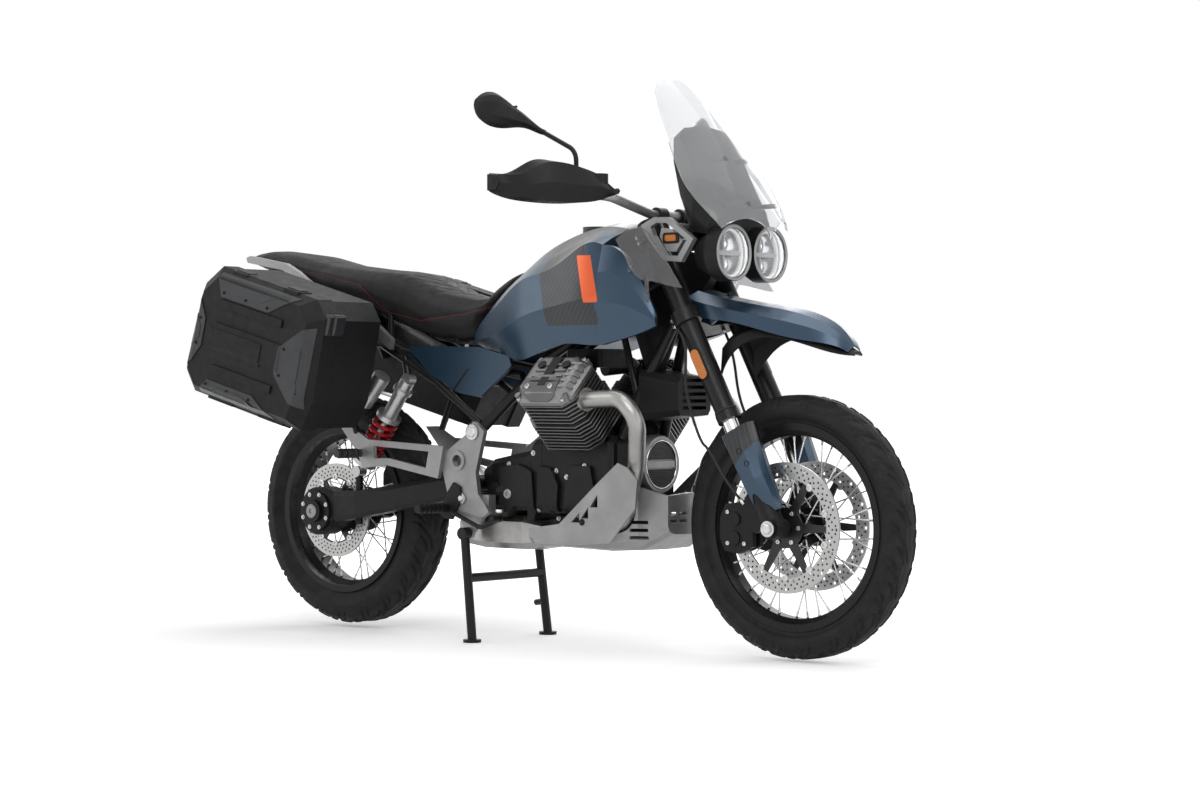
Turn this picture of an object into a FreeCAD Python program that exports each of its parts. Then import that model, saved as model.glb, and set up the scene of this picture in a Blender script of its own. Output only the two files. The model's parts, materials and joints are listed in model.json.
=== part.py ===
"""Adventure motorcycle with two side cases, raised on its centre stand, as a parametric document in millimetres.

+X points ahead, +Y to the rider's left and +Z up. The origin lies on the floor below the middle of the machine.
A station is a distance ahead of the rear axle. Every driving size stands in the sheet, and every outline is a
table of shares of the sizes of its own piece.
"""

import FreeCAD, Part
import math
import os

import Sketcher
from FreeCAD import Placement, Rotation, Vector

# Driving sizes. Lengths are in millimetres, angles in degrees, and a station counts from the rear axle.
SIZES = {
    # Layout
    "Wheelbase": 1530,
    "RearAxleBack": 743,
    "RearWheelLift": 8,
    "RakeAngle": 28,
    "ForkOffset": 43,
    "RunningClearance": 0.1,
    "SeatGap": 0.3,
    "MovingClearance": 5,
    "CutOverrun": 4,
    # Tyres and rims
    "FrontTyreRadius": 329.3,
    "FrontTyreWidth": 110,
    "FrontRimSeat": 241.3,
    "FrontRimWidth": 63.5,
    "RearTyreRadius": 320.9,
    "RearTyreWidth": 150,
    "RearRimSeat": 215.9,
    "RearRimWidth": 108,
    "TyreWall": 9,
    "TyreBead": 10,
    "TyreShoulderDrop": 20,
    "TyreShoulderInset": 5,
    "TyreCrownThick": 12,
    "RimWall": 4,
    "RimLip": 4,
    "RimFlange": 14,
    "RimWellDepth": 13,
    "RimWellHalf": 12,
    "SpokeRadius": 1.9,
    "SpokeCount": 36,
    # Hubs, discs and front axle
    "AxleRadius": 11,
    "FrontHubHalf": 74,
    "HubCoreRadius": 27,
    "HubFlangeRadius": 46,
    "HubFlangeThick": 6,
    "FrontFlangeSpread": 34,
    "FrontDiscRadius": 160,
    "FrontDiscInner": 122,
    "DiscThick": 5,
    "FrontDiscSpread": 63,
    "CarrierRadius": 50,
    "CarrierArm": 14,
    "CarrierArmCount": 6,
    "CarrierOverlap": 6,
    "DiscSeatStep": 0.1,
    "DiscHoleRadius": 4,
    "DiscHoleCount": 16,
    "AxleNutThick": 10,
    "AxleNutRadius": 19,
    "RearHubHalf": 78,
    "RearHubCore": 40,
    "RearFlangeRadius": 62,
    "RearFlangeSpread": 40,
    "RearDiscRadius": 130,
    "RearDiscInner": 88,
    # Fork and yokes
    "ForkLegSpread": 105,
    "ForkTubeRadius": 27,
    "ForkTubeLow": 294,
    "ForkTubeTop": 848,
    "ForkCapHeight": 8,
    "SealHeight": 22,
    "SealStep": 3,
    "SliderRadius": 21.5,
    "SliderTop": 420,
    "BeakTurningRadius": 78,
    "CarrierLugTop": 118,
    "CarrierLugRadius": 28,
    "CarrierLugThick": 16,
    "CarrierBossRadius": 26,
    "CarrierBossHalf": 24,
    "StemRadius": 17,
    "StemNutHeight": 10,
    "StemNutRadius": 22,
    "HeadTubeRadius": 29,
    "HeadTubeGap": 6,
    "LowerYokeHeight": 584,
    "UpperYokeHeight": 822,
    "YokeThick": 34,
    "YokeRing": 9,
    "YokeStemBoss": 31,
    # Handlebar and controls
    "BarRadius": 12,
    "ClampWall": 8,
    "ClampHalfWidth": 16,
    "BarClampSpread": 46,
    "RiserRadius": 15,
    "BarStation": 1124,
    "BarHeight": 1106,
    "BarCentreHalf": 75,
    "BarBendStation": 1102,
    "BarBendHalf": 215,
    "BarRise": 40,
    "BarEndStation": 948,
    "BarEndHalf": 436,
    "BarEndHeight": 1176,
    "BarBendRadius": 60,
    "GripRadius": 17,
    "GripLength": 125,
    "GripCollarLength": 5,
    "GripCollarStep": 5,
    "BarWeightLength": 22,
    "BarWeightRadius": 14,
    "SwitchLength": 46,
    "SwitchRadius": 20,
    "PerchLength": 22,
    "PerchRadius": 9,
    "LeverReach": 42,
    "MasterLength": 48,
    "ReservoirHeight": 46,
    "ReservoirRadius": 24,
    "PotGap": 3,
    "LeverTipShort": 18,
    "LeverKnee": 35,
    "LeverKneeAhead": 6,
    "LeverRadius": 6,
    "LeverBend": 30,
    "GuardBoltLength": 7,
    "GuardCapThick": 5,
    # Mirrors
    "MirrorFootStation": 1052,
    "MirrorFootSide": 287,
    "MirrorFootHeight": 1160,
    "MirrorKneeStation": 1050,
    "MirrorKneeSide": 286,
    "MirrorKneeHeight": 1258,
    "MirrorStemRadius": 6,
    "MirrorStemBend": 40,
    # Fork guards and calipers
    "GuardFootHeight": 36,
    "GuardTopHeight": 262,
    "GuardAhead": 42,
    "ForkGuardHalf": 34,
    "GuardWall": 3,
    "CaliperThickHalf": 22,
    "PistonCapThick": 4,
    "PistonCapRadius": 17,
    "MudguardPost": 6,
    # Main frame
    "FrameTubeRadius": 14,
    "BraceRadius": 9,
    "FrameBend": 70,
    "GussetThick": 6,
    "MainHeadStation": 1128,
    "MainHeadSide": 20,
    "MainHeadHeight": 955,
    "MainKneeStation": 985,
    "MainKneeSide": 44,
    "MainKneeHeight": 872,
    "MainWaistStation": 748,
    "MainWaistSide": 46,
    "MainWaistHeight": 744,
    "MainFootStation": 600,
    "MainFootSide": 131,
    "MainFootHeight": 566,
    "DownHeadStation": 1178,
    "DownHeadSide": 18,
    "DownHeadHeight": 882,
    "DownKneeStation": 1072,
    "DownKneeSide": 66,
    "DownKneeHeight": 642,
    "DownFootStation": 1034,
    "DownFootSide": 84,
    "DownFootHeight": 540,
    "LampBracketRoot": 20,
    "LampBracketHalf": 16,
    # Rear subframe
    "SubframeRadius": 11,
    "StrutRadius": 10,
    "SeatTubeFrontStation": 700,
    "SeatTubeFrontSide": 90,
    "SeatTubeFrontHeight": 702,
    "SeatTubeWaistStation": 300,
    "SeatTubeWaistSide": 118,
    "SeatTubeWaistHeight": 768,
    "SeatTubeMiddleStation": 60,
    "SeatTubeMiddleSide": 118,
    "SeatTubeMiddleHeight": 862.6,
    "SeatTubeRearStation": -130,
    "SeatTubeRearSide": 118,
    "SeatTubeRearHeight": 937.5,
    "StrutFootStation": 590,
    "StrutFootSide": 131,
    "StrutFootHeight": 575,
    "StrutTopStation": 300,
    "StrutTopSide": 118,
    "StrutTopHeight": 768,
    "StrutMiddleStation": 430,
    "StrutMiddleSide": 124,
    "StrutMiddleHeight": 681.5,
    "SeatPostRadius": 8,
    "SeatPostReach": 140,
    # Pivot plates
    "PlateThick": 14,
    "PlateCorner": 6,
    "BossStep": 4,
    "StandLugRadius": 16,
    "StandLugInner": 120,
    "StandLugOuter": 132,
    "StandPinRadius": 7,
    # Engine
    "CrankHeight": 474,
    "CaseRear": 556,
    "CaseLength": 504,
    "CaseHalf": 115,
    "CaseDrop": 129,
    "CaseRise": 72,
    "CaseCorner": 14,
    "CaseRib": 3,
    "SumpRear": 800,
    "SumpLength": 200,
    "SumpHalf": 64,
    "SumpDrop": 172,
    "FillerStation": 622,
    "FillerHeight": 402,
    "FillerRadius": 20,
    "FrontCoverDepth": 34,
    "FrontCoverRadius": 76,
    "FrontCoverRib": 12,
    "CylinderLean": 45,
    "RightCylinderStation": 915,
    "LeftCylinderStation": 935,
    "CylinderFoot": 132,
    "BoreRadius": 46,
    "CylinderWall": 14,
    "CylinderHalfLength": 98,
    "CylinderHalfWidth": 84,
    "BarrelLength": 90,
    "BarrelFinCount": 8,
    "HeadLength": 70,
    "HeadFinCount": 6,
    "FinThick": 3,
    "FinCorner": 28,
    "CoverHeight": 36,
    "CoverCorner": 26,
    "CoverBossRadius": 8,
    "IntakeBack": 30,
    "IntakeLength": 26,
    "IntakeRadius": 22,
    "IntakeCollar": 8,
    "IntakeCollarStep": 4,
    "AirBoxStation": 880,
    "AirBoxHalf": 58,
    "AirBoxBase": 722,
    "AirBoxTop": 770,
    "AirBoxReach": 58,
    "AirBoxCorner": 12,
    # Exhaust
    "HeaderRadius": 22,
    "HeaderBend": 60,
    "PortFlangeThick": 8,
    "PortFlangeStep": 8,
    "PortFlangeSide": 202,
    "PortFlangeHeight": 640,
    "HeaderCrownStation": 1132,
    "HeaderCrownSide": 212,
    "HeaderCrownHeight": 645,
    "HeaderShoulderStation": 1180,
    "HeaderShoulderSide": 205,
    "HeaderShoulderHeight": 590,
    "HeaderShinStation": 1133,
    "HeaderShinSide": 150,
    "HeaderShinHeight": 480,
    "HeaderHeelStation": 1085,
    "HeaderHeelSide": 142,
    "HeaderHeelHeight": 334,
    "HeaderSoleStation": 960,
    "HeaderSoleSide": 112,
    "HeaderSoleHeight": 298,
    "HeaderFootStation": 745,
    "HeaderFootSide": 52,
    "HeaderFootHeight": 290,
    "OutletRadius": 23,
    "OutletBendRadius": 40,
    "OutletRootStation": 482,
    "OutletRootSide": 60,
    "OutletRootHeight": 300,
    "OutletBendStation": 440,
    "OutletBendSide": 84,
    "OutletBendHeight": 312,
    "OutletKneeStation": 384,
    "OutletKneeSide": 160,
    "OutletKneeHeight": 344,
    "OutletEndStation": 330,
    "OutletEndSide": 202,
    "OutletEndHeight": 382,
    "SilencerTailStation": -130,
    "SilencerTailSide": 202,
    "SilencerTailHeight": 505,
    "SilencerRadius": 54,
    "SilencerHangerStation": 185,
    "SilencerHangerSide": 167,
    "SilencerHangerHeight": 486,
    "HangerRadius": 6,
    "ShieldThick": 6,
    "SkidPipeGap": 5,
    "SkidPostRadius": 7,
    # Bodywork
    "FillerCapHeight": 27,
    "FillerCapRadius": 38,
    "PanelThick": 12,
    "PanelCorner": 8,
    "RailThick": 16,
    "LampSpread": 76,
    "LampRadius": 70,
    "BezelWidth": 8,
    "DeflectorThick": 4,
    "DeflectorPost": 5,
    "PlateHoleSpread": 50,
    "PlateHoleRadius": 3.5,
    "GuardThick": 16,
    "IndicatorThick": 12,
    "GuardArmRadius": 6,
    "ScreenRear": 1130,
    "ScreenBase": 1020,
    "ScreenLength": 312,
    "ScreenHalf": 160,
    "ScreenHeight": 429,
    "ScreenLampGap": 12,
    "ScreenThick": 4,
    "ScreenPostRadius": 6,
    "RearIndicatorRootStation": -262,
    "RearIndicatorRootSide": 70,
    "RearIndicatorRootHeight": 966,
    "RearIndicatorTipStation": -300,
    "RearIndicatorTipSide": 175,
    "RearIndicatorTipHeight": 960,
    "IndicatorStalk": 6,
    "IndicatorDepth": 22,
    "IndicatorRadius": 22,
    # Rear end
    "ArmDiscGap": 6,
    "ArmEyeLength": 40,
    "ArmEyeRadius": 30,
    "ArmPivotStation": 515,
    "ArmPivotHeight": 415,
    "ArmPivotRadius": 21,
    "DriveGap": 6,
    "DriveDepth": 92,
    "DriveRadius": 66,
    "ShockTopStation": 322,
    "ShockTopSide": -125,
    "ShockTopHeight": 693,
    "ShockFootStation": 135,
    "ShockFootSide": -125,
    "ShockFootHeight": 440,
    "ShockRadius": 20,
    "ShockEyeHalf": 14,
    "ShockEyeRadius": 15,
    "SpringTurns": 6,
    "SpringRadius": 31,
    "SpringWire": 5.5,
    "ShockLugRadius": 10,
    "ReservoirTopStation": 262,
    "ReservoirTopSide": -165,
    "ReservoirTopHeight": 702,
    "ReservoirFootStation": 192,
    "ReservoirFootSide": -165,
    "ReservoirFootHeight": 628,
    "ReservoirCanRadius": 24,
    # Footrests
    "PegRadius": 11,
    "PegRib": 2.5,
    "PegRibCount": 6,
    "RiderPegRootStation": 500,
    "RiderPegRootSide": 166,
    "RiderPegRootHeight": 352,
    "RiderPegTipStation": 491,
    "RiderPegTipSide": 270,
    "RiderPegTipHeight": 352,
    "PedalRootStation": 522,
    "PedalRootSide": 170,
    "PedalRootHeight": 342,
    "PedalKneeStation": 640,
    "PedalKneeSide": 188,
    "PedalKneeHeight": 304,
    "PedalTipStation": 706,
    "PedalTipSide": 184,
    "PedalTipHeight": 330,
    "PedalRadius": 6,
    "PedalBend": 40,
    "PedalPadLength": 34,
    "PassengerThick": 12,
    "PassengerPegLength": 100,
    # Stands
    "StandPivotStation": 545,
    "StandPivotSide": 150,
    "StandPivotHeight": 285,
    "StandFootStation": 578,
    "StandFootSide": 152,
    "StandFootHeight": 6,
    "StandEyeLength": 26,
    "StandLegRadius": 12,
    "StandFootPad": 8,
    "StandPadRadius": 24,
    "StandTreadBack": 40,
    "StandTreadOut": 12,
    "StandTreadDrop": 6,
    "SidePivotStation": 700,
    "SidePivotSide": 180,
    "SidePivotHeight": 262,
    "SideFootStation": 392,
    "SideFootSide": 180,
    "SideFootHeight": 248,
    "SideEyeHalf": 12,
    "SideEyeRadius": 16,
    "SideLegRadius": 9,
    "SideSoleHalf": 20,
    "SideSoleThick": 8,
    "SideLugThick": 10,
    "SideSplay": 12,
    # Side cases
    "BagStation": 55,
    "BagHeight": 780,
    "BagTilt": 14.4,
    "BagHalfLength": 240,
    "BagHalfHeight": 175,
    "BagInner": 225,
    "BagSeam": 408,
    "BagOuter": 470,
    "BagWall": 3.5,
    "BagBand": 5,
    "BagBandDepth": 26,
    "LidRim": 26,
    "LidRib": 5,
    "HingeRadius": 6,
    "HingePinRadius": 2.5,
    "RackRadius": 9,
    "RackBend": 30,
    "RackFrontStation": 168,
    "RackFrontSide": 168,
    "RackFrontHeight": 548,
    "RackRearStation": -96,
    "RackRearSide": 118,
    "RackRearHeight": 924,
    "RackTopStation": 258,
    "RackTopSide": 118,
    "RackTopHeight": 786,
    # Spaces of the shaped pieces
    "BeakRear": 1205,
    "BeakBase": 735,
    "BeakLength": 500,
    "BeakHalf": 95,
    "BeakHeight": 200,
    "LinerRear": 1330,
    "LinerBase": 685,
    "LinerLength": 370,
    "LinerHalf": 85,
    "LinerHeight": 170,
    "HandGuardRear": 890,
    "HandGuardBase": 1120,
    "HandGuardLength": 270,
    "HandGuardHalf": 465,
    "HandGuardHeight": 125,
    "MirrorRear": 860,
    "MirrorBase": 1300,
    "MirrorLength": 100,
    "MirrorHalf": 480,
    "MirrorHeight": 110,
    "CaliperRear": 1345,
    "CaliperBase": 262,
    "CaliperLength": 102,
    "CaliperHalf": 100,
    "CaliperHeight": 128,
    "LampRear": 1290,
    "LampBase": 933,
    "LampLength": 93,
    "LampHalf": 146,
    "LampHeight": 140,
    "PlateRear": 475,
    "PlateBase": 325,
    "PlateLength": 175,
    "PlateHalf": 147,
    "PlateHeight": 265,
    "CollectorRear": 473,
    "CollectorBase": 240,
    "CollectorLength": 280,
    "CollectorHalf": 95,
    "CollectorHeight": 96,
    "SkidRear": 800,
    "SkidBase": 250,
    "SkidLength": 386,
    "SkidHalf": 178,
    "SkidHeight": 190,
    "ShieldRear": 800,
    "ShieldBase": 262,
    "ShieldLength": 365,
    "ShieldHalf": 178,
    "ShieldHeight": 222,
    "TankRear": 545,
    "TankBase": 735,
    "TankLength": 490,
    "TankHalf": 195,
    "TankHeight": 372,
    "ShroudRear": 1035,
    "ShroudBase": 775,
    "ShroudLength": 172,
    "ShroudHalf": 188,
    "ShroudHeight": 262,
    "SidePanelRear": 310,
    "SidePanelBase": 640,
    "SidePanelLength": 400,
    "SidePanelHalf": 122,
    "SidePanelHeight": 150,
    "SeatRear": -350,
    "SeatBase": 770,
    "SeatLength": 1020,
    "SeatHalf": 140,
    "SeatHeight": 295,
    "RailRear": -285,
    "RailBase": 765,
    "RailLength": 572,
    "RailHalf": 140,
    "RailHeight": 280,
    "RearGuardRear": -292,
    "RearGuardBase": 735,
    "RearGuardLength": 605,
    "RearGuardHalf": 112,
    "RearGuardHeight": 270,
    "PlateHolderRear": -376,
    "PlateHolderBase": 690,
    "PlateHolderLength": 106,
    "PlateHolderHalf": 75,
    "PlateHolderHeight": 295,
    "TailLampRear": -330,
    "TailLampBase": 972,
    "TailLampLength": 40,
    "TailLampHalf": 55,
    "TailLampHeight": 40,
    "CowlRear": 1205,
    "CowlBase": 945,
    "CowlLength": 140,
    "CowlHalf": 136,
    "CowlHeight": 385,
    "DeflectorRear": 1095,
    "DeflectorBase": 910,
    "DeflectorLength": 215,
    "DeflectorHalf": 188.5,
    "DeflectorHeight": 165,
    "GuardRear": 1158,
    "GuardBase": 976,
    "GuardLength": 170,
    "GuardHalf": 150,
    "GuardHeight": 120,
    "CoolerRear": 1080,
    "CoolerBase": 580,
    "CoolerLength": 120,
    "CoolerHalf": 80,
    "CoolerHeight": 145,
    "ArmRear": -30,
    "ArmBase": 295,
    "ArmLength": 560,
    "ArmHalf": 165,
    "ArmHeight": 145,
    "DriveNoseRear": 15,
    "DriveNoseBase": 275,
    "DriveNoseLength": 45,
    "DriveNoseHalf": 160,
    "DriveNoseHeight": 125,
    "RearCaliperRear": 50,
    "RearCaliperBase": 372,
    "RearCaliperLength": 88,
    "RearCaliperHalf": 26,
    "RearCaliperHeight": 84,
    "RiderBracketRear": 465,
    "RiderBracketBase": 322,
    "RiderBracketLength": 90,
    "RiderBracketHalf": 161,
    "RiderBracketHeight": 100,
    "PassengerRear": 110,
    "PassengerBase": 425,
    "PassengerLength": 385,
    "PassengerHalf": 161,
    "PassengerHeight": 140,
    "SideLugRear": 675,
    "SideLugBase": 240,
    "SideLugLength": 70,
    "SideLugHalf": 160,
    "SideLugHeight": 170,
}

# Shares: each row is a place along a piece, across it or up it, as a part of the piece's own size.

TANK_SHARES = [
    (0, [
        (0, 0.325), (0.231, 0.312), (0.436, 0.277), (0.533, 0.215), (0.544, 0.148), (0.41, 0.121),
        (0, 0.121),
    ]),
    (0.133, [
        (0, 0.513), (0.256, 0.487), (0.487, 0.425), (0.646, 0.336), (0.687, 0.175), (0.538, 0.089),
        (0, 0.108),
    ]),
    (0.265, [
        (0, 0.659), (0.282, 0.629), (0.544, 0.546), (0.754, 0.435), (0.81, 0.207), (0.677, 0.056),
        (0, 0.099),
    ]),
    (0.459, [
        (0, 0.831), (0.308, 0.788), (0.605, 0.672), (0.856, 0.578), (0.938, 0.309), (0.862, 0.019),
        (0, 0.142),
    ]),
    (0.643, [
        (0, 0.917), (0.308, 0.882), (0.641, 0.75), (0.877, 0.637), (0.974, 0.368), (0.923, 0.094),
        (0, 0.188),
    ]),
    (0.827, [
        (0, 0.965), (0.308, 0.933), (0.667, 0.836), (0.887, 0.761), (0.995, 0.411), (0.933, 0.126),
        (0, 0.255),
    ]),
    (1, [
        (0, 0.933), (0.308, 0.909), (0.641, 0.847), (0.851, 0.793), (0.964, 0.444), (0.923, 0.116),
        (0, 0.39),
    ]),
]
TANK_TUNNEL_SHARES = [
    (-0.02, [(0, 0.175), (0.246, 0.164), (0.328, 0.121), (0.328, -0.121), (0, -0.121)]),
    (1.02, [(0, 0.565), (0.246, 0.54), (0.338, 0.47), (0.338, -0.121), (0, -0.121)]),
]
FILLER_SHARES = (0.684, 0, 0.874)
SHROUD_SHARES = [
    (0, [(0.798, 0.973), (0.883, 0.973), (0.989, 0.706), (1, 0.401), (0.957, 0.011), (0.809, 0.011)]),
    (0.378, [
        (0.809, 0.889), (0.883, 0.889), (0.968, 0.668), (0.989, 0.401), (0.947, 0.057), (0.824, 0.065),
    ]),
    (0.727, [
        (0.824, 0.622), (0.883, 0.622), (0.936, 0.477), (0.947, 0.324), (0.915, 0.118), (0.835, 0.118),
    ]),
    (1, [(0.846, 0.286), (0.872, 0.286), (0.899, 0.26), (0.904, 0.233), (0.883, 0.187), (0.851, 0.187)]),
]
SIDE_PANEL_SHARES = [
    (0.015, 0.953), (0.27, 0.4), (0.507, 0.107), (0.698, 0.027), (0.975, 0.573), (0.95, 0.747),
    (0.685, 0.913),
]
SEAT_SHARES = [
    (0.004, [(0, 0.956), (0.357, 0.946), (0.607, 0.908), (0.657, 0.875), (0.429, 0.854), (0, 0.851)]),
    (0.078, [(0, 0.969), (0.5, 0.956), (0.843, 0.908), (0.886, 0.854), (0.643, 0.807), (0, 0.8)]),
    (0.196, [(0, 0.919), (0.571, 0.902), (0.914, 0.847), (0.957, 0.78), (0.714, 0.719), (0, 0.712)]),
    (0.327, [(0, 0.817), (0.607, 0.793), (0.929, 0.732), (0.979, 0.637), (0.786, 0.569), (0, 0.559)]),
    (0.49, [(0, 0.749), (0.607, 0.729), (0.929, 0.651), (0.986, 0.536), (0.821, 0.424), (0, 0.407)]),
    (0.574, [(0, 0.725), (0.607, 0.702), (0.929, 0.603), (0.979, 0.458), (0.821, 0.298), (0, 0.278)]),
    (0.627, [(0, 0.695), (0.607, 0.671), (0.929, 0.569), (0.979, 0.407), (0.821, 0.237), (0, 0.217)]),
    (0.681, [(0, 0.614), (0.607, 0.586), (0.914, 0.475), (0.971, 0.339), (0.821, 0.176), (0, 0.153)]),
    (0.744, [(0, 0.529), (0.571, 0.505), (0.886, 0.393), (0.957, 0.237), (0.8, 0.102), (0, 0.085)]),
    (0.826, [(0, 0.468), (0.5, 0.444), (0.771, 0.339), (0.843, 0.21), (0.714, 0.068), (0, 0.054)]),
    (0.868, [(0, 0.458), (0.4, 0.434), (0.657, 0.366), (0.729, 0.278), (0.6, 0.102), (0, 0.068)]),
]
SEAT_NOSE_SHARES = [
    (0.868, [(0, 0.458), (0.4, 0.434), (0.614, 0.373), (0.557, 0.312), (0.286, 0.312), (0, 0.312)]),
    (0.912, [(0, 0.576), (0.371, 0.546), (0.571, 0.481), (0.529, 0.427), (0.286, 0.42), (0, 0.42)]),
    (0.961, [(0, 0.692), (0.314, 0.661), (0.457, 0.61), (0.414, 0.583), (0.243, 0.59), (0, 0.59)]),
    (0.995, [(0, 0.746), (0.214, 0.732), (0.271, 0.712), (0.243, 0.705), (0.143, 0.705), (0, 0.708)]),
]
RAIL_SHARES = [
    (0.003, 0.968), (0.03, 0.986), (0.281, 0.896), (0.369, 0.807), (0.472, 0.671), (0.61, 0.568),
    (0.727, 0.486), (0.862, 0.329), (0.998, 0.125), (0.988, 0.025), (0.862, 0.189), (0.694, 0.386),
    (0.524, 0.511), (0.421, 0.607), (0.325, 0.739), (0.264, 0.829), (0.012, 0.918),
]
REAR_GUARD_SHARES = [
    (0.998, [(0, 0.137), (0.536, 0.122), (0.786, 0.026), (0.75, 0.019), (0.518, 0.1), (0, 0.115)]),
    (0.731, [(0, 0.411), (0.714, 0.381), (0.929, 0.241), (0.884, 0.233), (0.679, 0.359), (0, 0.389)]),
    (0.483, [(0, 0.641), (0.759, 0.611), (0.964, 0.485), (0.92, 0.478), (0.723, 0.589), (0, 0.619)]),
    (0.235, [(0, 0.841), (0.714, 0.804), (0.911, 0.7), (0.866, 0.693), (0.679, 0.781), (0, 0.819)]),
    (0, [(0, 0.981), (0.625, 0.952), (0.75, 0.856), (0.705, 0.848), (0.589, 0.93), (0, 0.959)]),
]
PLATE_HOLDER_SHARES = [
    (1, [(0, 1.047), (0.453, 1.031), (0.453, 0.881), (0, 0.864)]),
    (0.481, [(0, 0.797), (0.4, 0.78), (0.4, 0.61), (0, 0.593)]),
    (0.245, [(0, 0.475), (0.347, 0.461), (0.347, 0.339), (0, 0.325)]),
    (0.104, [(0, 0.271), (0.933, 0.264), (0.933, 0.007), (0, 0)]),
    (0, [(0, 0.271), (0.933, 0.264), (0.933, 0.007), (0, 0)]),
]
TAIL_LAMP_SHARES = [
    (0, [(0, 0.85), (0.655, 0.775), (0.8, 0.5), (0.655, 0.2), (0, 0.1)]),
    (0.95, [(0, 0.95), (0.8, 0.85), (0.945, 0.5), (0.8, 0.1), (0, 0)]),
]
COWL_SHARES = [
    (0, [(0, 0.943), (0.574, 0.932), (0.676, 0.906), (0.676, 0.756), (0.588, 0.73), (0, 0.725)]),
    (0.214, [(0, 0.995), (0.647, 0.969), (0.765, 0.912), (0.765, 0.532), (0.588, 0.418), (0, 0.403)]),
    (0.607, [(0, 0.792), (0.647, 0.761), (0.853, 0.662), (0.941, 0.403), (0.868, 0.184), (0, 0.153)]),
    (0.979, [(0, 0.532), (0.588, 0.512), (0.824, 0.434), (0.985, 0.304), (0.882, 0.143), (0, 0.104)]),
]
DEFLECTOR_SHARES = [
    (0.019, 0.788), (0.2, 0.952), (0.386, 0.976), (0.493, 0.879), (0.781, 0.412), (0.991, 0.03),
    (0.902, 0.042), (0.595, 0.133), (0.391, 0.17), (0.279, 0.279),
]
DEFLECTOR_POST_SHARES = [
    ((0.116, 0.87, 0.291), (0.242, 1.011, 0.388)),
    ((0.395, 0.87, -0.194), (0.474, 1.011, 0.218)),
]
GUARD_SHARES = [
    (0.012, 0.825), (0.247, 0.975), (0.518, 0.967), (0.982, 0.5), (0.753, 0.033), (0.435, 0.075),
    (0.141, 0.533),
]
GUARD_HOLE_SHARES = [
    (0.188, 0.783), (0.294, 0.858), (0.482, 0.85), (0.859, 0.483), (0.694, 0.158), (0.471, 0.183),
    (0.247, 0.6),
]
FRONT_INDICATOR_SHARES = [
    (0.376, 0.75), (0.565, 0.717), (0.765, 0.467), (0.647, 0.25), (0.482, 0.267), (0.341, 0.583),
]
COOLER_SHARES = [
    (0, [(0, 0.966), (0.825, 0.938), (0.95, 0.841), (0.95, 0.166), (0.825, 0.055), (0, 0.034)]),
    (1, [(0, 0.828), (0.7, 0.8), (0.825, 0.703), (0.825, 0.234), (0.7, 0.138), (0, 0.124)]),
]
SHIELD_SHARES = [
    (0.819, 0.991), (0.904, 0.937), (0.992, 0.802), (0.973, 0.482), (0.742, 0.081), (0.43, 0.036),
    (0.071, 0.041), (0.008, 0.212), (0.29, 0.275), (0.627, 0.739),
]
SKID_SHARES = [
    (0, [(0, 0.063), (0.674, 0.063), (0.933, 0.105), (1, 0.179), (1, 0.295), (0, 0.295)]),
    (0.596, [(0, 0.021), (0.674, 0.032), (0.933, 0.074), (1, 0.147), (1, 0.432), (0, 0.432)]),
    (0.803, [(0, 0.042), (0.539, 0.053), (0.618, 0.095), (0.652, 0.184), (0.652, 0.895), (0, 0.921)]),
    (1, [(0, 0.263), (0.371, 0.274), (0.472, 0.316), (0.506, 0.395), (0.506, 0.779), (0, 0.811)]),
]
SKID_INNER_SHARES = [
    (-0.021, [(0, 0.095), (0.663, 0.095), (0.91, 0.132), (0.966, 0.2), (0.966, 1), (0, 1)]),
    (0.596, [(0, 0.053), (0.663, 0.063), (0.91, 0.105), (0.966, 0.168), (0.966, 1), (0, 1)]),
    (0.798, [(0, 0.074), (0.528, 0.084), (0.59, 0.126), (0.618, 0.205), (0.618, 1), (0, 1)]),
    (0.984, [(0, 0.295), (0.36, 0.305), (0.444, 0.342), (0.472, 0.411), (0.472, 1), (0, 1)]),
]
COLLECTOR_SHARES = [
    (0, [(0, 0.938), (0.716, 0.917), (0.905, 0.75), (0.905, 0.333), (0.716, 0.167), (0, 0.146)]),
    (0.311, [(0, 1), (0.821, 0.979), (1, 0.812), (1, 0.229), (0.821, 0.062), (0, 0.021)]),
    (0.811, [(0, 1), (0.821, 0.979), (1, 0.812), (1, 0.229), (0.821, 0.062), (0, 0.021)]),
    (1, [(0, 0.896), (0.653, 0.865), (0.821, 0.708), (0.821, 0.292), (0.653, 0.146), (0, 0.104)]),
]
PLATE_SHARES = [
    (0.657, 0.974), (0.874, 0.872), (0.703, 0.464), (0.749, 0.253), (0.977, 0.075), (0.846, 0.019),
    (0.36, 0.034), (0.16, 0.181), (0.023, 0.479), (0.091, 0.657), (0.491, 0.83),
]
ARM_RIGHT_SHARES = [
    (0.161, [
        (-0.594, 0.034), (-0.897, 0.034), (-0.945, 0.117), (-0.945, 0.531), (-0.897, 0.614),
        (-0.594, 0.614),
    ]),
    (0.321, [
        (-0.594, 0.131), (-0.909, 0.131), (-0.97, 0.214), (-0.97, 0.545), (-0.909, 0.641),
        (-0.594, 0.641),
    ]),
    (0.893, [
        (-0.594, 0.517), (-0.836, 0.517), (-0.885, 0.586), (-0.885, 0.89), (-0.836, 0.959),
        (-0.594, 0.959),
    ]),
    (1, [(-0.594, 0.669), (-0.836, 0.669), (-0.873, 0.724), (-0.873, 0.945), (-0.836, 1), (-0.594, 1)]),
]
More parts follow.
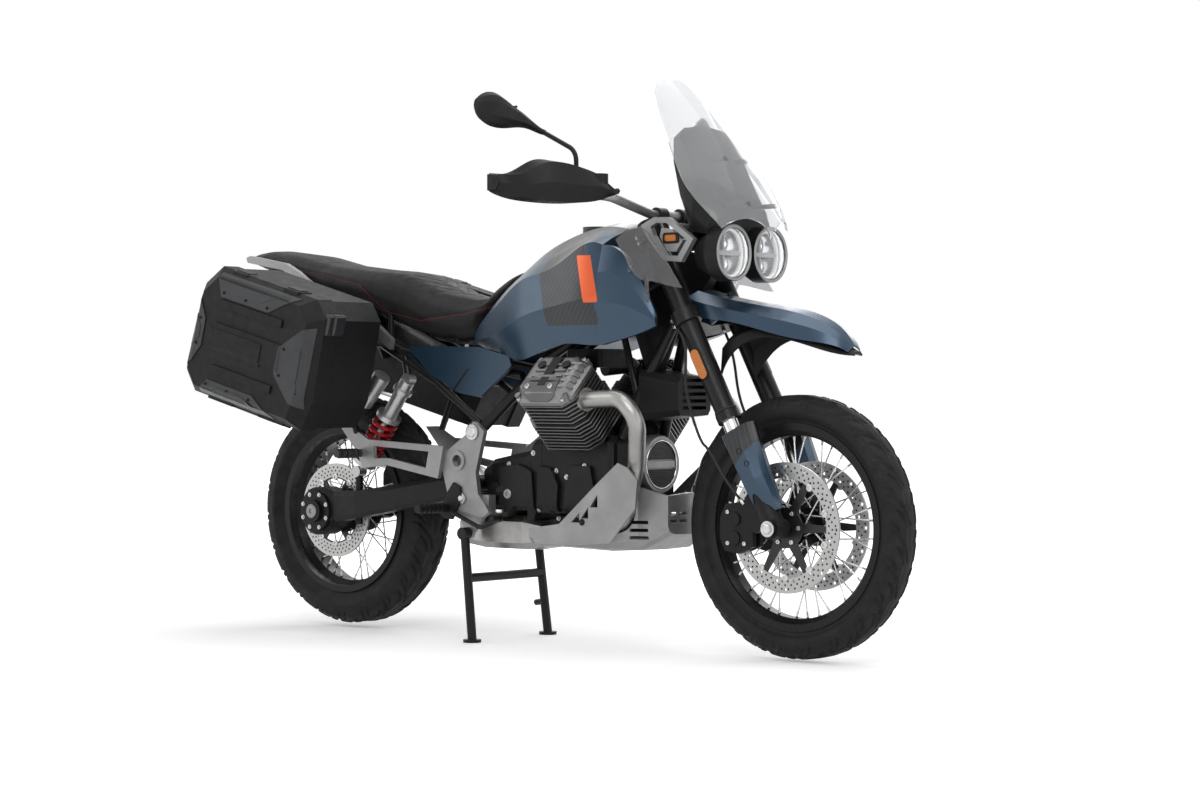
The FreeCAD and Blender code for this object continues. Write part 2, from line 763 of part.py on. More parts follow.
ARM_LEFT_SHARES = [
    (0.007, [
        (0.594, 0.062), (0.715, 0.062), (0.752, 0.103), (0.752, 0.352), (0.715, 0.393), (0.594, 0.393),
    ]),
    (0.321, [(0.594, 0.117), (0.727, 0.117), (0.77, 0.186), (0.77, 0.559), (0.727, 0.628), (0.594, 0.628)]),
    (0.893, [
        (0.594, 0.517), (0.727, 0.517), (0.788, 0.586), (0.788, 0.89), (0.727, 0.959), (0.594, 0.959),
    ]),
    (1, [(0.594, 0.669), (0.727, 0.669), (0.788, 0.724), (0.788, 0.945), (0.727, 1), (0.594, 1)]),
]
ARM_BRIDGE_SHARES = [
    (0.679, [(-0.618, 0.572), (0.618, 0.572), (0.618, 0.807), (-0.618, 0.807)]),
    (0.929, [(-0.618, 0.641), (0.618, 0.641), (0.618, 0.945), (-0.618, 0.945)]),
]
DRIVE_NOSE_SHARES = [
    (0.022, [
        (-0.613, 0.04), (-0.938, 0.04), (-0.988, 0.136), (-0.988, 0.856), (-0.938, 0.968),
        (-0.613, 0.968),
    ]),
    (1, [(-0.613, 0.2), (-0.925, 0.2), (-0.975, 0.296), (-0.975, 0.776), (-0.925, 0.872), (-0.613, 0.872)]),
]
CALIPER_SHARES = [
    (0.147, 0.047), (0.539, 0), (0.99, 0.141), (1, 0.859), (0.618, 1), (0.167, 0.953), (0.01, 0.688),
    (0, 0.297),
]
RIDER_BRACKET_SHARES = [
    (0.1, 0.18), (0.278, 0.02), (0.611, 0), (0.967, 0.54), (0.922, 0.86), (0.656, 0.98), (0.389, 0.68),
]
PASSENGER_SHARES = [
    (0.008, 0.964), (0.114, 0.971), (0.275, 0.743), (0.995, 0.643), (0.945, 0.029), (0.457, 0.257),
    (0.221, 0.193), (0.161, 0.507), (0.078, 0.75),
]
PASSENGER_HOLE_SHARES = [
    (0.327, 0.621), (0.857, 0.536), (0.831, 0.221), (0.468, 0.393), (0.327, 0.379),
]
PASSENGER_PEG_SHARES = (0.203, 0, 0.479)
BEAK_SHARES = [
    (0.006, [
        (0, 0.975), (0.421, 0.945), (0.653, 0.845), (0.737, 0.685), (0.695, 0.685), (0.611, 0.83),
        (0.4, 0.92), (0, 0.95),
    ]),
    (0.184, [
        (0, 0.855), (0.463, 0.825), (0.842, 0.715), (0.947, 0.535), (0.905, 0.535), (0.8, 0.7),
        (0.442, 0.8), (0, 0.83),
    ]),
    (0.452, [
        (0, 0.725), (0.442, 0.695), (0.842, 0.585), (0.968, 0.435), (0.926, 0.435), (0.8, 0.565),
        (0.421, 0.67), (0, 0.7),
    ]),
    (0.69, [
        (0, 0.625), (0.379, 0.585), (0.695, 0.465), (0.8, 0.285), (0.758, 0.285), (0.653, 0.445),
        (0.358, 0.56), (0, 0.6),
    ]),
    (0.882, [
        (0, 0.425), (0.274, 0.385), (0.484, 0.31), (0.568, 0.205), (0.526, 0.205), (0.442, 0.29),
        (0.253, 0.36), (0, 0.4),
    ]),
    (0.966, [
        (0, 0.195), (0.147, 0.175), (0.253, 0.145), (0.295, 0.105), (0.253, 0.105), (0.221, 0.125),
        (0.126, 0.15), (0, 0.17),
    ]),
]
LINER_SHARES = [
    (0.022, [
        (0, 0.653), (0.447, 0.629), (0.776, 0.488), (0.871, 0.041), (0.824, 0.029), (0.729, 0.465),
        (0.424, 0.6), (0, 0.624),
    ]),
    (0.289, [
        (0, 0.9), (0.471, 0.876), (0.824, 0.747), (0.965, 0.606), (0.918, 0.588), (0.788, 0.718),
        (0.447, 0.841), (0, 0.865),
    ]),
    (0.554, [
        (0, 0.9), (0.424, 0.853), (0.706, 0.747), (0.824, 0.618), (0.776, 0.6), (0.671, 0.718),
        (0.4, 0.824), (0, 0.865),
    ]),
    (0.797, [
        (0, 0.676), (0.306, 0.635), (0.518, 0.559), (0.635, 0.465), (0.588, 0.453), (0.482, 0.529),
        (0.282, 0.606), (0, 0.647),
    ]),
    (1, [
        (0, 0.435), (0.118, 0.424), (0.188, 0.4), (0.212, 0.376), (0.176, 0.365), (0.153, 0.376),
        (0.106, 0.394), (0, 0.406),
    ]),
]
HAND_GUARD_SHARES = [
    (0.505, [
        (0.911, 0.24), (0.941, 0.232), (0.963, 0.288), (0.948, 0.344), (0.919, 0.352), (0.917, 0.324),
        (0.94, 0.318), (0.947, 0.291), (0.936, 0.262), (0.913, 0.268),
    ]),
    (0.581, [
        (0.77, 0.128), (0.889, 0.136), (0.933, 0.32), (0.874, 0.528), (0.763, 0.56), (0.761, 0.524),
        (0.864, 0.494), (0.914, 0.318), (0.879, 0.171), (0.77, 0.164),
    ]),
    (0.667, [
        (0.637, 0.056), (0.807, 0.056), (0.874, 0.368), (0.8, 0.704), (0.659, 0.736), (0.657, 0.7),
        (0.789, 0.67), (0.856, 0.368), (0.797, 0.092), (0.637, 0.092),
    ]),
    (0.774, [
        (0.474, 0.04), (0.696, 0.048), (0.77, 0.4), (0.704, 0.816), (0.519, 0.88), (0.516, 0.845),
        (0.691, 0.784), (0.753, 0.402), (0.686, 0.084), (0.474, 0.076),
    ]),
    (0.871, [
        (0.315, 0.08), (0.578, 0.08), (0.652, 0.432), (0.57, 0.8), (0.407, 0.864), (0.404, 0.829),
        (0.559, 0.768), (0.633, 0.432), (0.567, 0.116), (0.315, 0.116),
    ]),
    (0.935, [
        (0.204, 0.144), (0.407, 0.152), (0.481, 0.368), (0.43, 0.608), (0.241, 0.64), (0.239, 0.604),
        (0.419, 0.574), (0.462, 0.372), (0.399, 0.188), (0.203, 0.18),
    ]),
    (0.968, [
        (0.104, 0.24), (0.267, 0.248), (0.319, 0.4), (0.274, 0.6), (0.104, 0.632), (0.102, 0.596),
        (0.263, 0.566), (0.299, 0.404), (0.258, 0.283), (0.103, 0.276),
    ]),
    (0.998, [
        (0.104, 0.288), (0.207, 0.304), (0.244, 0.432), (0.207, 0.576), (0.104, 0.608), (0.101, 0.576),
        (0.198, 0.546), (0.227, 0.433), (0.199, 0.334), (0.103, 0.32),
    ]),
]
MIRROR_NECK_SHARES = (0.83, 0.6, 0.1)
MIRROR_SHARES = [
    (0.592, 0.85, 0.091, 0.06, 0.064),
    (0.656, 0.75, 0.2, 0.09, 0.1),
    (0.71, 0.66, 0.318, 0.13, 0.155),
    (0.792, 0.53, 0.427, 0.18, 0.282),
    (0.871, 0.41, 0.527, 0.2, 0.391),
    (0.938, 0.3, 0.573, 0.17, 0.336),
    (0.983, 0.23, 0.618, 0.07, 0.136),
]
SCREEN_SHARES = [
    (0.0, 0.997, 0.713, 0.115),
    (0.163, 0.984, 0.925, 0.224),
    (0.296, 0.904, 1.0, 0.314),
    (0.455, 0.76, 0.938, 0.333),
    (0.727, 0.455, 0.725, 0.269),
    (0.928, 0.186, 0.575, 0.128),
    (1.0, 0.071, 0.325, 0.045),
]
SCREEN_BOW_SHARES = [(-1, 1), (-0.8, 0.58), (-0.4, 0.13), (0, 0), (0.4, 0.13), (0.8, 0.58), (1, 1)]
BAG_SHARES = [
    (-1.02, -0.72), (-0.84, -0.97), (0.9, -0.97), (1.0, -0.5), (0.98, 0.73), (0.8, 0.97), (-0.72, 1.0), (-0.95, 0.67),
]
RACK_SHARES = [(0.6, -0.55), (0.6, 0.55), (-0.6, 0.55), (-0.6, -0.35)]
RACK_ARM_SHARES = [(0.6, 0.3, "RackTop")]


class Size:
    """A number together with the sheet formula that gives it."""

    def __init__(self, value, formula):
        self.value = float(value)
        self.formula = formula

    def __float__(self):
        return self.value

    def __add__(self, other):
        other = as_size(other)
        return Size(self.value + other.value, f"({self.formula} + {other.formula})")

    def __radd__(self, other):
        return as_size(other) + self

    def __sub__(self, other):
        other = as_size(other)
        return Size(self.value - other.value, f"({self.formula} - {other.formula})")

    def __rsub__(self, other):
        return as_size(other) - self

    def __mul__(self, other):
        other = as_size(other)
        return Size(self.value * other.value, f"({self.formula} * {other.formula})")

    def __rmul__(self, other):
        return as_size(other) * self

    def __truediv__(self, other):
        other = as_size(other)
        return Size(self.value / other.value, f"({self.formula} / {other.formula})")

    def __neg__(self):
        return Size(-self.value, f"(0 - {self.formula})")


def as_size(number):
    if isinstance(number, Size):
        return number
    return Size(number, f"({float(number)!r})")


def sine(angle):
    return Size(math.sin(math.radians(float(angle))), f"sin({angle.formula})")


def cosine(angle):
    return Size(math.cos(math.radians(float(angle))), f"cos({angle.formula})")


class Sheet:
    """The spreadsheet with its aliases, read back as sizes."""

    def __init__(self, document, sizes):
        self.sheet = document.addObject("Spreadsheet::Sheet", "Sizes")
        for row, (alias, value) in enumerate(sizes.items(), 1):
            self.sheet.set(f"A{row}", alias)
            self.sheet.set(f"B{row}", str(value))
            self.sheet.setAlias(f"B{row}", alias)
        document.recompute()

    def __getattr__(self, alias):
        return Size(self.sheet.get(alias), f"Sizes.{alias}")

    def __getitem__(self, alias):
        return getattr(self, alias)


document = FreeCAD.newDocument("adventure_motorcycle")
s = Sheet(document, SIZES)
NODES = []
HALF = 0.5
FULL_TURN = 360
BEND_ROOM_SHARE = 0.48
PARALLEL = 1e-6
SLIVER = 1.0
QUARTER_TURN = 90
X_AXIS = Vector(1, 0, 0)
Y_AXIS = Vector(0, 1, 0)
Z_AXIS = Vector(0, 0, 1)
SIDES = {"right": -1, "left": 1}


# Places

def along(station):
    """The X of a station ahead of the rear axle."""
    return station - s.RearAxleBack


def front_axle():
    return along(s.Wheelbase), as_size(0), s.FrontTyreRadius


def rear_axle():
    return along(as_size(0)), as_size(0), s.RearTyreRadius + s.RearWheelLift


def steering_base():
    """The foot of the steering axis, level with the front axle along the fork."""
    axle_x, _, axle_z = front_axle()
    return (axle_x - s.ForkOffset * cosine(s.RakeAngle), as_size(0), axle_z - s.ForkOffset * sine(s.RakeAngle))


def point(triple):
    return Vector(*[float(number) for number in triple])


def steering_placement():
    return Placement(point(steering_base()), Rotation(Y_AXIS, -float(s.RakeAngle)))


def fork_point(ahead, side, height):
    """A point given across and up the fork, in the machine's frame."""
    return steering_placement().multVec(Vector(float(ahead), float(side), float(height)))


class Region:
    """The space of one piece: shares of its length, half width and height become points."""

    def __init__(self, name):
        self.rear = s[name + "Rear"]
        self.base = s[name + "Base"]
        self.length = s[name + "Length"]
        self.half = s[name + "Half"]
        self.height = s[name + "Height"]

    def at(self, ahead, side, up):
        return Vector(
            float(along(self.rear + self.length * ahead)),
            float(self.half * side),
            float(self.base + self.height * up),
        )

    def anchor(self):
        return along(self.rear), as_size(0), self.base


# Document objects

def bind_place(item, base, angle=None, axis=None):
    """Binds the base of a placement, and a turn about an axis when one is given."""
    item.Placement = Placement(point(base), Rotation(axis or Z_AXIS, float(angle or 0)))
    for letter, number in zip("xyz", base):
        item.setExpression(f".Placement.Base.{letter}", as_size(number).formula)
    if angle is not None:
        item.setExpression(".Placement.Rotation.Angle", as_size(angle).formula)


def keep(item, label):
    """Marks an object as a sub-part under its own label."""
    item.Label = label
    NODES.append(item)
    return item


def node_shape(label):
    """The finished shape of a sub-part that another one seats on."""
    item = [item for item in NODES if item.Label == label][0]
    if item.Shape.isNull():
        document.recompute()
    return item.Shape


def add_feature(label, shape, anchor):
    """Adds a shape, drawn in the machine's frame, as a sub-part that is placed at its anchor."""
    item = document.addObject("Part::Feature", label)
    item.Shape = moved(shape, Placement(-point(anchor), Rotation()))
    bind_place(item, anchor)
    return keep(item, label)


def attach(sketch, body, role):
    plane = [feature for feature in body.Origin.OriginFeatures if feature.Role == role][0]
    sketch.AttachmentSupport = [(plane, "")]
    sketch.MapMode = "FlatFace"


def arc_between(start, end, radius):
    """A counter-clockwise arc on the chord; it bulges to the right of the way for a positive radius."""
    middle = (start + end) * HALF
    chord = end - start
    reach = abs(float(radius))
    rise = math.sqrt(max(reach * reach - (chord.Length * HALF) ** 2, 0))
    normal = Vector(chord.y, -chord.x, 0).normalize()
    flipped = float(radius) < 0
    if flipped:
        normal = -normal
    centre = middle - normal * rise
    first, last = (end, start) if flipped else (start, end)
    begin = math.atan2(first.y - centre.y, first.x - centre.x)
    finish = math.atan2(last.y - centre.y, last.x - centre.x)
    if finish < begin:
        finish += 2 * math.pi
    return Part.ArcOfCircle(Part.Circle(centre, Z_AXIS, reach), begin, finish), flipped


def draw_outline(sketch, corners, radii=None):
    """Draws a closed outline whose corners and arc radii are bound to the sheet."""
    radii = radii or {}
    first = sketch.GeometryCount
    count = len(corners)
    spots = [Vector(float(across), float(up), 0) for across, up in corners]
    starts = []
    ends = []
    for index in range(count):
        start = spots[index]
        end = spots[(index + 1) % count]
        if index in radii:
            arc, flipped = arc_between(start, end, radii[index])
            sketch.addGeometry(arc, False)
            starts.append(2 if flipped else 1)
            ends.append(1 if flipped else 2)
        else:
            sketch.addGeometry(Part.LineSegment(start, end), False)
            starts.append(1)
            ends.append(2)
    for index in range(count):
        after = (index + 1) % count
        sketch.addConstraint(
            Sketcher.Constraint("Coincident", first + index, ends[index], first + after, starts[after])
        )
    for index, (across, up) in enumerate(corners):
        for kind, number in (("DistanceX", across), ("DistanceY", up)):
            place = Sketcher.Constraint(kind, -1, 1, first + index, starts[index], float(number))
            name = sketch.addConstraint(place)
            sketch.setExpression(f"Constraints[{name}]", as_size(number).formula)
    for index, radius in radii.items():
        size = as_size(radius) if float(radius) > 0 else -as_size(radius)
        name = sketch.addConstraint(Sketcher.Constraint("Radius", first + index, float(size)))
        sketch.setExpression(f"Constraints[{name}]", size.formula)


def draw_circle(sketch, centre, radius):
    """Draws a circle that is bound to the sheet."""
    across, up = centre
    spot = Vector(float(across), float(up), 0)
    index = sketch.addGeometry(Part.Circle(spot, Z_AXIS, float(radius)), False)
    for kind, number in (("DistanceX", across), ("DistanceY", up)):
        name = sketch.addConstraint(Sketcher.Constraint(kind, -1, 1, index, 3, float(number)))
        sketch.setExpression(f"Constraints[{name}]", as_size(number).formula)
    name = sketch.addConstraint(Sketcher.Constraint("Radius", index, float(radius)))
    sketch.setExpression(f"Constraints[{name}]", as_size(radius).formula)


def new_sketch(body, name, role="XY_Plane"):
    sketch = body.newObject("Sketcher::SketchObject", name)
    attach(sketch, body, role)
    return sketch


def new_body(name):
    return document.addObject("PartDesign::Body", name)


def add_revolution(body, name, corners, radii=None):
    """Turns a profile, given as radius and axial place, about the body's Y axis."""
    sketch = new_sketch(body, name + "_profile")
    draw_outline(sketch, corners, radii)
    feature = body.newObject("PartDesign::Revolution", name)
    feature.Profile = sketch
    feature.ReferenceAxis = (sketch, ["V_Axis"])
    feature.Angle = FULL_TURN
    body.Tip = feature
    return feature


def add_pad(body, name, length, outlines=(), circles=(), role="XZ_Plane", offset=None, middle=True):
    """Pads outlines and circles by a bound length."""
    sketch = new_sketch(body, name + "_sketch", role)
    for corners, radii in outlines:
        draw_outline(sketch, corners, radii)
    for centre, radius in circles:
        draw_circle(sketch, centre, radius)
    if offset is not None:
        sketch.setExpression(".AttachmentOffset.Base.z", as_size(offset).formula)
    document.recompute()
    feature = body.newObject("PartDesign::Pad", name)
    feature.Profile = sketch
    feature.Midplane = middle
    feature.setExpression("Length", as_size(length).formula)
    body.Tip = feature
    return feature


def add_pocket(body, name, length, outlines=(), circles=(), role="XZ_Plane"):
    """Cuts outlines and circles through the body, half the length to each side of the plane."""
    sketch = new_sketch(body, name + "_sketch", role)
    for corners, radii in outlines:
        draw_outline(sketch, corners, radii)
    for centre, radius in circles:
        draw_circle(sketch, centre, radius)
    document.recompute()
    feature = body.newObject("PartDesign::Pocket", name)
    feature.Profile = sketch
    feature.Midplane = True
    feature.setExpression("Length", as_size(length).formula)
    body.Tip = feature
    return feature


def add_polar(body, name, feature, count, role="Y_Axis"):
    """Repeats a feature about one of the body's axes."""
    axis = [item for item in body.Origin.OriginFeatures if item.Role == role][0]
    pattern = body.newObject("PartDesign::PolarPattern", name)
    pattern.Originals = [feature]
    pattern.Axis = (axis, [""])
    pattern.Angle = FULL_TURN
    pattern.Occurrences = int(float(count))
    body.Tip = pattern
    return pattern


# Shapes

def rod(start, end, radius):
    """A round bar between two points."""
    way = end - start
    return Part.makeCylinder(float(radius), way.Length, start, way)


def tapered(start, end, first, last):
    """A round bar whose radius changes from one end to the other."""
    way = end - start
    return Part.makeCone(float(first), float(last), way.Length, start, way)


def block(corner, other):
    """A box between two opposite corners."""
    low = Vector(min(corner.x, other.x), min(corner.y, other.y), min(corner.z, other.z))
    high = Vector(max(corner.x, other.x), max(corner.y, other.y), max(corner.z, other.z))
    size = high - low
    return Part.makeBox(size.x, size.y, size.z, low)


def tube(places, radius, bend):
    """A round bar of straight runs that are joined by tangent bends."""
    pieces = []
    start = places[0]
    for index in range(1, len(places) - 1):
        corner = places[index]
        before = (places[index - 1] - corner).normalize()
        after = (places[index + 1] - corner).normalize()
        turn = math.pi - before.getAngle(after)
        shorter = min((places[index - 1] - corner).Length, (places[index + 1] - corner).Length)
        curve = min(float(bend), BEND_ROOM_SHARE * shorter / math.tan(turn * HALF))
        reach = curve * math.tan(turn * HALF)
        first = corner + before * reach
        last = corner + after * reach
        centre = corner + (before + after).normalize() * math.hypot(reach, curve)
        pieces.append(rod(start, first, radius))
        ring = Part.Face(Part.Wire([Part.Circle(first, before, float(radius)).toShape()]))
        pieces.append(ring.revolve(centre, (first - centre).cross(last - centre), math.degrees(turn)))
        start = last
    pieces.append(rod(start, places[-1], radius))
    return join(pieces)


def moved(shape, placement):
    """A copy whose geometry itself is moved, with no location of its own."""
    return shape.transformed(placement.toMatrix(), copy=True)


def polygon(places):
    return Part.makePolygon(list(places) + [places[0]])


def smooth_ring(places):
    """A closed smooth curve through the places."""
    curve = Part.BSplineCurve()
    curve.interpolate(Points=list(places), PeriodicFlag=True)
    return Part.Wire([curve.toShape()])


def prism(places, way):
    """An outline pushed along a vector."""
    return Part.Face(polygon(places)).extrude(way)


def mirrored(shape):
    """The same shape on the other side of the machine."""
    return shape.mirror(Vector(0, 0, 0), Y_AXIS)


def both(shape):
    return [shape, mirrored(shape)]


def join(shapes):
    """One solid from pieces that overlap or share faces."""
    shapes = list(shapes)
    if len(shapes) == 1:
        return shapes[0]
    return shapes[0].fuse(shapes[1:]).removeSplitter()


def group(shapes):
    """Separate solids that share a node."""
    solids = []
    for shape in shapes:
        solids += shape.Solids
    return Part.makeCompound(solids)


def largest(shape):
    """The main solid of a shape, without what a cut has left loose."""
    return max(shape.Solids, key=lambda solid: solid.Volume)


def fitted(shape, *labels):
    """The main solid of a shape, cut back to the faces of the named neighbours that it seats on."""
    for label in labels:
        shape = shape.cut(node_shape(label))
    return largest(shape)


def full_ring(half):
    """A half outline, from the top middle to the bottom middle, and its mirror image."""
    places = list(half)
    for place in reversed(half):
        if abs(place.y) > 0:
            places.append(Vector(place.x, -place.y, place.z))
    return places


def loft_body(region, sections, smooth=True, ruled=False):
    """A closed form through half sections of a region, each at its own share of the length."""
    wires = []
    for ahead, half in sections:
        places = full_ring([region.at(ahead, side, up) for side, up in half])
        wires.append(smooth_ring(places) if smooth else polygon(places))
    return Part.makeLoft(wires, True, ruled)


def loft_side(region, sections, smooth=False, ruled=False):
    """A closed form through whole sections on one side of the machine."""
    wires = []
    for ahead, outline in sections:
        places = [region.at(ahead, side, up) for side, up in outline]
        wires.append(smooth_ring(places) if smooth else polygon(places))
    return Part.makeLoft(wires, True, ruled)


def loft_across(region, sections, smooth=False, ruled=False):
    """A closed form through upright sections, each at its own share of the half width."""
    wires = []
    for side, outline in sections:
        places = [region.at(ahead, side, up) for ahead, up in outline]
        wires.append(smooth_ring(places) if smooth else polygon(places))
    return Part.makeLoft(wires, True, ruled)


def side_plate(region, outline, inner, outer):
    """An upright plate on the left side, between two distances from the middle plane."""
    places = [region.at(ahead, 0, up) for ahead, up in outline]
    for place in places:
        place.y = float(inner)
    return prism(places, Vector(0, float(outer) - float(inner), 0))


def round_edges(shape, radius, direction):
    """Rounds the straight edges that run along a direction."""
    chosen = []
    for edge in shape.Edges:
        if edge.Curve.TypeId != "Part::GeomLine":
            continue
        way = edge.tangentAt(edge.FirstParameter)
        if abs(abs(way.dot(direction)) - 1) < PARALLEL:
            chosen.append(edge)
    return shape.makeFillet(float(radius), chosen)


# Wheels

def tyre(label, place, outer, width, seat, rim_width):
    """A hollow carcass: beads on the rim, bulging walls and a round crown."""
    half_rim = rim_width * HALF
    half = width * HALF
    shoulder = outer - s.TyreShoulderDrop
    shoulder_half = half - s.TyreShoulderInset
    flank = seat + s.RimFlange
    wall = s.TyreWall
    rise = outer - shoulder
    crown = (shoulder_half * shoulder_half + rise * rise) / (2 * rise)
    inner_shoulder = shoulder - wall
    inner_half = shoulder_half - wall
    inner_rise = rise - s.TyreCrownThick + wall
    inner_crown = (inner_half * inner_half + inner_rise * inner_rise) / (2 * inner_rise)
    middle = seat + (shoulder - seat) * TYRE_WAIST_SHARE
    corners = [
        (seat, half_rim - s.TyreBead),
        (seat, half_rim),
        (flank, half_rim),
        (middle, half),
        (shoulder, shoulder_half),
        (shoulder, -shoulder_half),
        (middle, -half),
        (flank, -half_rim),
        (seat, -half_rim),
        (seat, s.TyreBead - half_rim),
        (flank, s.TyreBead - half_rim),
        (middle, wall - half),
        (inner_shoulder, -inner_half),
        (inner_shoulder, inner_half),
        (middle, half - wall),
        (flank, half_rim - s.TyreBead),
    ]
    body = new_body(label)
    add_revolution(body, label + "_carcass", corners, {4: -crown, 12: inner_crown})
    bind_place(body, place)
    return keep(body, label)


TYRE_WAIST_SHARE = 0.55


def rim(label, place, seat, rim_width):
    """A wired rim with a well, bead seats and rolled lips."""
    half = rim_width * HALF
    lip = half + s.RimLip
    well = seat - s.RimWellDepth
    corners = [
        (seat + s.RimFlange, lip),
        (seat + s.RimFlange, half),
        (seat, half),
        (seat, s.RimWellHalf + s.RimWellDepth),
        (well, s.RimWellHalf),
        (well, -s.RimWellHalf),
        (seat, -s.RimWellHalf - s.RimWellDepth),
        (seat, -half),
        (seat + s.RimFlange, -half),
        (seat + s.RimFlange, -lip),
        (seat - s.RimWall, -lip),
        (seat - s.RimWall, -s.RimWellHalf - s.RimWellDepth - s.RimWall),
        (well - s.RimWall, -s.RimWellHalf - s.RimWall),
        (well - s.RimWall, s.RimWellHalf + s.RimWall),
        (seat - s.RimWall, s.RimWellHalf + s.RimWellDepth + s.RimWall),
        (seat - s.RimWall, lip),
    ]
    body = new_body(label)
    add_revolution(body, label + "_ring", corners)
    bind_place(body, place)
    return keep(body, label)


def hub(label, place, half, core, flange, spread):
    """A turned hub with two spoke flanges and a bore that runs on the axle."""
    bore = s.AxleRadius + s.RunningClearance
    nose = core * HUB_NOSE_SHARE
    thick = s.HubFlangeThick * HALF
    corners = [
        (bore, half),
        (nose, half),
        (nose, spread + thick + core - nose),
        (core, spread + thick),
        (flange, spread + thick),
        (flange, spread - thick),
        (core, spread - thick),
        (core, thick - spread),
        (flange, thick - spread),
        (flange, -spread - thick),
        (core, -spread - thick),
        (nose, nose - core - spread - thick),
        (nose, -half),
        (bore, -half),
    ]
    body = new_body(label)
    add_revolution(body, label + "_turning", corners)
    bind_place(body, place)
    return keep(body, label)


HUB_NOSE_SHARE = 0.72


def spokes(label, place, seat, flange, spread):
    """Crossed wires from both faces of the hub flanges to the rim well, four to each group."""
    centre = point(place)
    count = int(float(s.SpokeCount))
    groups = count // 4
    start_radius = float(flange)
    end_radius = float(seat - s.RimWellDepth - s.RimWall - s.SpokeRadius * HALF)
    offset = float(s.HubFlangeThick * HALF + s.SpokeRadius + s.RunningClearance)
    landing = float(s.RimWellHalf * HALF)
    wires = []
    for number in range(groups):
        for side in (-1, 1):
            for lean in (-1, 1):
                base = number + (0.5 if side > 0 else 0)
                at_hub = 2 * math.pi * (base + SPOKE_HOLE_SHARE * lean) / groups
                at_rim = at_hub + lean * SPOKE_LEAN
                first_side = side * float(spread) + lean * offset
                first = Vector(start_radius * math.sin(at_hub), first_side, start_radius * math.cos(at_hub))
                last = Vector(end_radius * math.sin(at_rim), side * landing, end_radius * math.cos(at_rim))
                if side * lean > 0:
                    first -= (last - first).normalize() * float(s.HubFlangeThick)
                wires.append(rod(centre + first, centre + last, s.SpokeRadius))
    return add_feature(label, group(wires), place)


SPOKE_HOLE_SHARE = 0.22
SPOKE_LEAN = 0.62


def brake_disc(label, place, outer, inner, spread, hub_reach, arms, sides):
    """A drilled ring on an arm carrier; the carrier sits on the end face of the hub."""
    body = new_body(label + "_one")
    offset = spread
    arm_half = s.CarrierArm * HALF
    middle = (as_size(0), as_size(0))
    add_pad(body, label + "_ring", s.DiscThick, circles=[(middle, outer), (middle, inner)], offset=-offset)
    carrier = [(middle, s.CarrierRadius), (middle, hub_reach)]
    add_pad(body, label + "_carrier", s.DiscThick, circles=carrier, offset=-offset)
    reach = inner + s.CarrierOverlap
    corners = [
        (s.CarrierRadius - s.CarrierOverlap, -arm_half - s.CarrierOverlap),
        (reach, -arm_half),
        (reach, arm_half),
        (s.CarrierRadius - s.CarrierOverlap, arm_half + s.CarrierOverlap),
    ]
    arm = add_pad(body, label + "_arm", s.DiscThick, outlines=[(corners, None)], offset=-offset)
    document.recompute()
    add_polar(body, label + "_arms", arm, arms)
    document.recompute()
    band = (outer + inner) * HALF
    swing = FULL_TURN * HALF / float(s.DiscHoleCount)
    first = (band + (outer - inner) * DISC_ROW_SHARE, as_size(0))
    second_radius = band - (outer - inner) * DISC_ROW_SHARE
    lean = as_size(swing)
    second = (second_radius * cosine(lean), second_radius * sine(lean))
    hole = add_pocket(body, label + "_hole", 2 * (spread + s.DiscThick), circles=[(first, s.DiscHoleRadius)])
    document.recompute()
    add_polar(body, label + "_holes", hole, s.DiscHoleCount)
    document.recompute()
    inner_hole = add_pocket(
        body, label + "_inner_hole", 2 * (spread + s.DiscThick), circles=[(second, s.DiscHoleRadius)]
    )
    document.recompute()
    add_polar(body, label + "_inner_holes", inner_hole, s.DiscHoleCount)
    bind_place(body, place)
    document.recompute()
    if len(sides) == 1:
        return keep(body, label)
    other = document.addObject("Part::Mirroring", label + "_other")
    other.Source = body
    other.Normal = Y_AXIS
    pair = document.addObject("Part::Compound", label)
    pair.Links = [body, other]
    return keep(pair, label)


DISC_ROW_SHARE = 0.24


def front_wheel():
    place = front_axle()
    tyre("front_tyre", place, s.FrontTyreRadius, s.FrontTyreWidth, s.FrontRimSeat, s.FrontRimWidth)
    rim("front_rim", place, s.FrontRimSeat, s.FrontRimWidth)
    core = hub("front_hub", place, s.FrontHubHalf, s.HubCoreRadius, s.HubFlangeRadius, s.FrontFlangeSpread)
    discs = brake_disc(
        "front_brake_discs",
        place,
        s.FrontDiscRadius,
        s.FrontDiscInner,
        s.FrontDiscSpread,
        s.HubCoreRadius * HUB_NOSE_SHARE + s.DiscSeatStep,
        s.CarrierArmCount,
        (-1, 1),
    )
    document.recompute()
    trim_hub(core, discs)
    spokes("front_spokes", place, s.FrontRimSeat, s.HubFlangeRadius, s.FrontFlangeSpread)


def trim_hub(core, discs):
    """Checks that the discs sit round the hub without sharing its metal."""
    common = core.Shape.common(discs.Shape)
    if common.Volume > SLIVER:
        print(f"{discs.Label} shares {common.Volume:.1f} cubic millimetres with {core.Label}")


def rear_wheel():
    place = rear_axle()
    tyre("rear_tyre", place, s.RearTyreRadius, s.RearTyreWidth, s.RearRimSeat, s.RearRimWidth)
    rim("rear_rim", place, s.RearRimSeat, s.RearRimWidth)
    core = hub("rear_hub", place, s.RearHubHalf, s.RearHubCore, s.RearFlangeRadius, s.RearFlangeSpread)
    disc = brake_disc(
        "rear_brake_disc",
        place,
        s.RearDiscRadius,
        s.RearDiscInner,
        -(s.RearHubHalf + s.DiscThick * HALF),
        s.AxleRadius + s.RunningClearance,
        s.CarrierArmCount,
        (1,),
    )
    document.recompute()
    trim_hub(core, disc)
    spokes("rear_spokes", place, s.RearRimSeat, s.RearFlangeRadius, s.RearFlangeSpread)


# Fork and steering

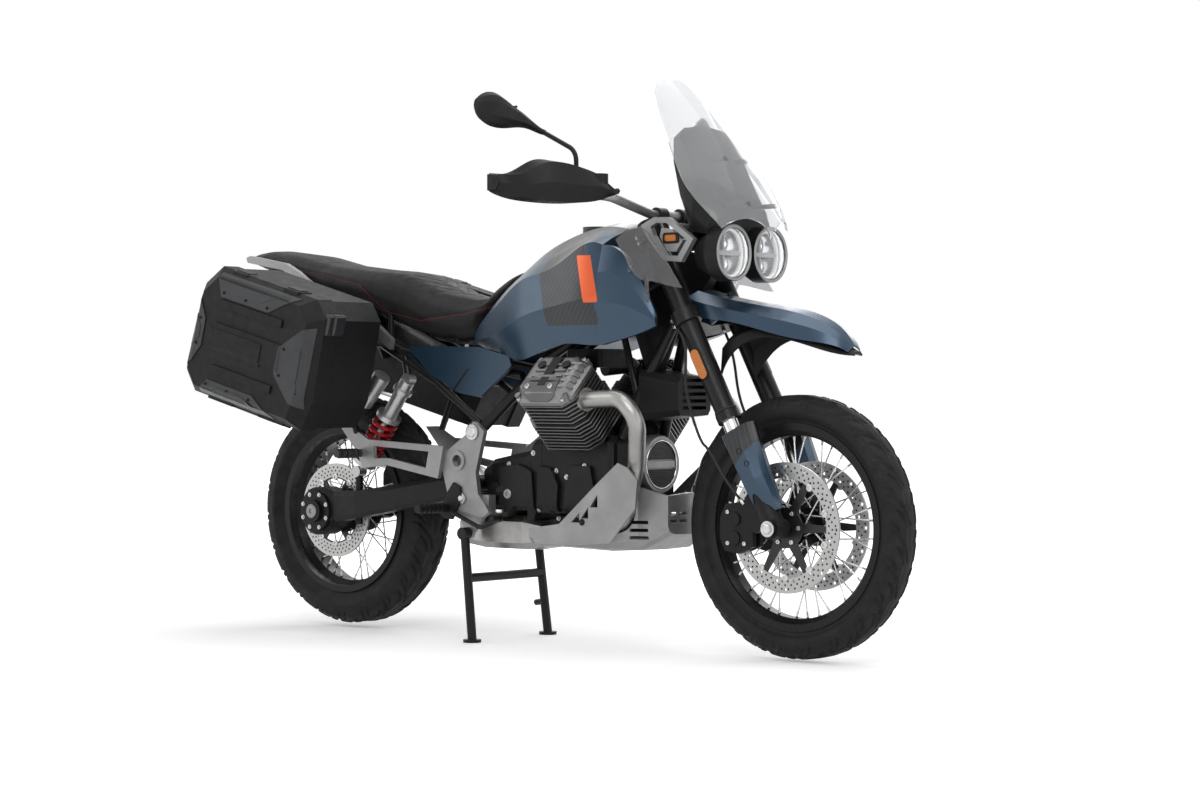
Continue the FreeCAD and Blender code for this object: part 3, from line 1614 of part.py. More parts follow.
def fork_leg_places(low, high):
    return [
        (fork_point(s.ForkOffset, side * s.ForkLegSpread, low), fork_point(s.ForkOffset, side * s.ForkLegSpread, high))
        for side in SIDES.values()
    ]


def fork_yokes():
    """Two clamped yokes on a stem that turns in the head tube, with the risers of the handlebar."""
    pieces = []
    half = s.YokeThick * HALF
    for middle in (s.LowerYokeHeight, s.UpperYokeHeight):
        low = middle - half
        high = middle + half
        for leg_low, leg_high in fork_leg_places(low, high):
            pieces.append(rod(leg_low, leg_high, s.ForkTubeRadius + s.YokeRing))
        pieces.append(rod(fork_point(0, 0, low), fork_point(0, 0, high), s.YokeStemBoss))
        outline = []
        for ahead, side in YOKE_OUTLINE_SHARES:
            outline.append(fork_point(s.ForkOffset * ahead, s.ForkLegSpread * side, low))
        way = fork_point(0, 0, high) - fork_point(0, 0, low)
        pieces.append(prism(outline, way))
    top = s.UpperYokeHeight + half
    pieces.append(rod(fork_point(0, 0, s.LowerYokeHeight), fork_point(0, 0, top + s.StemNutHeight), s.StemRadius))
    pieces.append(rod(fork_point(0, 0, top), fork_point(0, 0, top + s.StemNutHeight), s.StemNutRadius))
    bar = Vector(float(along(s.BarStation)), 0, float(s.BarHeight))
    for side in SIDES.values():
        foot = fork_point(s.ForkOffset, side * s.BarClampSpread, top - half)
        head = bar + Vector(0, side * float(s.BarClampSpread), 0)
        pieces.append(rod(foot, head, s.RiserRadius))
        across = Vector(0, float(s.ClampHalfWidth), 0)
        pieces.append(rod(head - across, head + across, s.BarRadius + s.ClampWall))
    yokes = join(pieces)
    over = float(s.ForkLegSpread)
    for leg_low, leg_high in fork_leg_places(s.LowerYokeHeight - s.YokeThick, s.UpperYokeHeight + s.YokeThick):
        yokes = yokes.cut(rod(leg_low, leg_high, s.ForkTubeRadius))
    yokes = yokes.cut(rod(bar - Vector(0, over, 0), bar + Vector(0, over, 0), s.BarRadius))
    return add_feature("fork_yokes", yokes, steering_base())


YOKE_OUTLINE_SHARES = [
    (-0.6, -0.25), (-0.25, -0.62), (0.22, -1.1), (1.75, -1.05), (1.2, -0.6), (0.8, 0),
    (1.2, 0.6), (1.75, 1.05), (0.22, 1.1), (-0.25, 0.62), (-0.6, 0.25),
]


def fork_tubes():
    """The black outer tubes with their caps."""
    pieces = []
    cap = s.ForkTubeTop + s.ForkCapHeight
    bore_radius = s.SliderRadius + s.SeatGap
    for low, high in fork_leg_places(s.ForkTubeLow, s.ForkTubeTop):
        pieces.append(rod(low, high, s.ForkTubeRadius).cut(rod(low, high, bore_radius)))
    tops = fork_leg_places(s.ForkTubeTop, cap)
    seals = fork_leg_places(s.ForkTubeLow, s.ForkTubeLow + s.SealHeight)
    shells = []
    for tube_shape, (low, high), (seal_low, seal_high) in zip(pieces, tops, seals):
        seal = rod(seal_low, seal_high, s.ForkTubeRadius + s.SealStep)
        seal = seal.cut(rod(seal_low, seal_high, bore_radius))
        shells.append(join([tube_shape, rod(low, high, s.ForkTubeRadius - s.SealStep), seal]))
    return add_feature("fork_tubes", group(shells), steering_base())


def fork_sliders():
    """The chromed lower tubes."""
    bars = [rod(low, high, s.SliderRadius) for low, high in fork_leg_places(s.CarrierLugTop, s.SliderTop)]
    return add_feature("fork_sliders", group(bars), steering_base())


def axle_carriers():
    """Cast feet that hold the calipers, and the axle fixed through them with its nut and flanged head."""
    feet = []
    axle = point(front_axle())
    for side in SIDES.values():
        low = fork_point(s.ForkOffset, side * s.ForkLegSpread, 0)
        high = fork_point(s.ForkOffset, side * s.ForkLegSpread, s.CarrierLugTop)
        inner = axle + Vector(0, side * float(s.ForkLegSpread - s.CarrierBossHalf), 0)
        outer = axle + Vector(0, side * float(s.ForkLegSpread + s.CarrierBossHalf), 0)
        lug = [fork_point(s.ForkOffset + s.CarrierLugRadius * a, side * s.ForkLegSpread, s.CarrierLugTop * b)
               for a, b in CARRIER_LUG_SHARES]
        for place in lug:
            place.y = side * float(s.FrontDiscSpread + s.CaliperThickHalf)
        lug_plate = prism(lug, Vector(0, side * float(s.CarrierLugThick), 0))
        foot = join([rod(low, high, s.CarrierLugRadius), rod(inner, outer, s.CarrierBossRadius), lug_plate])
        over = Vector(0, float(s.CutOverrun), 0)
        feet.append(foot.cut(rod(inner - over * side, outer + over * side, s.AxleRadius)))
    return add_feature("axle_carriers", join(feet + [axle_bar()]), front_axle())


CARRIER_LUG_SHARES = [(0, 0.1), (-2.3, 0.15), (-2.9, 0.45), (-2.6, 0.8), (-1.2, 1.0), (0, 1.0)]


def axle_bar():
    axle = point(front_axle())
    reach = Vector(0, float(s.ForkLegSpread + s.CarrierBossHalf), 0)
    nut = Vector(0, float(s.AxleNutThick), 0)
    pieces = [rod(axle - reach - nut, axle + reach + nut, s.AxleRadius)]
    pieces.append(rod(axle - reach - nut, axle - reach, s.AxleNutRadius))
    pieces.append(rod(axle + reach, axle + reach + nut, s.AxleNutRadius))
    return join(pieces)


def fork_guards():
    """Curved shields before the chromed tubes; each wraps round the front of its leg."""
    wires = []
    for up, ahead, wide in FORK_GUARD_SHARES:
        height = s.GuardFootHeight + (s.GuardTopHeight - s.GuardFootHeight) * up
        places = []
        for reach, wall in ((1, 0), (-1, 1)):
            wrap = GUARD_WRAP_SHARES if reach > 0 else list(reversed(GUARD_WRAP_SHARES))
            for front, side in wrap:
                lx = s.ForkOffset + s.GuardAhead * (ahead * front) - s.GuardWall * wall
                ly = s.ForkLegSpread + (s.ForkGuardHalf * wide - s.GuardWall * wall) * side
                places.append(fork_point(lx, ly, height))
        wires.append(polygon(places))
    guard = Part.makeLoft(wires, True, True)
    low, high = fork_leg_places(0, s.ForkTubeTop)[1]
    guard = guard.cut(rod(low, high, s.ForkTubeRadius + s.SealStep + s.SeatGap))
    lug = rod(fork_point(s.ForkOffset, s.ForkLegSpread, s.GuardFootHeight * 2),
              fork_point(s.ForkOffset + s.GuardAhead, s.ForkLegSpread, s.GuardFootHeight * 2), s.MudguardPost)
    lug = lug.cut(rod(low, fork_point(s.ForkOffset, s.ForkLegSpread, s.CarrierLugTop), s.CarrierLugRadius))
    return add_feature("fork_guards", group(both(join([guard, lug]))), front_axle())


FORK_GUARD_SHARES = [(0, 0.98, 0.45), (0.14, 1.06, 0.8), (0.4, 1.1, 1.0), (0.8, 1.35, 1.0), (1, 1.5, 0.92)]
GUARD_WRAP_SHARES = [(-0.3, 1.0), (0.45, 1.0), (0.88, 0.62), (1.0, 0), (0.88, -0.62), (0.3, -0.95)]


def front_mudguard():
    """The high beak: an open shell that tapers to its tip, with a raised keel."""
    region = Region("Beak")
    shell = loft_body(region, BEAK_SHARES, smooth=False)
    for low, high in fork_leg_places(s.ForkTubeLow, s.ForkTubeTop):
        shell = shell.cut(rod(low, high, s.ForkTubeRadius + s.SeatGap))
    turning_space = rod(fork_point(0, 0, s.LowerYokeHeight), fork_point(0, 0, s.UpperYokeHeight), s.BeakTurningRadius)
    shell = fitted(shell.cut(turning_space), "fork_yokes")
    yoke = fork_point(s.ForkOffset * HALF, 0, s.LowerYokeHeight)
    post = rod(yoke, region.at(*BEAK_MOUNT_SHARES), s.StemRadius)
    post = post.cut(node_shape("fork_yokes"))
    post = group([max(post.Solids, key=lambda solid: solid.BoundBox.XMax)])
    return add_feature("front_mudguard", join([shell, post]), region.anchor())


BEAK_MOUNT_SHARES = (0.24, 0, 0.81)


def front_mudguard_liner():
    """The dark lower shell under the beak."""
    region = Region("Liner")
    shell = loft_body(region, LINER_SHARES, smooth=False)
    beak = node_shape("front_mudguard")
    posts = []
    for ahead in LINER_POST_SHARES:
        foot = region.at(ahead, 0, LINER_POST_UP_SHARE)
        posts.append(rod(foot, foot + Z_AXIS * float(region.height * HALF), s.MudguardPost))
    whole = join([shell] + posts)
    for low, high in fork_leg_places(s.ForkTubeLow, s.ForkTubeTop):
        whole = whole.cut(rod(low, high, s.ForkTubeRadius + s.SeatGap))
    whole = whole.cut(beak)
    whole = largest(whole)
    return add_feature("front_mudguard_liner", whole, region.anchor())


LINER_POST_SHARES = [0.22, 0.62]
LINER_POST_UP_SHARE = 0.86


def bar_places(side):
    """The run of the handlebar from the middle to one end."""
    spots = [
        (s.BarStation, as_size(0), s.BarHeight),
        (s.BarStation, s.BarCentreHalf, s.BarHeight),
        (s.BarBendStation, s.BarBendHalf, s.BarHeight + s.BarRise),
        (s.BarEndStation, s.BarEndHalf, s.BarEndHeight),
    ]
    return [Vector(float(along(x)), side * float(y), float(z)) for x, y, z in spots]


def handlebar():
    """A tapered bar bent up and back, with rubber grips and end weights."""
    left = bar_places(1)
    right = bar_places(-1)
    path = list(reversed(right))[:-1] + left[1:]
    bar = tube(path, s.BarRadius, s.BarBendRadius)
    return add_feature("handlebar", bar, (along(s.BarStation), as_size(0), s.BarHeight))


def bar_way(side):
    places = bar_places(side)
    way = places[-1] - places[-2]
    return places[-1], way.normalize()


def grips():
    """Rubber sleeves with collars, and the weights at the bar ends."""
    pieces = []
    for side in SIDES.values():
        end, way = bar_way(side)
        start = end - way * float(s.GripLength)
        sleeve = rod(start, end, s.GripRadius)
        collar = rod(start, start + way * float(s.GripCollarLength), s.GripRadius + s.GripCollarStep)
        weight = rod(end, end + way * float(s.BarWeightLength), s.BarWeightRadius)
        core = rod(start - way * float(s.CutOverrun), end, s.BarRadius)
        pieces.append(join([sleeve, collar]).cut(core))
        pieces.append(weight)
    return pieces


def master_cylinder(side, gap=0):
    """The lever pivot with the master cylinder and the reservoir on it, grown by a gap."""
    end, way = bar_way(side)
    perch = end - way * float(s.GripLength + s.SwitchLength + s.PerchLength * HALF + s.SeatGap * 2)
    pivot = perch + X_AXIS * float(s.LeverReach)
    cylinder_end = pivot - way * float(s.MasterLength)
    pot_foot = (pivot + cylinder_end) * HALF
    cylinder = rod(pivot, cylinder_end - way * float(gap), s.PerchRadius + gap)
    pot = rod(pot_foot, pot_foot + Z_AXIS * float(s.ReservoirHeight), s.ReservoirRadius + gap)
    return pivot, [cylinder, pot]


def hand_controls():
    """Grips, switch housings, levers with their perches and the brake and clutch reservoirs."""
    pieces = grips()
    for side in SIDES.values():
        end, way = bar_way(side)
        inner = end - way * float(s.GripLength + s.SeatGap)
        housing_end = inner - way * float(s.SwitchLength)
        housing = rod(housing_end, inner, s.SwitchRadius)
        perch_start = housing_end - way * float(s.SeatGap)
        perch_end = perch_start - way * float(s.PerchLength)
        clamp = rod(perch_end, perch_start, s.BarRadius + s.ClampWall)
        lever_pivot, master = master_cylinder(side)
        arm = rod(lever_pivot - X_AXIS * float(s.LeverReach), lever_pivot, s.PerchRadius)
        lever_tip = end + X_AXIS * float(s.LeverReach) - way * float(s.LeverTipShort)
        lever_knee = lever_pivot + way * float(s.LeverKnee) + X_AXIS * float(s.LeverKneeAhead)
        lever = tube([lever_pivot, lever_knee, lever_tip], s.LeverRadius, s.LeverBend)
        solid = join([clamp, arm, lever] + master)
        core = rod(perch_end - way * float(s.CutOverrun), inner + way * float(s.CutOverrun), s.BarRadius)
        pieces.append(fitted(solid.cut(core), "handlebar"))
        pieces.append(fitted(housing.cut(core), "handlebar"))
    return add_feature("hand_controls", group(pieces), (along(s.BarBendStation), as_size(0), s.BarEndHeight))


def hand_guards():
    """Curved shells before the grips, each bolted to its bar end."""
    region = Region("HandGuard")
    shell = loft_across(region, HAND_GUARD_SHARES)
    side, outline = HAND_GUARD_SHARES[-1]
    rim = [region.at(ahead, side, up) for ahead, up in outline[:len(outline) // 2]]
    cap = prism(rim, Vector(0, float(s.GuardCapThick), 0))
    end, way = bar_way(1)
    for space in master_cylinder(1, s.PotGap)[1]:
        shell = shell.cut(space)
    shell = largest(shell)
    start = end + way * float(s.BarWeightLength)
    bolt = rod(start, start + way * float(s.GuardBoltLength + s.GuardCapThick), s.BarRadius)
    return add_feature("hand_guards", group(both(join([shell, cap, bolt]))), region.anchor())


def mirrors():
    """Teardrop heads on bent stems that rise from the perches."""
    region = Region("Mirror")
    wires = []
    for side, ahead, up, thick, tall in MIRROR_SHARES:
        places = []
        for across, rise in MIRROR_RING_SHARES:
            places.append(region.at(ahead + thick * across, side, up + tall * rise))
        wires.append(polygon(places))
    head = Part.makeLoft(wires, True, False)
    foot = Vector(float(along(s.MirrorFootStation)), float(s.MirrorFootSide), float(s.MirrorFootHeight))
    knee = Vector(float(along(s.MirrorKneeStation)), float(s.MirrorKneeSide), float(s.MirrorKneeHeight))
    neck = region.at(*MIRROR_NECK_SHARES)
    stem = tube([foot, knee, neck], s.MirrorStemRadius, s.MirrorStemBend)
    pair = both(join([head, stem]))
    perches = node_shape("hand_controls")
    trimmed = []
    for one in pair:
        trimmed.append(largest(one.cut(perches)))
    return add_feature("mirrors", group(trimmed), region.anchor())


MIRROR_RING_SHARES = [
    (-1, 0), (-0.9, 0.45), (-0.6, 0.82), (0, 1), (0.6, 0.8), (1, 0.4), (1, -0.4), (0.6, -0.8), (0, -1),
    (-0.6, -0.82), (-0.9, -0.45),
]


def front_calipers():
    """Radial calipers that straddle the discs and bolt to the lugs of the carriers."""
    region = Region("Caliper")
    outline = [region.at(a, 0, c) for a, c in CALIPER_SHARES]
    inner = float(s.FrontDiscSpread - s.CaliperThickHalf)
    outer = float(s.FrontDiscSpread + s.CaliperThickHalf)
    for place in outline:
        place.y = inner
    block_shape = prism(outline, Vector(0, outer - inner, 0))
    axle = point(front_axle())
    gap = float(s.DiscThick * HALF + s.MovingClearance)
    spread = float(s.FrontDiscSpread)
    slot = rod(axle + Vector(0, spread - gap, 0), axle + Vector(0, spread + gap, 0), s.FrontDiscRadius + s.MovingClearance)
    body = block_shape.cut(slot)
    for share in CALIPER_PISTON_SHARES:
        centre = region.at(CALIPER_PISTON_AHEAD_SHARE, 0, share)
        centre.y = outer
        body = body.fuse(rod(centre, centre + Vector(0, float(s.PistonCapThick), 0), s.PistonCapRadius))
    body = body.removeSplitter()
    body = body.cut(node_shape("axle_carriers"))
    body = largest(body)
    return add_feature("front_calipers", group(both(body)), region.anchor())


CALIPER_PISTON_SHARES = [0.3, 0.66]
CALIPER_PISTON_AHEAD_SHARE = 0.45


# Frame

def spot(name):
    """A named place of the chassis, on the left side."""
    return Vector(float(along(s[name + "Station"])), float(s[name + "Side"]), float(s[name + "Height"]))


def inward(place, share):
    return Vector(place.x, place.y * share, place.z)


def head_tube_places():
    low = s.LowerYokeHeight + s.YokeThick * HALF + s.HeadTubeGap
    high = s.UpperYokeHeight - s.YokeThick * HALF - s.HeadTubeGap
    return low, high


def frame_tube(names, radius, bend):
    return tube([spot(name) for name in names], radius, bend)


def main_frame():
    """The head tube with two main tubes, two down tubes and their cross braces."""
    low, high = head_tube_places()
    bottom = fork_point(0, 0, low)
    top = fork_point(0, 0, high)
    pieces = [rod(bottom, top, s.HeadTubeRadius)]
    for shape in (
        frame_tube(("MainHead", "MainKnee", "MainWaist", "MainFoot"), s.FrameTubeRadius, s.FrameBend),
        frame_tube(("DownHead", "DownKnee", "DownFoot"), s.FrameTubeRadius, s.FrameBend),
        frame_tube(("MainKnee", "DownKnee"), s.BraceRadius, s.FrameBend),
    ):
        pieces += both(shape)
    for name in ("MainKnee", "MainWaist", "DownKnee"):
        place = spot(name)
        pieces.append(rod(inward(place, -1), place, s.BraceRadius))
    gusset = [spot("MainHead"), spot("MainKnee"), spot("DownKnee"), spot("DownHead")]
    for place in gusset:
        place.y = -float(s.GussetThick) * HALF
    pieces.append(prism(gusset, Vector(0, float(s.GussetThick), 0)))
    bracket = [fork_point(s.LampBracketRoot, 0, low + (high - low) * share) for share in LAMP_BRACKET_ROOT_SHARES]
    front = Region("Lamp")
    bracket += [front.at(0, 0, share) for share in LAMP_BRACKET_FRONT_SHARES]
    half = float(s.LampBracketHalf)
    for place in bracket:
        place.y = -half
    pieces.append(prism(bracket, Vector(0, 2 * half, 0)))
    frame = join(pieces)
    over = s.CutOverrun
    frame = frame.cut(rod(fork_point(0, 0, low - over), fork_point(0, 0, high + over),
                          s.StemRadius + s.RunningClearance))
    frame = fitted(frame, "engine_case", "cylinders", "cylinder_heads")
    return add_feature("main_frame", frame, (along(s.MainWaistStation), as_size(0), s.MainWaistHeight))


LAMP_BRACKET_ROOT_SHARES = [0.15, 0.75]
LAMP_BRACKET_FRONT_SHARES = [0.62, 0.34]


def rear_subframe():
    """Seat tubes with their struts and cross tubes."""
    pieces = []
    for shape in (
        frame_tube(("SeatTubeFront", "SeatTubeWaist", "SeatTubeRear"), s.SubframeRadius, s.FrameBend),
        frame_tube(("StrutFoot", "StrutTop"), s.StrutRadius, s.FrameBend),
        frame_tube(("StrutMiddle", "SeatTubeMiddle"), s.BraceRadius, s.FrameBend),
    ):
        pieces += both(shape)
    for name in ("SeatTubeWaist", "SeatTubeRear", "SeatTubeMiddle", "StrutMiddle"):
        place = spot(name)
        pieces.append(rod(inward(place, -1), place, s.BraceRadius))
    waist = spot("SeatTubeWaist")
    tail = spot("SeatTubeRear")
    for share in SEAT_POST_SHARES:
        foot = waist + (tail - waist) * share
        post = rod(foot, foot + Z_AXIS * float(s.SeatPostReach), s.SeatPostRadius).cut(node_shape("seat"))
        pieces += both(min(post.Solids, key=lambda solid: solid.BoundBox.ZMin))
    for share in RAIL_CLEAT_SHARES:
        foot = waist + (tail - waist) * share[0]
        rail = region_point("Rail", share[1], 1, share[2])
        cleat = rod(foot, rail, s.SeatPostRadius).cut(node_shape("seat")).cut(node_shape("grab_rails"))
        pieces += both(min(cleat.Solids, key=lambda solid: solid.BoundBox.ZMin))
    top = spot("ShockTop")
    strut = spot("StrutTop")
    for clevis in (rod(inward(strut, -1), top, s.SubframeRadius),):
        eye_half = Vector(0, float(s.ShockEyeHalf), 0)
        pieces.append(clevis.cut(rod(top - eye_half, top + eye_half, s.ShockEyeRadius)))
    whole = fitted(join(pieces), "main_frame")
    return add_feature("rear_subframe", whole, (along(s.SeatTubeWaistStation), as_size(0),
                                                       s.SeatTubeWaistHeight))


def region_point(name, ahead, side, up):
    return Region(name).at(ahead, side, up)


SEAT_POST_SHARES = [0.12, 0.5, 0.94]
RAIL_CLEAT_SHARES = [(0.06, 0.98, 0.03), (0.96, 0.3, 0.86)]


def pivot_plates():
    """Cast plates that carry the swingarm, the footrests and the stand lugs."""
    region = Region("Plate")
    inner = region.half
    outer = inner + s.PlateThick
    plate = side_plate(region, PLATE_SHARES, inner, outer)
    plate = round_edges(plate, s.PlateCorner, Y_AXIS)
    way = Vector(0, float(outer + s.BossStep), 0)
    cuts = []
    for ahead, up, radius in PLATE_HOLE_SHARES:
        centre = region.at(ahead, 0, up)
        boss = rod(centre + Vector(0, float(inner), 0), centre + way, s.PlateThick * radius * 1.7)
        plate = plate.fuse(boss)
        cuts.append(rod(centre, centre + way * 2, s.PlateThick * radius))
    for cut in cuts:
        plate = plate.cut(cut)
    pivot = spot("StandPivot")
    lug_outline = [region.at(a, 0, c) for a, c in PLATE_LUG_SHARES]
    lug_outline += [pivot + Vector(float(s.StandLugRadius) * a, -pivot.y, float(s.StandLugRadius) * c)
                    for a, c in LUG_END_SHARES]
    for place in lug_outline:
        place.y = float(s.StandLugInner)
    lug = prism(lug_outline, Vector(0, float(s.StandLugOuter - s.StandLugInner), 0))
    bridge_outline = [region.at(a, 0, c) for a, c in PLATE_BRIDGE_SHARES]
    for place in bridge_outline:
        place.y = float(s.StandLugInner)
    bridge = prism(bridge_outline, Vector(0, float(inner - s.StandLugInner), 0))
    bolt_hole = rod(pivot - Vector(0, pivot.y, 0), pivot + Vector(0, pivot.y, 0), s.StandPinRadius)
    lug = lug.cut(bolt_hole)
    plate = join([plate, lug, bridge])
    return add_feature("pivot_plates", group(both(plate)), region.anchor())


PLATE_HOLE_SHARES = [(0.64, 0.86, 0.9), (0.34, 0.574, 1.1), (0.43, 0.2, 0.6)]
PLATE_LUG_SHARES = [(0.9, 0.16), (0.2, 0.16)]
LUG_END_SHARES = [(-1, 0), (-0.7, -0.7), (0, -1), (0.7, -0.7), (1, 0)]
PLATE_BRIDGE_SHARES = [(0.9, 0.04), (0.9, 0.24), (0.2, 0.24), (0.2, 0.04)]


# Engine

def crank(station):
    return Vector(float(along(station)), 0, float(s.CrankHeight))


def box_loft(sections):
    """A casting through rounded box sections across the machine."""
    wires = []
    for station, half, low, high, cut in sections:
        x = float(along(station))
        half = float(half)
        low = float(low)
        high = float(high)
        cut = float(cut)
        places = [
            Vector(x, -half + cut, low), Vector(x, half - cut, low), Vector(x, half, low + cut),
            Vector(x, half, high - cut), Vector(x, half - cut, high), Vector(x, -half + cut, high),
            Vector(x, -half, high - cut), Vector(x, -half, low + cut),
        ]
        wires.append(polygon(places))
    return Part.makeLoft(wires, True, True)


def engine_case():
    """Crankcase, bell housing and gearbox in one casting, with ribs, a sump and a filler boss."""
    z = s.CrankHeight
    sections = []
    for share, half, low, high in CASE_SHARES:
        sections.append((
            s.CaseRear + s.CaseLength * share,
            s.CaseHalf * half,
            z - s.CaseDrop * low,
            z + s.CaseRise * high,
            s.CaseCorner,
        ))
    pieces = [box_loft(sections)]
    for share in CASE_RIB_SHARES:
        station = s.CaseRear + s.CaseLength * share
        pieces.append(box_loft([
            (station - s.CaseRib, s.CaseHalf * RIB_HALF_SHARE, z - s.CaseDrop * RIB_LOW_SHARE,
             z + s.CaseRise * RIB_HIGH_SHARE, s.CaseCorner),
            (station + s.CaseRib, s.CaseHalf * RIB_HALF_SHARE, z - s.CaseDrop * RIB_LOW_SHARE,
             z + s.CaseRise * RIB_HIGH_SHARE, s.CaseCorner),
        ]))
    for angle in (-1, 1):
        for station in (s.RightCylinderStation if angle < 0 else s.LeftCylinderStation,):
            foot = crank(station)
            way = cylinder_way(angle)
            pieces.append(rod(foot, foot + way * float(s.CylinderFoot), s.BoreRadius + s.CylinderWall))
    filler = Vector(float(along(s.FillerStation)), 0, float(s.FillerHeight))
    for side in SIDES.values():
        pieces.append(rod(filler, filler + Vector(0, side * float(s.CaseHalf), 0), s.FillerRadius))
    case = join(pieces)
    low = Vector(float(along(s.SumpRear)), -float(s.SumpHalf), float(s.CrankHeight - s.SumpDrop))
    high = Vector(float(along(s.SumpRear + s.SumpLength)), float(s.SumpHalf), float(s.CrankHeight))
    case = join([case, round_edges(block(low, high), s.CaseCorner, X_AXIS)])
    case = join([case, side_stand_lug(case)])
    return add_feature("engine_case", case, (along(s.CaseRear), as_size(0), s.CrankHeight))


CASE_SHARES = [
    (0, 0.7, 0.42, -0.16), (0.09, 0.87, 0.98, 0.1), (0.38, 1.0, 0.97, 0.46), (0.41, 1.04, 1.0, 0.84),
    (0.54, 1.0, 1.0, 1.0), (0.9, 1.0, 0.98, 1.0), (1.0, 0.8, 0.74, 0.9),
]
CASE_RIB_SHARES = [0.46, 0.94]
RIB_HALF_SHARE = 1.03
RIB_LOW_SHARE = 1.02
RIB_HIGH_SHARE = 1.02


def cylinder_way(side):
    lean = math.radians(float(s.CylinderLean))
    return Vector(0, side * math.sin(lean), math.cos(lean))


def front_engine_cover():
    """The round alternator cover with its ribbed face and polished ring."""
    body = new_body("front_engine_cover")
    depth = s.FrontCoverDepth
    radius = s.FrontCoverRadius
    corners = [
        (as_size(0), as_size(0)),
        (radius, as_size(0)),
        (radius, depth * 0.7),
        (radius * 0.95, depth),
        (radius * 0.84, depth),
        (radius * 0.8, depth * 0.8),
        (radius * 0.3, depth * 0.86),
        (as_size(0), depth * 0.86),
    ]
    add_revolution(body, "front_cover_turning", corners)
    rib = [
        (radius * -0.7, depth * 0.5), (radius * 0.7, depth * 0.5), (radius * 0.7, depth * 0.9),
        (radius * -0.7, depth * 0.9),
    ]
    add_pad(body, "front_cover_rib", s.FrontCoverRib, outlines=[(rib, None)], role="XY_Plane")
    front = along(s.CaseRear + s.CaseLength)
    bind_place(body, (front, as_size(0), s.CrankHeight), as_size(-QUARTER_TURN), Z_AXIS)
    return keep(body, "front_engine_cover")


def fin_outline(grow, reach):
    half_x = s.CylinderHalfLength * reach
    half_y = s.CylinderHalfWidth * reach
    return [
        (-half_x + grow, -half_y), (half_x - grow, -half_y), (half_x, -half_y + grow), (half_x, half_y - grow),
        (half_x - grow, half_y), (-half_x + grow, half_y), (-half_x, half_y - grow), (-half_x, -half_y + grow),
    ]


def finned(label, start, count, pitch, outlines, station_size, side, core):
    """A finned block in its own frame: the bore runs along Z from the crank."""
    body = new_body(label)
    core_outline, core_length = core
    add_pad(body, label + "_core", core_length, outlines=[(core_outline, None)], role="XY_Plane",
            offset=start, middle=False)
    fin = add_pad(body, label + "_fin", s.FinThick, outlines=[(outlines, None)], role="XY_Plane",
                  offset=start + pitch * HALF, middle=False)
    document.recompute()
    axis = [item for item in body.Origin.OriginFeatures if item.Role == "Z_Axis"][0]
    pattern = body.newObject("PartDesign::LinearPattern", label + "_fins")
    pattern.Originals = [fin]
    pattern.Direction = (axis, [""])
    pattern.Occurrences = int(float(count))
    pattern.setExpression("Length", (pitch * (count - 1)).formula)
    body.Tip = pattern
    bind_place(body, (along(station_size), as_size(0), s.CrankHeight), -side * s.CylinderLean, X_AXIS)
    return body


def cylinder_pair(label, start, count, reach, core_reach, length):
    """The same finned block on both banks."""
    pitch = length / count
    core = (fin_outline(s.FinCorner * core_reach, core_reach), length)
    blocks = []
    for name, side in SIDES.items():
        station = s.RightCylinderStation if side < 0 else s.LeftCylinderStation
        blocks.append(finned(f"{label}_{name}_bank", start, count, pitch, fin_outline(s.FinCorner, reach),
                             station, side, core))
    pair = document.addObject("Part::Compound", label)
    pair.Links = blocks
    return keep(pair, label)


def cylinders():
    return cylinder_pair("cylinders", s.CylinderFoot, s.BarrelFinCount, 1, BARREL_CORE_SHARE, s.BarrelLength)


def cylinder_heads():
    return cylinder_pair("cylinder_heads", s.CylinderFoot + s.BarrelLength, s.HeadFinCount, HEAD_REACH_SHARE,
                         HEAD_CORE_SHARE, s.HeadLength)


BARREL_CORE_SHARE = 0.74
HEAD_REACH_SHARE = 0.95
HEAD_CORE_SHARE = 0.8


def valve_covers():
    """Domed covers with a raised centre and bolt bosses, on the outer face of each head."""
    pieces = []
    for side in SIDES.values():
        station = s.RightCylinderStation if side < 0 else s.LeftCylinderStation
        foot = float(s.CylinderFoot + s.BarrelLength + s.HeadLength)
        wires = []
        for up, reach in VALVE_COVER_SHARES:
            outline = fin_outline(s.CoverCorner * reach, HEAD_REACH_SHARE * reach)
            height = foot + float(s.CoverHeight) * up
            wires.append(polygon([Vector(float(a), float(b), height) for a, b in outline]))
        cover = Part.makeLoft(wires, True, True)
        for ahead, across in COVER_BOLT_SHARES:
            centre = Vector(float(s.CylinderHalfLength) * ahead, float(s.CylinderHalfWidth) * across, foot)
            boss = rod(centre, centre + Z_AXIS * float(s.CoverHeight * COVER_BOSS_SHARE), s.CoverBossRadius)
            cover = cover.fuse(boss)
        for across in COVER_RIB_SHARES:
            half = float(s.CylinderHalfLength) * COVER_RIB_LENGTH_SHARE
            low = Vector(-half, float(s.CylinderHalfWidth) * across - float(s.FinThick), foot)
            high = Vector(half, float(s.CylinderHalfWidth) * across + float(s.FinThick),
                          foot + float(s.CoverHeight) * COVER_RIB_HEIGHT_SHARE)
            cover = cover.fuse(block(low, high))
        cover = cover.removeSplitter()
        turn = Placement(crank(station), Rotation(X_AXIS, -side * float(s.CylinderLean)))
        pieces.append(moved(cover, turn))
    return add_feature("valve_covers", group(pieces), (along(s.RightCylinderStation), as_size(0), s.CrankHeight))


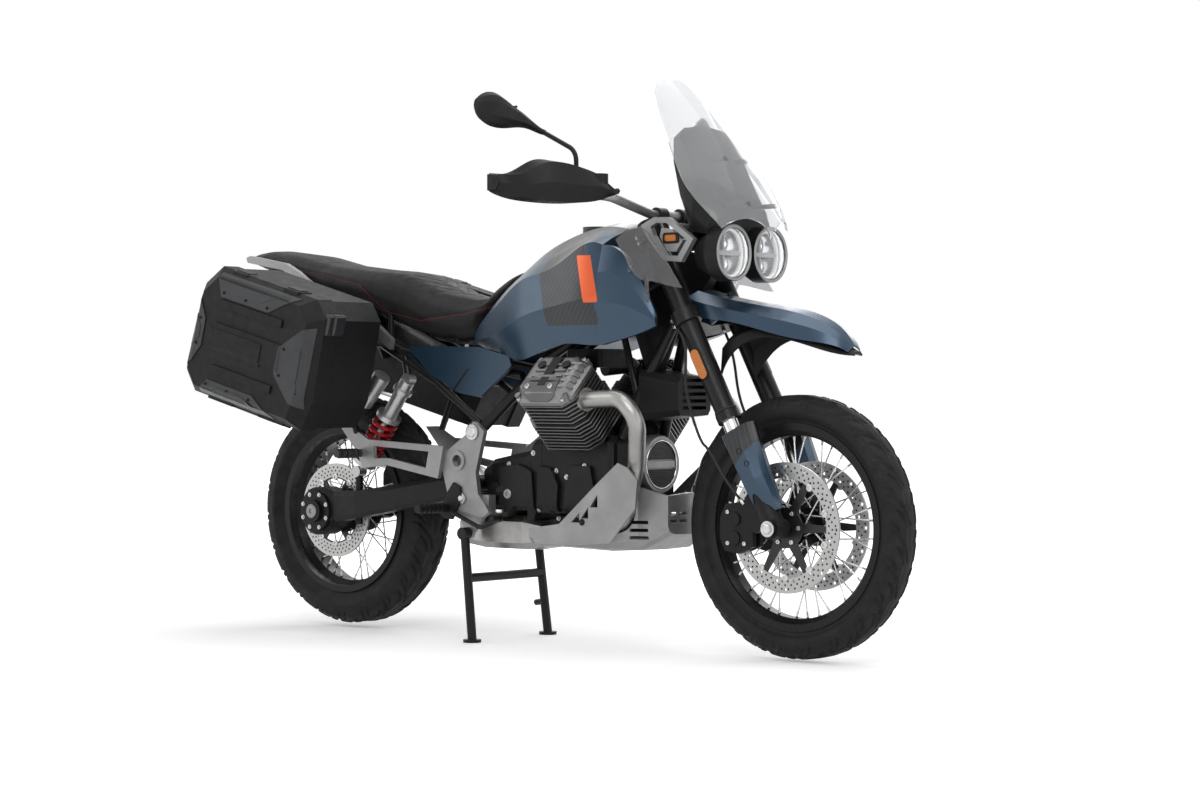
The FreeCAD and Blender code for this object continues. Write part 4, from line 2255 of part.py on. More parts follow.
VALVE_COVER_SHARES = [(0, 1), (0.28, 1), (0.45, 0.9), (0.9, 0.8), (1, 0.7)]
COVER_BOLT_SHARES = [(0.8, 0.72), (-0.8, 0.72), (0.8, -0.72), (-0.8, -0.72)]
COVER_BOSS_SHARE = 0.6
COVER_RIB_SHARES = [-0.36, -0.12, 0.12, 0.36]
COVER_RIB_LENGTH_SHARE = 0.5
COVER_RIB_HEIGHT_SHARE = 1.1


def intakes():
    """Throttle bodies and ducts from the inner side of each head to the air box under the tank."""
    pieces = []
    for side in SIDES.values():
        station = s.RightCylinderStation if side < 0 else s.LeftCylinderStation
        head = float(s.CylinderFoot + s.BarrelLength + s.HeadLength * HALF)
        port = crank(station) + cylinder_way(side) * head
        inward_way = Vector(0, -side * math.cos(math.radians(float(s.CylinderLean))),
                            math.sin(math.radians(float(s.CylinderLean))))
        reach = float(s.CylinderHalfWidth * HEAD_REACH_SHARE)
        start = port + inward_way * reach - X_AXIS * float(s.IntakeBack)
        end = start + inward_way * float(s.IntakeLength)
        box = Vector(float(along(s.AirBoxStation)), side * float(s.AirBoxHalf * HALF), float(s.AirBoxBase))
        duct = tube([start, end, box], s.IntakeRadius, s.IntakeRadius * 1.5)
        collar = rod(start + inward_way * float(s.IntakeCollar), start + inward_way * float(s.IntakeCollar * 2),
                     s.IntakeRadius + s.IntakeCollarStep)
        pieces.append(join([duct, collar]))
    low = Vector(float(along(s.AirBoxStation - s.AirBoxReach)), -float(s.AirBoxHalf), float(s.AirBoxBase))
    high = Vector(float(along(s.AirBoxStation + s.AirBoxReach)), float(s.AirBoxHalf), float(s.AirBoxTop))
    box = round_edges(block(low, high), s.AirBoxCorner, Z_AXIS)
    whole = fitted(join([box] + pieces), "main_frame")
    return add_feature("intakes", whole, (along(s.AirBoxStation), as_size(0), s.AirBoxBase))


# Exhaust

def exhaust_headers():
    """Two pipes that bend from the front of the heads down and back to the collector box."""
    pieces = []
    for side in SIDES.values():
        station = s.RightCylinderStation if side < 0 else s.LeftCylinderStation
        port = along(station + s.CylinderHalfLength * HEAD_REACH_SHARE)
        places = [Vector(float(port), float(s.PortFlangeSide), float(s.PortFlangeHeight))]
        places += [spot(name) for name in HEADER_PLACES]
        places = [Vector(p.x, side * p.y, p.z) for p in places]
        pipe = tube(places, s.HeaderRadius, s.HeaderBend)
        way = (places[1] - places[0]).normalize()
        flange = rod(places[0], places[0] + way * float(s.PortFlangeThick), s.HeaderRadius + s.PortFlangeStep)
        pieces.append(fitted(join([pipe, flange]), "engine_case", "cylinder_heads"))
    return add_feature("exhaust_headers", group(pieces), (along(s.HeaderFootStation), as_size(0), s.HeaderFootHeight))


HEADER_PLACES = ["HeaderCrown", "HeaderShoulder", "HeaderShin", "HeaderHeel", "HeaderSole", "HeaderFoot"]


def exhaust_box():
    """The collector under the gearbox, its outlet pipe and the silencer on the left."""
    region = Region("Collector")
    box = loft_body(region, COLLECTOR_SHARES, smooth=False, ruled=True)
    outlet = tube([spot(name) for name in ("OutletRoot", "OutletBend", "OutletKnee", "OutletEnd")],
                  s.OutletRadius, s.OutletBendRadius)
    headers = node_shape("exhaust_headers")
    return add_feature("exhaust_box", join([join([box, outlet]).cut(headers), silencer()]), region.anchor())


def silencer():
    """An oval can with a stepped end cap, a strap and an open tail pipe."""
    start = spot("OutletEnd")
    end = spot("SilencerTail")
    way = (end - start).normalize()
    length = (end - start).Length
    pieces = []
    for first, last, reach in SILENCER_SHARES:
        low = start + way * (length * first)
        high = start + way * (length * last)
        pieces.append(rod(low, high, s.SilencerRadius * reach))
    cone = tapered(start + way * (length * SILENCER_CONE_SHARE[0]), start + way * (length * SILENCER_CONE_SHARE[1]),
                   s.OutletRadius, s.SilencerRadius)
    can = join(pieces + [cone])
    bore = rod(end - way * float(s.SilencerRadius), end + way * float(s.CutOverrun), s.SilencerRadius * TAIL_PIPE_SHARE)
    hanger_top = spot("SilencerHanger")
    middle = start + way * (length * SILENCER_HANGER_SHARE)
    hanger = rod(middle, hanger_top, s.HangerRadius)
    return join([can, hanger]).cut(bore)


SILENCER_SHARES = [(0.14, 0.95, 1.0), (0.2, 0.24, 1.04), (0.9, 1.0, 0.86), (0.56, 0.6, 1.04)]
SILENCER_CONE_SHARE = [0.0, 0.16]
SILENCER_HANGER_SHARE = 0.58
TAIL_PIPE_SHARE = 0.42


def skid_plate():
    """A dished pan with slots, between cast side shields."""
    region = Region("Skid")
    outer = loft_body(region, SKID_SHARES, smooth=False, ruled=True)
    inner = loft_body(region, SKID_INNER_SHARES, smooth=False, ruled=True)
    pan = outer.cut(inner)
    for back, front, inner_side, outer_side, ups in SKID_SLOT_SHARES:
        for up in ups:
            for side in SIDES.values():
                low = region.at(back, side * inner_side, up)
                high = region.at(front, side * outer_side, up + SKID_SLOT_TALL_SHARE)
                pan = pan.cut(block(low, high))
    for side in SIDES.values():
        places = [spot(name) for name in HEADER_PLACES]
        places = [Vector(p.x, side * p.y, p.z) for p in places]
        pan = pan.cut(tube(places, s.HeaderRadius + s.SkidPipeGap, s.HeaderBend))
    foot = Vector(float(along(s.SumpRear + s.SumpLength * HALF)), 0, float(s.CrankHeight - s.SumpDrop))
    for side in SIDES.values():
        head = foot + Vector(0, side * float(s.SumpHalf * HALF), 0)
        post = rod(head - Z_AXIS * float(s.SumpHalf), head, s.SkidPostRadius)
        pan = pan.fuse(max(post.cut(inner_below(outer)).Solids, key=lambda solid: solid.BoundBox.ZMax))
    pan = largest(pan.removeSplitter())
    return add_feature("skid_plate", join([pan] + side_shields()), region.anchor())


def inner_below(outer):
    """The space below a shell, down from its lowest face."""
    box = outer.BoundBox
    low = box.ZMin + float(s.SkidPostRadius) * HALF
    return block(Vector(box.XMin, box.YMin, low - box.ZLength), Vector(box.XMax, box.YMax, low))


SKID_SLOT_SHARES = [
    (0.76, 0.87, 0.45, 0.78, [0.405, 0.3, 0.2]), (0.92, 1.04, 0.28, 0.45, [0.42, 0.52]),
    (0.92, 1.04, 0.07, 0.24, [0.42, 0.52]),
]
SKID_SLOT_TALL_SHARE = 0.045


def side_shields():
    """Angular cast shields beside the crankcase, each with three open vents."""
    region = Region("Shield")
    plate = side_plate(region, SHIELD_SHARES, region.half, region.half + s.ShieldThick)
    for vent in SHIELD_VENT_SHARES:
        cut = side_plate(region, vent, region.half - s.CutOverrun, region.half + s.ShieldThick + s.CutOverrun)
        plate = plate.cut(cut)
    return both(plate)


SHIELD_VENT_SHARES = [
    [(0.4, 0.3), (0.476, 0.41), (0.476, 0.3)],
    [(0.492, 0.35), (0.556, 0.48), (0.556, 0.35)],
    [(0.572, 0.48), (0.64, 0.63), (0.64, 0.48)],
]


# Bodywork

def fuel_tank():
    """The tank: a creased crest, hollow flanks, a tunnel for the frame and the round filler cap."""
    region = Region("Tank")
    tank = loft_body(region, TANK_SHARES, smooth=False)
    tunnel = loft_body(region, TANK_TUNNEL_SHARES, smooth=False, ruled=True)
    tank = tank.cut(tunnel)
    foot = region.at(*FILLER_SHARES)
    cap = rod(foot, foot + Z_AXIS * float(s.FillerCapHeight), s.FillerCapRadius)
    return add_feature("fuel_tank", join([tank, cap]), region.anchor())


def tank_shrouds():
    """Panels that carry the tank's flanks forward past the fork."""
    region = Region("Shroud")
    return add_feature("tank_shrouds", group(both(loft_side(region, SHROUD_SHARES))), region.anchor())


def side_panels():
    region = Region("SidePanel")
    plate = side_plate(region, SIDE_PANEL_SHARES, region.half, region.half + s.PanelThick)
    panel = fitted(round_edges(plate, s.PanelCorner, Y_AXIS), "rear_subframe")
    return add_feature("side_panels", group(both(panel)), region.anchor())


def seat():
    """The stepped two-place seat; its upholstery is plain here."""
    region = Region("Seat")
    cushion = loft_body(region, SEAT_SHARES, smooth=False, ruled=True)
    nose = loft_body(region, SEAT_NOSE_SHARES, smooth=False, ruled=True)
    whole = largest(join([cushion, nose]).cut(node_shape("fuel_tank")))
    return add_feature("seat", whole, region.anchor())


def grab_rails():
    """Cast rails along both sides of the seat, joined behind it."""
    region = Region("Rail")
    plate = side_plate(region, RAIL_SHARES, region.half, region.half + s.RailThick)
    return add_feature("grab_rails", group(both(plate)), region.anchor())


def rear_mudguard():
    """The inner mudguard, the arm of the number plate and the rear lights."""
    region = Region("RearGuard")
    shell = loft_body(region, REAR_GUARD_SHARES, smooth=False)
    holder = Region("PlateHolder")
    arm = loft_body(holder, PLATE_HOLDER_SHARES, smooth=False, ruled=True)
    for side in SIDES.values():
        hole = holder.at(0, side * s.PlateHoleSpread.value / holder.half.value, PLATE_HOLE_UP_SHARE)
        arm = arm.cut(rod(hole, hole + X_AXIS * float(holder.length), s.PlateHoleRadius))
    whole = largest(join([shell, arm] + rear_lights()).cut(node_shape("rear_subframe")))
    return add_feature("rear_mudguard", whole, region.anchor())


PLATE_HOLE_UP_SHARE = 0.2


def rear_lights():
    """The tail lamp and the rear indicators on their stalks."""
    region = Region("TailLamp")
    lamp = loft_body(region, TAIL_LAMP_SHARES, smooth=False, ruled=True)
    root = spot("RearIndicatorRoot")
    tip = spot("RearIndicatorTip")
    stalk = rod(root, tip, s.IndicatorStalk)
    back = X_AXIS * float(s.IndicatorDepth)
    lens = tapered(tip + back, tip - back, s.IndicatorRadius, s.IndicatorRadius * INDICATOR_TAPER_SHARE)
    return [lamp] + both(join([stalk, lens]))


INDICATOR_TAPER_SHARE = 0.7


def lamp_ends(side):
    """The middle of the back and of the front of a lamp."""
    region = Region("Lamp")
    across = side * s.LampSpread.value / region.half.value
    return region.at(0, across, HALF), region.at(1, across, HALF)


def headlamps():
    """Two round lamps: a tapered shell and a bezel round the sunk face of the glass."""
    region = Region("Lamp")
    pieces = []
    for side in SIDES.values():
        back, front = lamp_ends(side)
        way = front - back
        shell = tapered(back, back + way * LAMP_SHELL_SHARE, s.LampRadius * LAMP_BACK_SHARE, s.LampRadius)
        ring = rod(back + way * LAMP_SHELL_SHARE, front, s.LampRadius)
        recess = rod(back + way * LAMP_GLASS_SHARE, front, s.LampRadius - s.BezelWidth)
        pieces.append(join([shell, ring]).cut(recess))
    return add_feature("headlamps", group(pieces), region.anchor())


LAMP_SHELL_SHARE = 0.55
LAMP_BACK_SHARE = 0.6
LAMP_GLASS_SHARE = 0.95


def front_cowl():
    """The carrier behind the screen with the instrument display and the lamp tray."""
    region = Region("Cowl")
    shell = loft_body(region, COWL_SHARES, smooth=False, ruled=True)
    posts = []
    for ahead, side, up in SCREEN_POST_SHARES:
        foot = region.at(ahead, side, up)
        for place in (foot, Vector(foot.x, -foot.y, foot.z)):
            posts.append(rod(place, place + X_AXIS * float(region.length), s.ScreenPostRadius))
    posts = [max(post.cut(node_shape("windscreen")).Solids, key=lambda solid: -solid.BoundBox.XMin) for post in posts]
    shell = join([shell] + posts)
    for side in SIDES.values():
        shell = shell.cut(rod(*lamp_ends(side), s.LampRadius))
    shell = largest(shell.cut(node_shape("main_frame")).cut(node_shape("windscreen")))
    return add_feature("front_cowl", shell, region.anchor())


SCREEN_POST_SHARES = [(0.75, 0.4, 0.46), (0.35, 0.36, 0.76)]


def windscreen():
    """A tall screen, blown to a double curve, of one thickness."""
    wires = []
    thick = s.ScreenThick
    for up, ahead, half, sweep in SCREEN_SHARES:
        height = float(s.ScreenBase + s.ScreenHeight * up)
        outer = []
        inner = []
        for side, back in SCREEN_BOW_SHARES:
            x = float(along(s.ScreenRear + s.ScreenLength * ahead - s.ScreenLength * (sweep * back)))
            y = float(s.ScreenHalf * (half * side))
            outer.append(Vector(x, y, height))
            inner.append(Vector(x - float(thick), y * (1 - SCREEN_INNER_SHARE), height))
        ends = [Part.makeLine(outer[-1], inner[-1]), Part.makeLine(inner[0], outer[0])]
        outer_curve = Part.BSplineCurve()
        outer_curve.interpolate(outer)
        inner_curve = Part.BSplineCurve()
        inner_curve.interpolate(list(reversed(inner)))
        wires.append(Part.Wire([outer_curve.toShape(), ends[0], inner_curve.toShape(), ends[1]]))
    shape = Part.makeLoft(wires, True, False)
    for side in SIDES.values():
        back, front = lamp_ends(side)
        shape = shape.cut(rod(back, back + (front - back) * 2, s.LampRadius + s.ScreenLampGap))
    return add_feature("windscreen", largest(shape), (along(s.ScreenRear), as_size(0), s.ScreenBase))


SCREEN_INNER_SHARE = 0.02


def wind_deflectors():
    """Smoked plates before the shrouds, each on two posts."""
    region = Region("Deflector")
    plate = side_plate(region, DEFLECTOR_SHARES, region.half, region.half + s.DeflectorThick)
    pieces = [plate]
    for root, tip in DEFLECTOR_POST_SHARES:
        post = rod(region.at(*root), region.at(*tip), s.DeflectorPost).cut(node_shape("tank_shrouds"))
        pieces.append(max(post.Solids, key=lambda solid: solid.BoundBox.YMax))
    return add_feature("wind_deflectors", group(both(join(pieces))), region.anchor())


def lamp_guards():
    """Angular cast frames with arms to the cowl, each with its indicator in the middle."""
    region = Region("Guard")
    outer = side_plate(region, GUARD_SHARES, region.half, region.half + s.GuardThick)
    inner = side_plate(region, GUARD_HOLE_SHARES, region.half - s.CutOverrun,
                       region.half + s.GuardThick + s.CutOverrun)
    foot = region.at(*GUARD_ARM_SHARES)
    arm = rod(Vector(foot.x, 0, foot.z), foot, s.GuardArmRadius).cut(node_shape("front_cowl"))
    arm = max(arm.Solids, key=lambda solid: solid.BoundBox.YMax)
    guard = join([outer.cut(inner), arm])
    return add_feature("lamp_guards", group(both(join([guard, front_indicator()]))), region.anchor())


def front_indicator():
    """The wedge lens on its stalk to the rim of the guard."""
    region = Region("Guard")
    lens = side_plate(region, FRONT_INDICATOR_SHARES, region.half, region.half + s.IndicatorThick)
    back, front = [region.at(*shares) for shares in INDICATOR_STALK_SHARES]
    stalk = rod(back, front, s.IndicatorStalk * HALF)
    return join([lens, stalk])


GUARD_ARM_SHARES = (0.612, 1.04, 0.79)
INDICATOR_STALK_SHARES = [(0.7, 1.04, 0.5), (0.92, 1.04, 0.5)]


def oil_cooler():
    """The ribbed black shroud before the down tubes, with its louvres."""
    region = Region("Cooler")
    body = loft_body(region, COOLER_SHARES, smooth=False, ruled=True)
    for up in COOLER_SLOT_SHARES:
        low = region.at(COOLER_SLOT_BACK_SHARE, -COOLER_SLOT_HALF_SHARE, up)
        high = region.at(1.2, COOLER_SLOT_HALF_SHARE, up + COOLER_SLOT_TALL_SHARE)
        body = body.cut(block(low, high))
    body = largest(body.cut(node_shape("main_frame")))
    return add_feature("oil_cooler", body, region.anchor())


COOLER_SLOT_SHARES = [0.24, 0.36, 0.48, 0.6, 0.72]
COOLER_SLOT_BACK_SHARE = 0.8
COOLER_SLOT_HALF_SHARE = 0.6
COOLER_SLOT_TALL_SHARE = 0.06


# Rear end

def swingarm():
    """The shaft arm right, a beam left with the caliper on it, and the bridge that joins them."""
    region = Region("Arm")
    right = loft_side(region, ARM_RIGHT_SHARES, ruled=True)
    left = loft_side(region, ARM_LEFT_SHARES, ruled=True)
    bridge = loft_side(region, ARM_BRIDGE_SHARES, ruled=True)
    axle = point(rear_axle())
    side_in = float(s.RearHubHalf + s.DiscThick + s.ArmDiscGap)
    eye = rod(axle + Vector(0, side_in, 0), axle + Vector(0, side_in + float(s.ArmEyeLength), 0), s.ArmEyeRadius)
    lug_top = spot("ShockFoot")
    lug_foot = Vector(lug_top.x, lug_top.y, float(region.base))
    lug = rod(lug_foot, lug_top, s.ShockLugRadius)
    arm = join([right, left, bridge, eye, lug])
    pivot = Vector(float(along(s.ArmPivotStation)), 0, float(s.ArmPivotHeight))
    reach = Vector(0, float(s.PlateHalf - s.SeatGap), 0)
    tube_shape = rod(pivot - reach, pivot + reach, s.ArmPivotRadius)
    arm = join([arm, tube_shape])
    tyre_space = rod(axle - Vector(0, float(s.RearTyreWidth * HALF + s.MovingClearance), 0),
                     axle + Vector(0, float(s.RearTyreWidth * HALF + s.MovingClearance), 0),
                     s.RearTyreRadius + s.MovingClearance)
    arm = arm.cut(tyre_space)
    reach = Vector(0, float(s.PlateHalf), 0)
    arm = arm.cut(rod(axle - reach, axle + reach, s.AxleRadius))
    eye_half = Vector(0, float(s.ShockEyeHalf), 0)
    arm = arm.cut(rod(lug_top - eye_half, lug_top + eye_half, s.ShockEyeRadius))
    arm = fitted(arm, "pivot_plates")
    return add_feature("swingarm", join([arm, rear_caliper(arm)]), region.anchor())


def final_drive():
    """The bevel housing with its ribs and cap, and the rear axle fixed in it."""
    axle = point(rear_axle())
    inner = float(s.RearHubHalf + s.DriveGap)
    pieces = []
    for first, last, radius in DRIVE_SHARES:
        low = axle - Vector(0, inner + float(s.DriveDepth) * first, 0)
        high = axle - Vector(0, inner + float(s.DriveDepth) * last, 0)
        pieces.append(rod(low, high, s.DriveRadius * radius))
    region = Region("DriveNose")
    pieces.append(loft_side(region, DRIVE_NOSE_SHARES, ruled=True))
    left_end = Vector(0, float(s.RearHubHalf + s.DiscThick + s.ArmDiscGap + s.ArmEyeLength + s.AxleNutThick), 0)
    left_face = Vector(0, float(s.RearHubHalf + s.DiscThick + s.ArmDiscGap + s.ArmEyeLength), 0)
    pieces.append(rod(axle - Vector(0, inner, 0), axle + left_end, s.AxleRadius))
    pieces.append(rod(axle + left_face, axle + left_end, s.AxleNutRadius))
    drive = join(pieces)
    arm = node_shape("swingarm")
    drive = drive.cut(arm)
    return add_feature("final_drive", group([largest(drive)]), rear_axle())


DRIVE_SHARES = [(0, 0.2, 0.72), (0.12, 0.74, 1.0), (0.74, 0.88, 0.84), (0.88, 1.0, 0.46)]


def rear_caliper(arm):
    """The caliper that straddles the rear disc on the left arm."""
    region = Region("RearCaliper")
    outline = [region.at(a, 0, c) for a, c in CALIPER_SHARES]
    disc_middle = s.RearHubHalf + s.DiscThick * HALF
    for place in outline:
        place.y = float(disc_middle - region.half)
    body = prism(outline, Vector(0, 2 * float(region.half), 0)).cut(arm)
    axle = point(rear_axle())
    gap = float(s.DiscThick * HALF + s.MovingClearance)
    spread = float(disc_middle)
    slot = rod(axle + Vector(0, spread - gap, 0), axle + Vector(0, spread + gap, 0),
               s.RearDiscRadius + s.MovingClearance)
    return largest(body.cut(slot))


def shock():
    """The damper with its reservoir, and its coil spring as a node of its own."""
    top = spot("ShockTop")
    foot = spot("ShockFoot")
    way = (foot - top).normalize()
    length = (foot - top).Length
    pieces = []
    for first, last, radius in SHOCK_SHARES:
        pieces.append(rod(top + way * (length * first), top + way * (length * last), s.ShockRadius * radius))
    for place in (top, foot):
        half = Vector(0, float(s.ShockEyeHalf), 0)
        pieces.append(rod(place - half, place + half, s.ShockEyeRadius))
    head = spot("ReservoirTop")
    base = spot("ReservoirFoot")
    pieces.append(rod(head, base, s.ReservoirCanRadius))
    pieces.append(rod((head + base) * HALF, top + way * (length * SHOCK_HOSE_SHARE), s.HangerRadius))
    damper = join(pieces)
    margin = float(s.SpringWire + s.SeatGap)
    start = top + way * (length * SPRING_SHARES[0] + margin)
    span = length * (SPRING_SHARES[1] - SPRING_SHARES[0]) - 2 * margin
    coil = coil_spring(Placement(start, Rotation(Z_AXIS, way)), span)
    add_feature("shock_absorber", damper, (along(s.ShockTopStation), s.ShockTopSide, s.ShockTopHeight))
    return add_feature("shock_spring", coil, (along(s.ShockTopStation), s.ShockTopSide, s.ShockTopHeight))


def coil_spring(placement, length):
    """A coil of short runs with an eight-sided section."""
    steps = int(float(s.SpringTurns)) * SPRING_STEPS
    wires = []
    for step in range(steps + 1):
        angle = 2 * math.pi * step / SPRING_STEPS
        radial = Vector(math.cos(angle), math.sin(angle), 0)
        ring = []
        for corner in range(SPRING_SIDES):
            swing = 2 * math.pi * corner / SPRING_SIDES
            reach = float(s.SpringRadius) + float(s.SpringWire) * math.cos(swing)
            rise = length * step / steps + float(s.SpringWire) * math.sin(swing)
            ring.append(placement.multVec(radial * reach + Z_AXIS * rise))
        wires.append(polygon(ring))
    return Part.makeLoft(wires, True, True)


SPRING_STEPS = 12
SPRING_SIDES = 8
SHOCK_SHARES = [(0.02, 0.42, 1.0), (0.1, 0.14, 1.35), (0.38, 0.42, 1.75), (0.4, 0.97, 0.42), (0.86, 0.9, 1.75)]
SPRING_SHARES = [0.42, 0.86]
SHOCK_HOSE_SHARE = 0.2


def rider_footrests():
    """Ribbed rests on hinged brackets, with the brake pedal right and the gear lever left."""
    root = spot("RiderPegRoot")
    tip = spot("RiderPegTip")
    plate = Region("RiderBracket")
    bracket = side_plate(plate, RIDER_BRACKET_SHARES, plate.half, plate.half + s.PlateThick * HALF)
    peg = rod(root, tip, s.PegRadius)
    way = (tip - root).normalize()
    rings = []
    for number in range(int(float(s.PegRibCount))):
        place = root + (tip - root) * ((number + 1) / (float(s.PegRibCount) + 1))
        rings.append(rod(place, place + way * float(s.PegRib), s.PegRadius + s.PegRib))
    rest = join([peg, bracket] + rings)
    pedal_root = spot("PedalRoot")
    pedal_knee = spot("PedalKnee")
    pedal_tip = spot("PedalTip")
    pedal = tube([pedal_root, pedal_knee, pedal_tip], s.PedalRadius, s.PedalBend)
    pad = rod(pedal_tip, pedal_tip + Vector(0, float(s.PedalPadLength), 0), s.PedalRadius * PEDAL_PAD_SHARE)
    whole = fitted(join([rest, pedal, pad]), "pivot_plates")
    return add_feature("rider_footrests", group(both(whole)), (along(s.RiderPegRootStation), as_size(0),
                                                              s.RiderPegRootHeight))


PEDAL_PAD_SHARE = 1.4


def passenger_footrests():
    """Cast arms with lightening holes and ribbed rests."""
    region = Region("Passenger")
    plate = side_plate(region, PASSENGER_SHARES, region.half, region.half + s.PassengerThick)
    window = side_plate(region, PASSENGER_HOLE_SHARES, region.half - s.CutOverrun,
                        region.half + s.PassengerThick + s.CutOverrun)
    plate = plate.cut(window)
    root = region.at(*PASSENGER_PEG_SHARES)
    root.y = float(region.half + s.PassengerThick * HALF)
    tip = root + Vector(0, float(s.PassengerPegLength), 0)
    rings = [rod(root, tip, s.PegRadius)]
    for number in range(int(float(s.PegRibCount))):
        place = root + (tip - root) * ((number + 2) / (float(s.PegRibCount) + 2))
        rings.append(rod(place, place + Vector(0, float(s.PegRib), 0), s.PegRadius + s.PegRib))
    whole = join([plate] + rings)
    arms = [fitted(arm, "exhaust_box") for arm in both(whole)]
    return add_feature("passenger_footrests", group(arms), region.anchor())


# Stands

def centre_stand():
    """Two splayed legs with feet, a cross tube, a tread and pivot eyes outside the stand lugs."""
    pivot = spot("StandPivot")
    foot = spot("StandFoot")
    way = foot - pivot
    eye_in = float(s.StandLugOuter + s.SeatGap)
    eye_out = eye_in + float(s.StandEyeLength)
    eye = rod(Vector(pivot.x, eye_in, pivot.z), Vector(pivot.x, eye_out, pivot.z), s.StandLugRadius)
    top = Vector(pivot.x, (eye_in + eye_out) * HALF, pivot.z)
    leg = rod(top, foot, s.StandLegRadius)
    sole = Vector(0, 0, float(s.StandFootPad))
    pad_low = Vector(foot.x, foot.y, 0)
    pad = rod(pad_low, pad_low + sole, s.StandPadRadius)
    cross_at = top + (foot - top) * STAND_CROSS_SHARE
    cross = rod(Vector(cross_at.x, -cross_at.y, cross_at.z), cross_at, s.StandLegRadius)
    pin = rod(Vector(pivot.x, float(s.StandLugInner), pivot.z), Vector(pivot.x, eye_out, pivot.z),
              s.StandPinRadius - s.RunningClearance)
    tread_root = top + (foot - top) * STAND_TREAD_SHARE
    tread_tip = tread_root + Vector(-float(s.StandTreadBack), float(s.StandTreadOut), -float(s.StandTreadDrop))
    tread = rod(tread_root, tread_tip, s.StandLegRadius * TREAD_SHARE)
    half = join([eye, leg, pad, pin])
    stand = join([half, mirrored(half), cross, tread])
    return add_feature("centre_stand", stand, (along(s.StandPivotStation), as_size(0), s.StandPivotHeight))


STAND_CROSS_SHARE = 0.42
STAND_TREAD_SHARE = 0.7
TREAD_SHARE = 0.7


def side_stand_way():
    """The axis that the side stand turns about; its tilt swings the foot outward as it comes down."""
    splay = math.radians(float(s.SideSplay))
    return Vector(0, math.cos(splay), math.sin(splay))


def side_stand():
    """A leg with a broad foot, folded back along the left side."""
    pivot = spot("SidePivot")
    foot = spot("SideFoot")
    way = side_stand_way()
    eye = rod(pivot - way * float(s.SideEyeHalf), pivot + way * float(s.SideEyeHalf), s.SideEyeRadius)
    leg = rod(pivot, foot, s.SideLegRadius)
    sole = rod(foot - X_AXIS * float(s.SideSoleThick), foot, s.SideSoleHalf)
    reach = float(s.SideEyeHalf + s.SeatGap + s.SideLugThick)
    pin = rod(pivot - way * reach, pivot, s.StandPinRadius - s.RunningClearance)
    return add_feature("side_stand", join([eye, leg, sole, pin]),
                       (along(s.SidePivotStation), s.SidePivotSide, s.SidePivotHeight))


def side_stand_lug(case):
    """The lug on the left of the engine that the side stand turns in, shaped to the casting."""
    pivot = spot("SidePivot")
    region = Region("SideLug")
    way = side_stand_way()
    outer_face = pivot - way * float(s.SideEyeHalf + s.SeatGap)
    inner_face = outer_face - way * float(s.SideLugThick)
    boss = rod(inner_face, outer_face, s.SideEyeRadius)
    arm = []
    for ahead, side, up in SIDE_ARM_SHARES:
        arm.append(region.at(ahead, side, up))
    root = prism(arm, Vector(0, -float(region.half * SIDE_ARM_REACH_SHARE), 0))
    drop = rod(region.at(*SIDE_DROP_SHARES), (inner_face + outer_face) * HALF, s.SideLugThick)
    lug = join([root, drop, boss])
    hole = rod(inner_face - way * float(s.CutOverrun), pivot, s.StandPinRadius)
    above = rod(outer_face, outer_face + way * float(s.SideEyeHalf * 2), s.SideEyeRadius + s.SeatGap)
    return largest(lug.cut(hole).cut(above).cut(case))


SIDE_ARM_SHARES = [(0.15, 0.99, 0.62), (0.85, 0.99, 0.62), (0.85, 0.99, 0.95), (0.15, 0.99, 0.95)]
SIDE_ARM_REACH_SHARE = 0.35
SIDE_DROP_SHARES = (0.4, 0.93, 0.8)


# Luggage

def case_placement():
    base = Vector(float(along(s.BagStation)), 0, float(s.BagHeight))
    return Placement(base, Rotation(Y_AXIS, float(s.BagTilt)))


def case_outline(wall, reach=1):
    """The outline of a case, moved in by a wall and scaled about its middle for a bevel."""
    half_length = float(s.BagHalfLength) - float(wall)
    half_height = float(s.BagHalfHeight) - float(wall)
    return [(half_length * a * reach, half_height * c * reach) for a, c in BAG_SHARES]


def case_prism(wall, first, last, reach=1, reach_last=None):
    """A prism or taper of the case outline between two distances from the middle plane, in its own frame."""
    wires = []
    for across, scale in ((first, reach), (last, reach if reach_last is None else reach_last)):
        wires.append(polygon([Vector(a, float(across), c) for a, c in case_outline(wall, scale)]))
    return Part.makeLoft(wires, True, True)


def hinge_edge():
    """The height of the bottom edge of the case, in its own frame."""
    return (s.BagHalfHeight + s.BagBand) * min(up for ahead, up in BAG_SHARES)


def hinge_barrels(first_share, last_share, radius):
    """A length of the hinge along the bottom edge of the case."""
    half = float(s.BagHalfLength) * BAG_HINGE_SHARE
    centre_y = float(s.BagSeam)
    centre_z = float(hinge_edge() - s.HingeRadius - s.SeatGap)
    start = Vector(half * first_share, centre_y, centre_z)
    end = Vector(half * last_share, centre_y, centre_z)
    return rod(start, end, radius)


def hinge_leaf(first_share, last_share, low, high):
    half = float(s.BagHalfLength) * BAG_HINGE_SHARE
    edge = float(hinge_edge())
    reach = float(s.HingeRadius)
    return block(Vector(half * first_share, float(low), edge - reach), Vector(half * last_share, float(high), edge))


BAG_HINGE_SHARE = 0.7
HINGE_SHELL_SHARES = [(-0.3, 0.3)]
HINGE_LID_SHARES = [(-0.9, -0.31), (0.31, 0.9)]


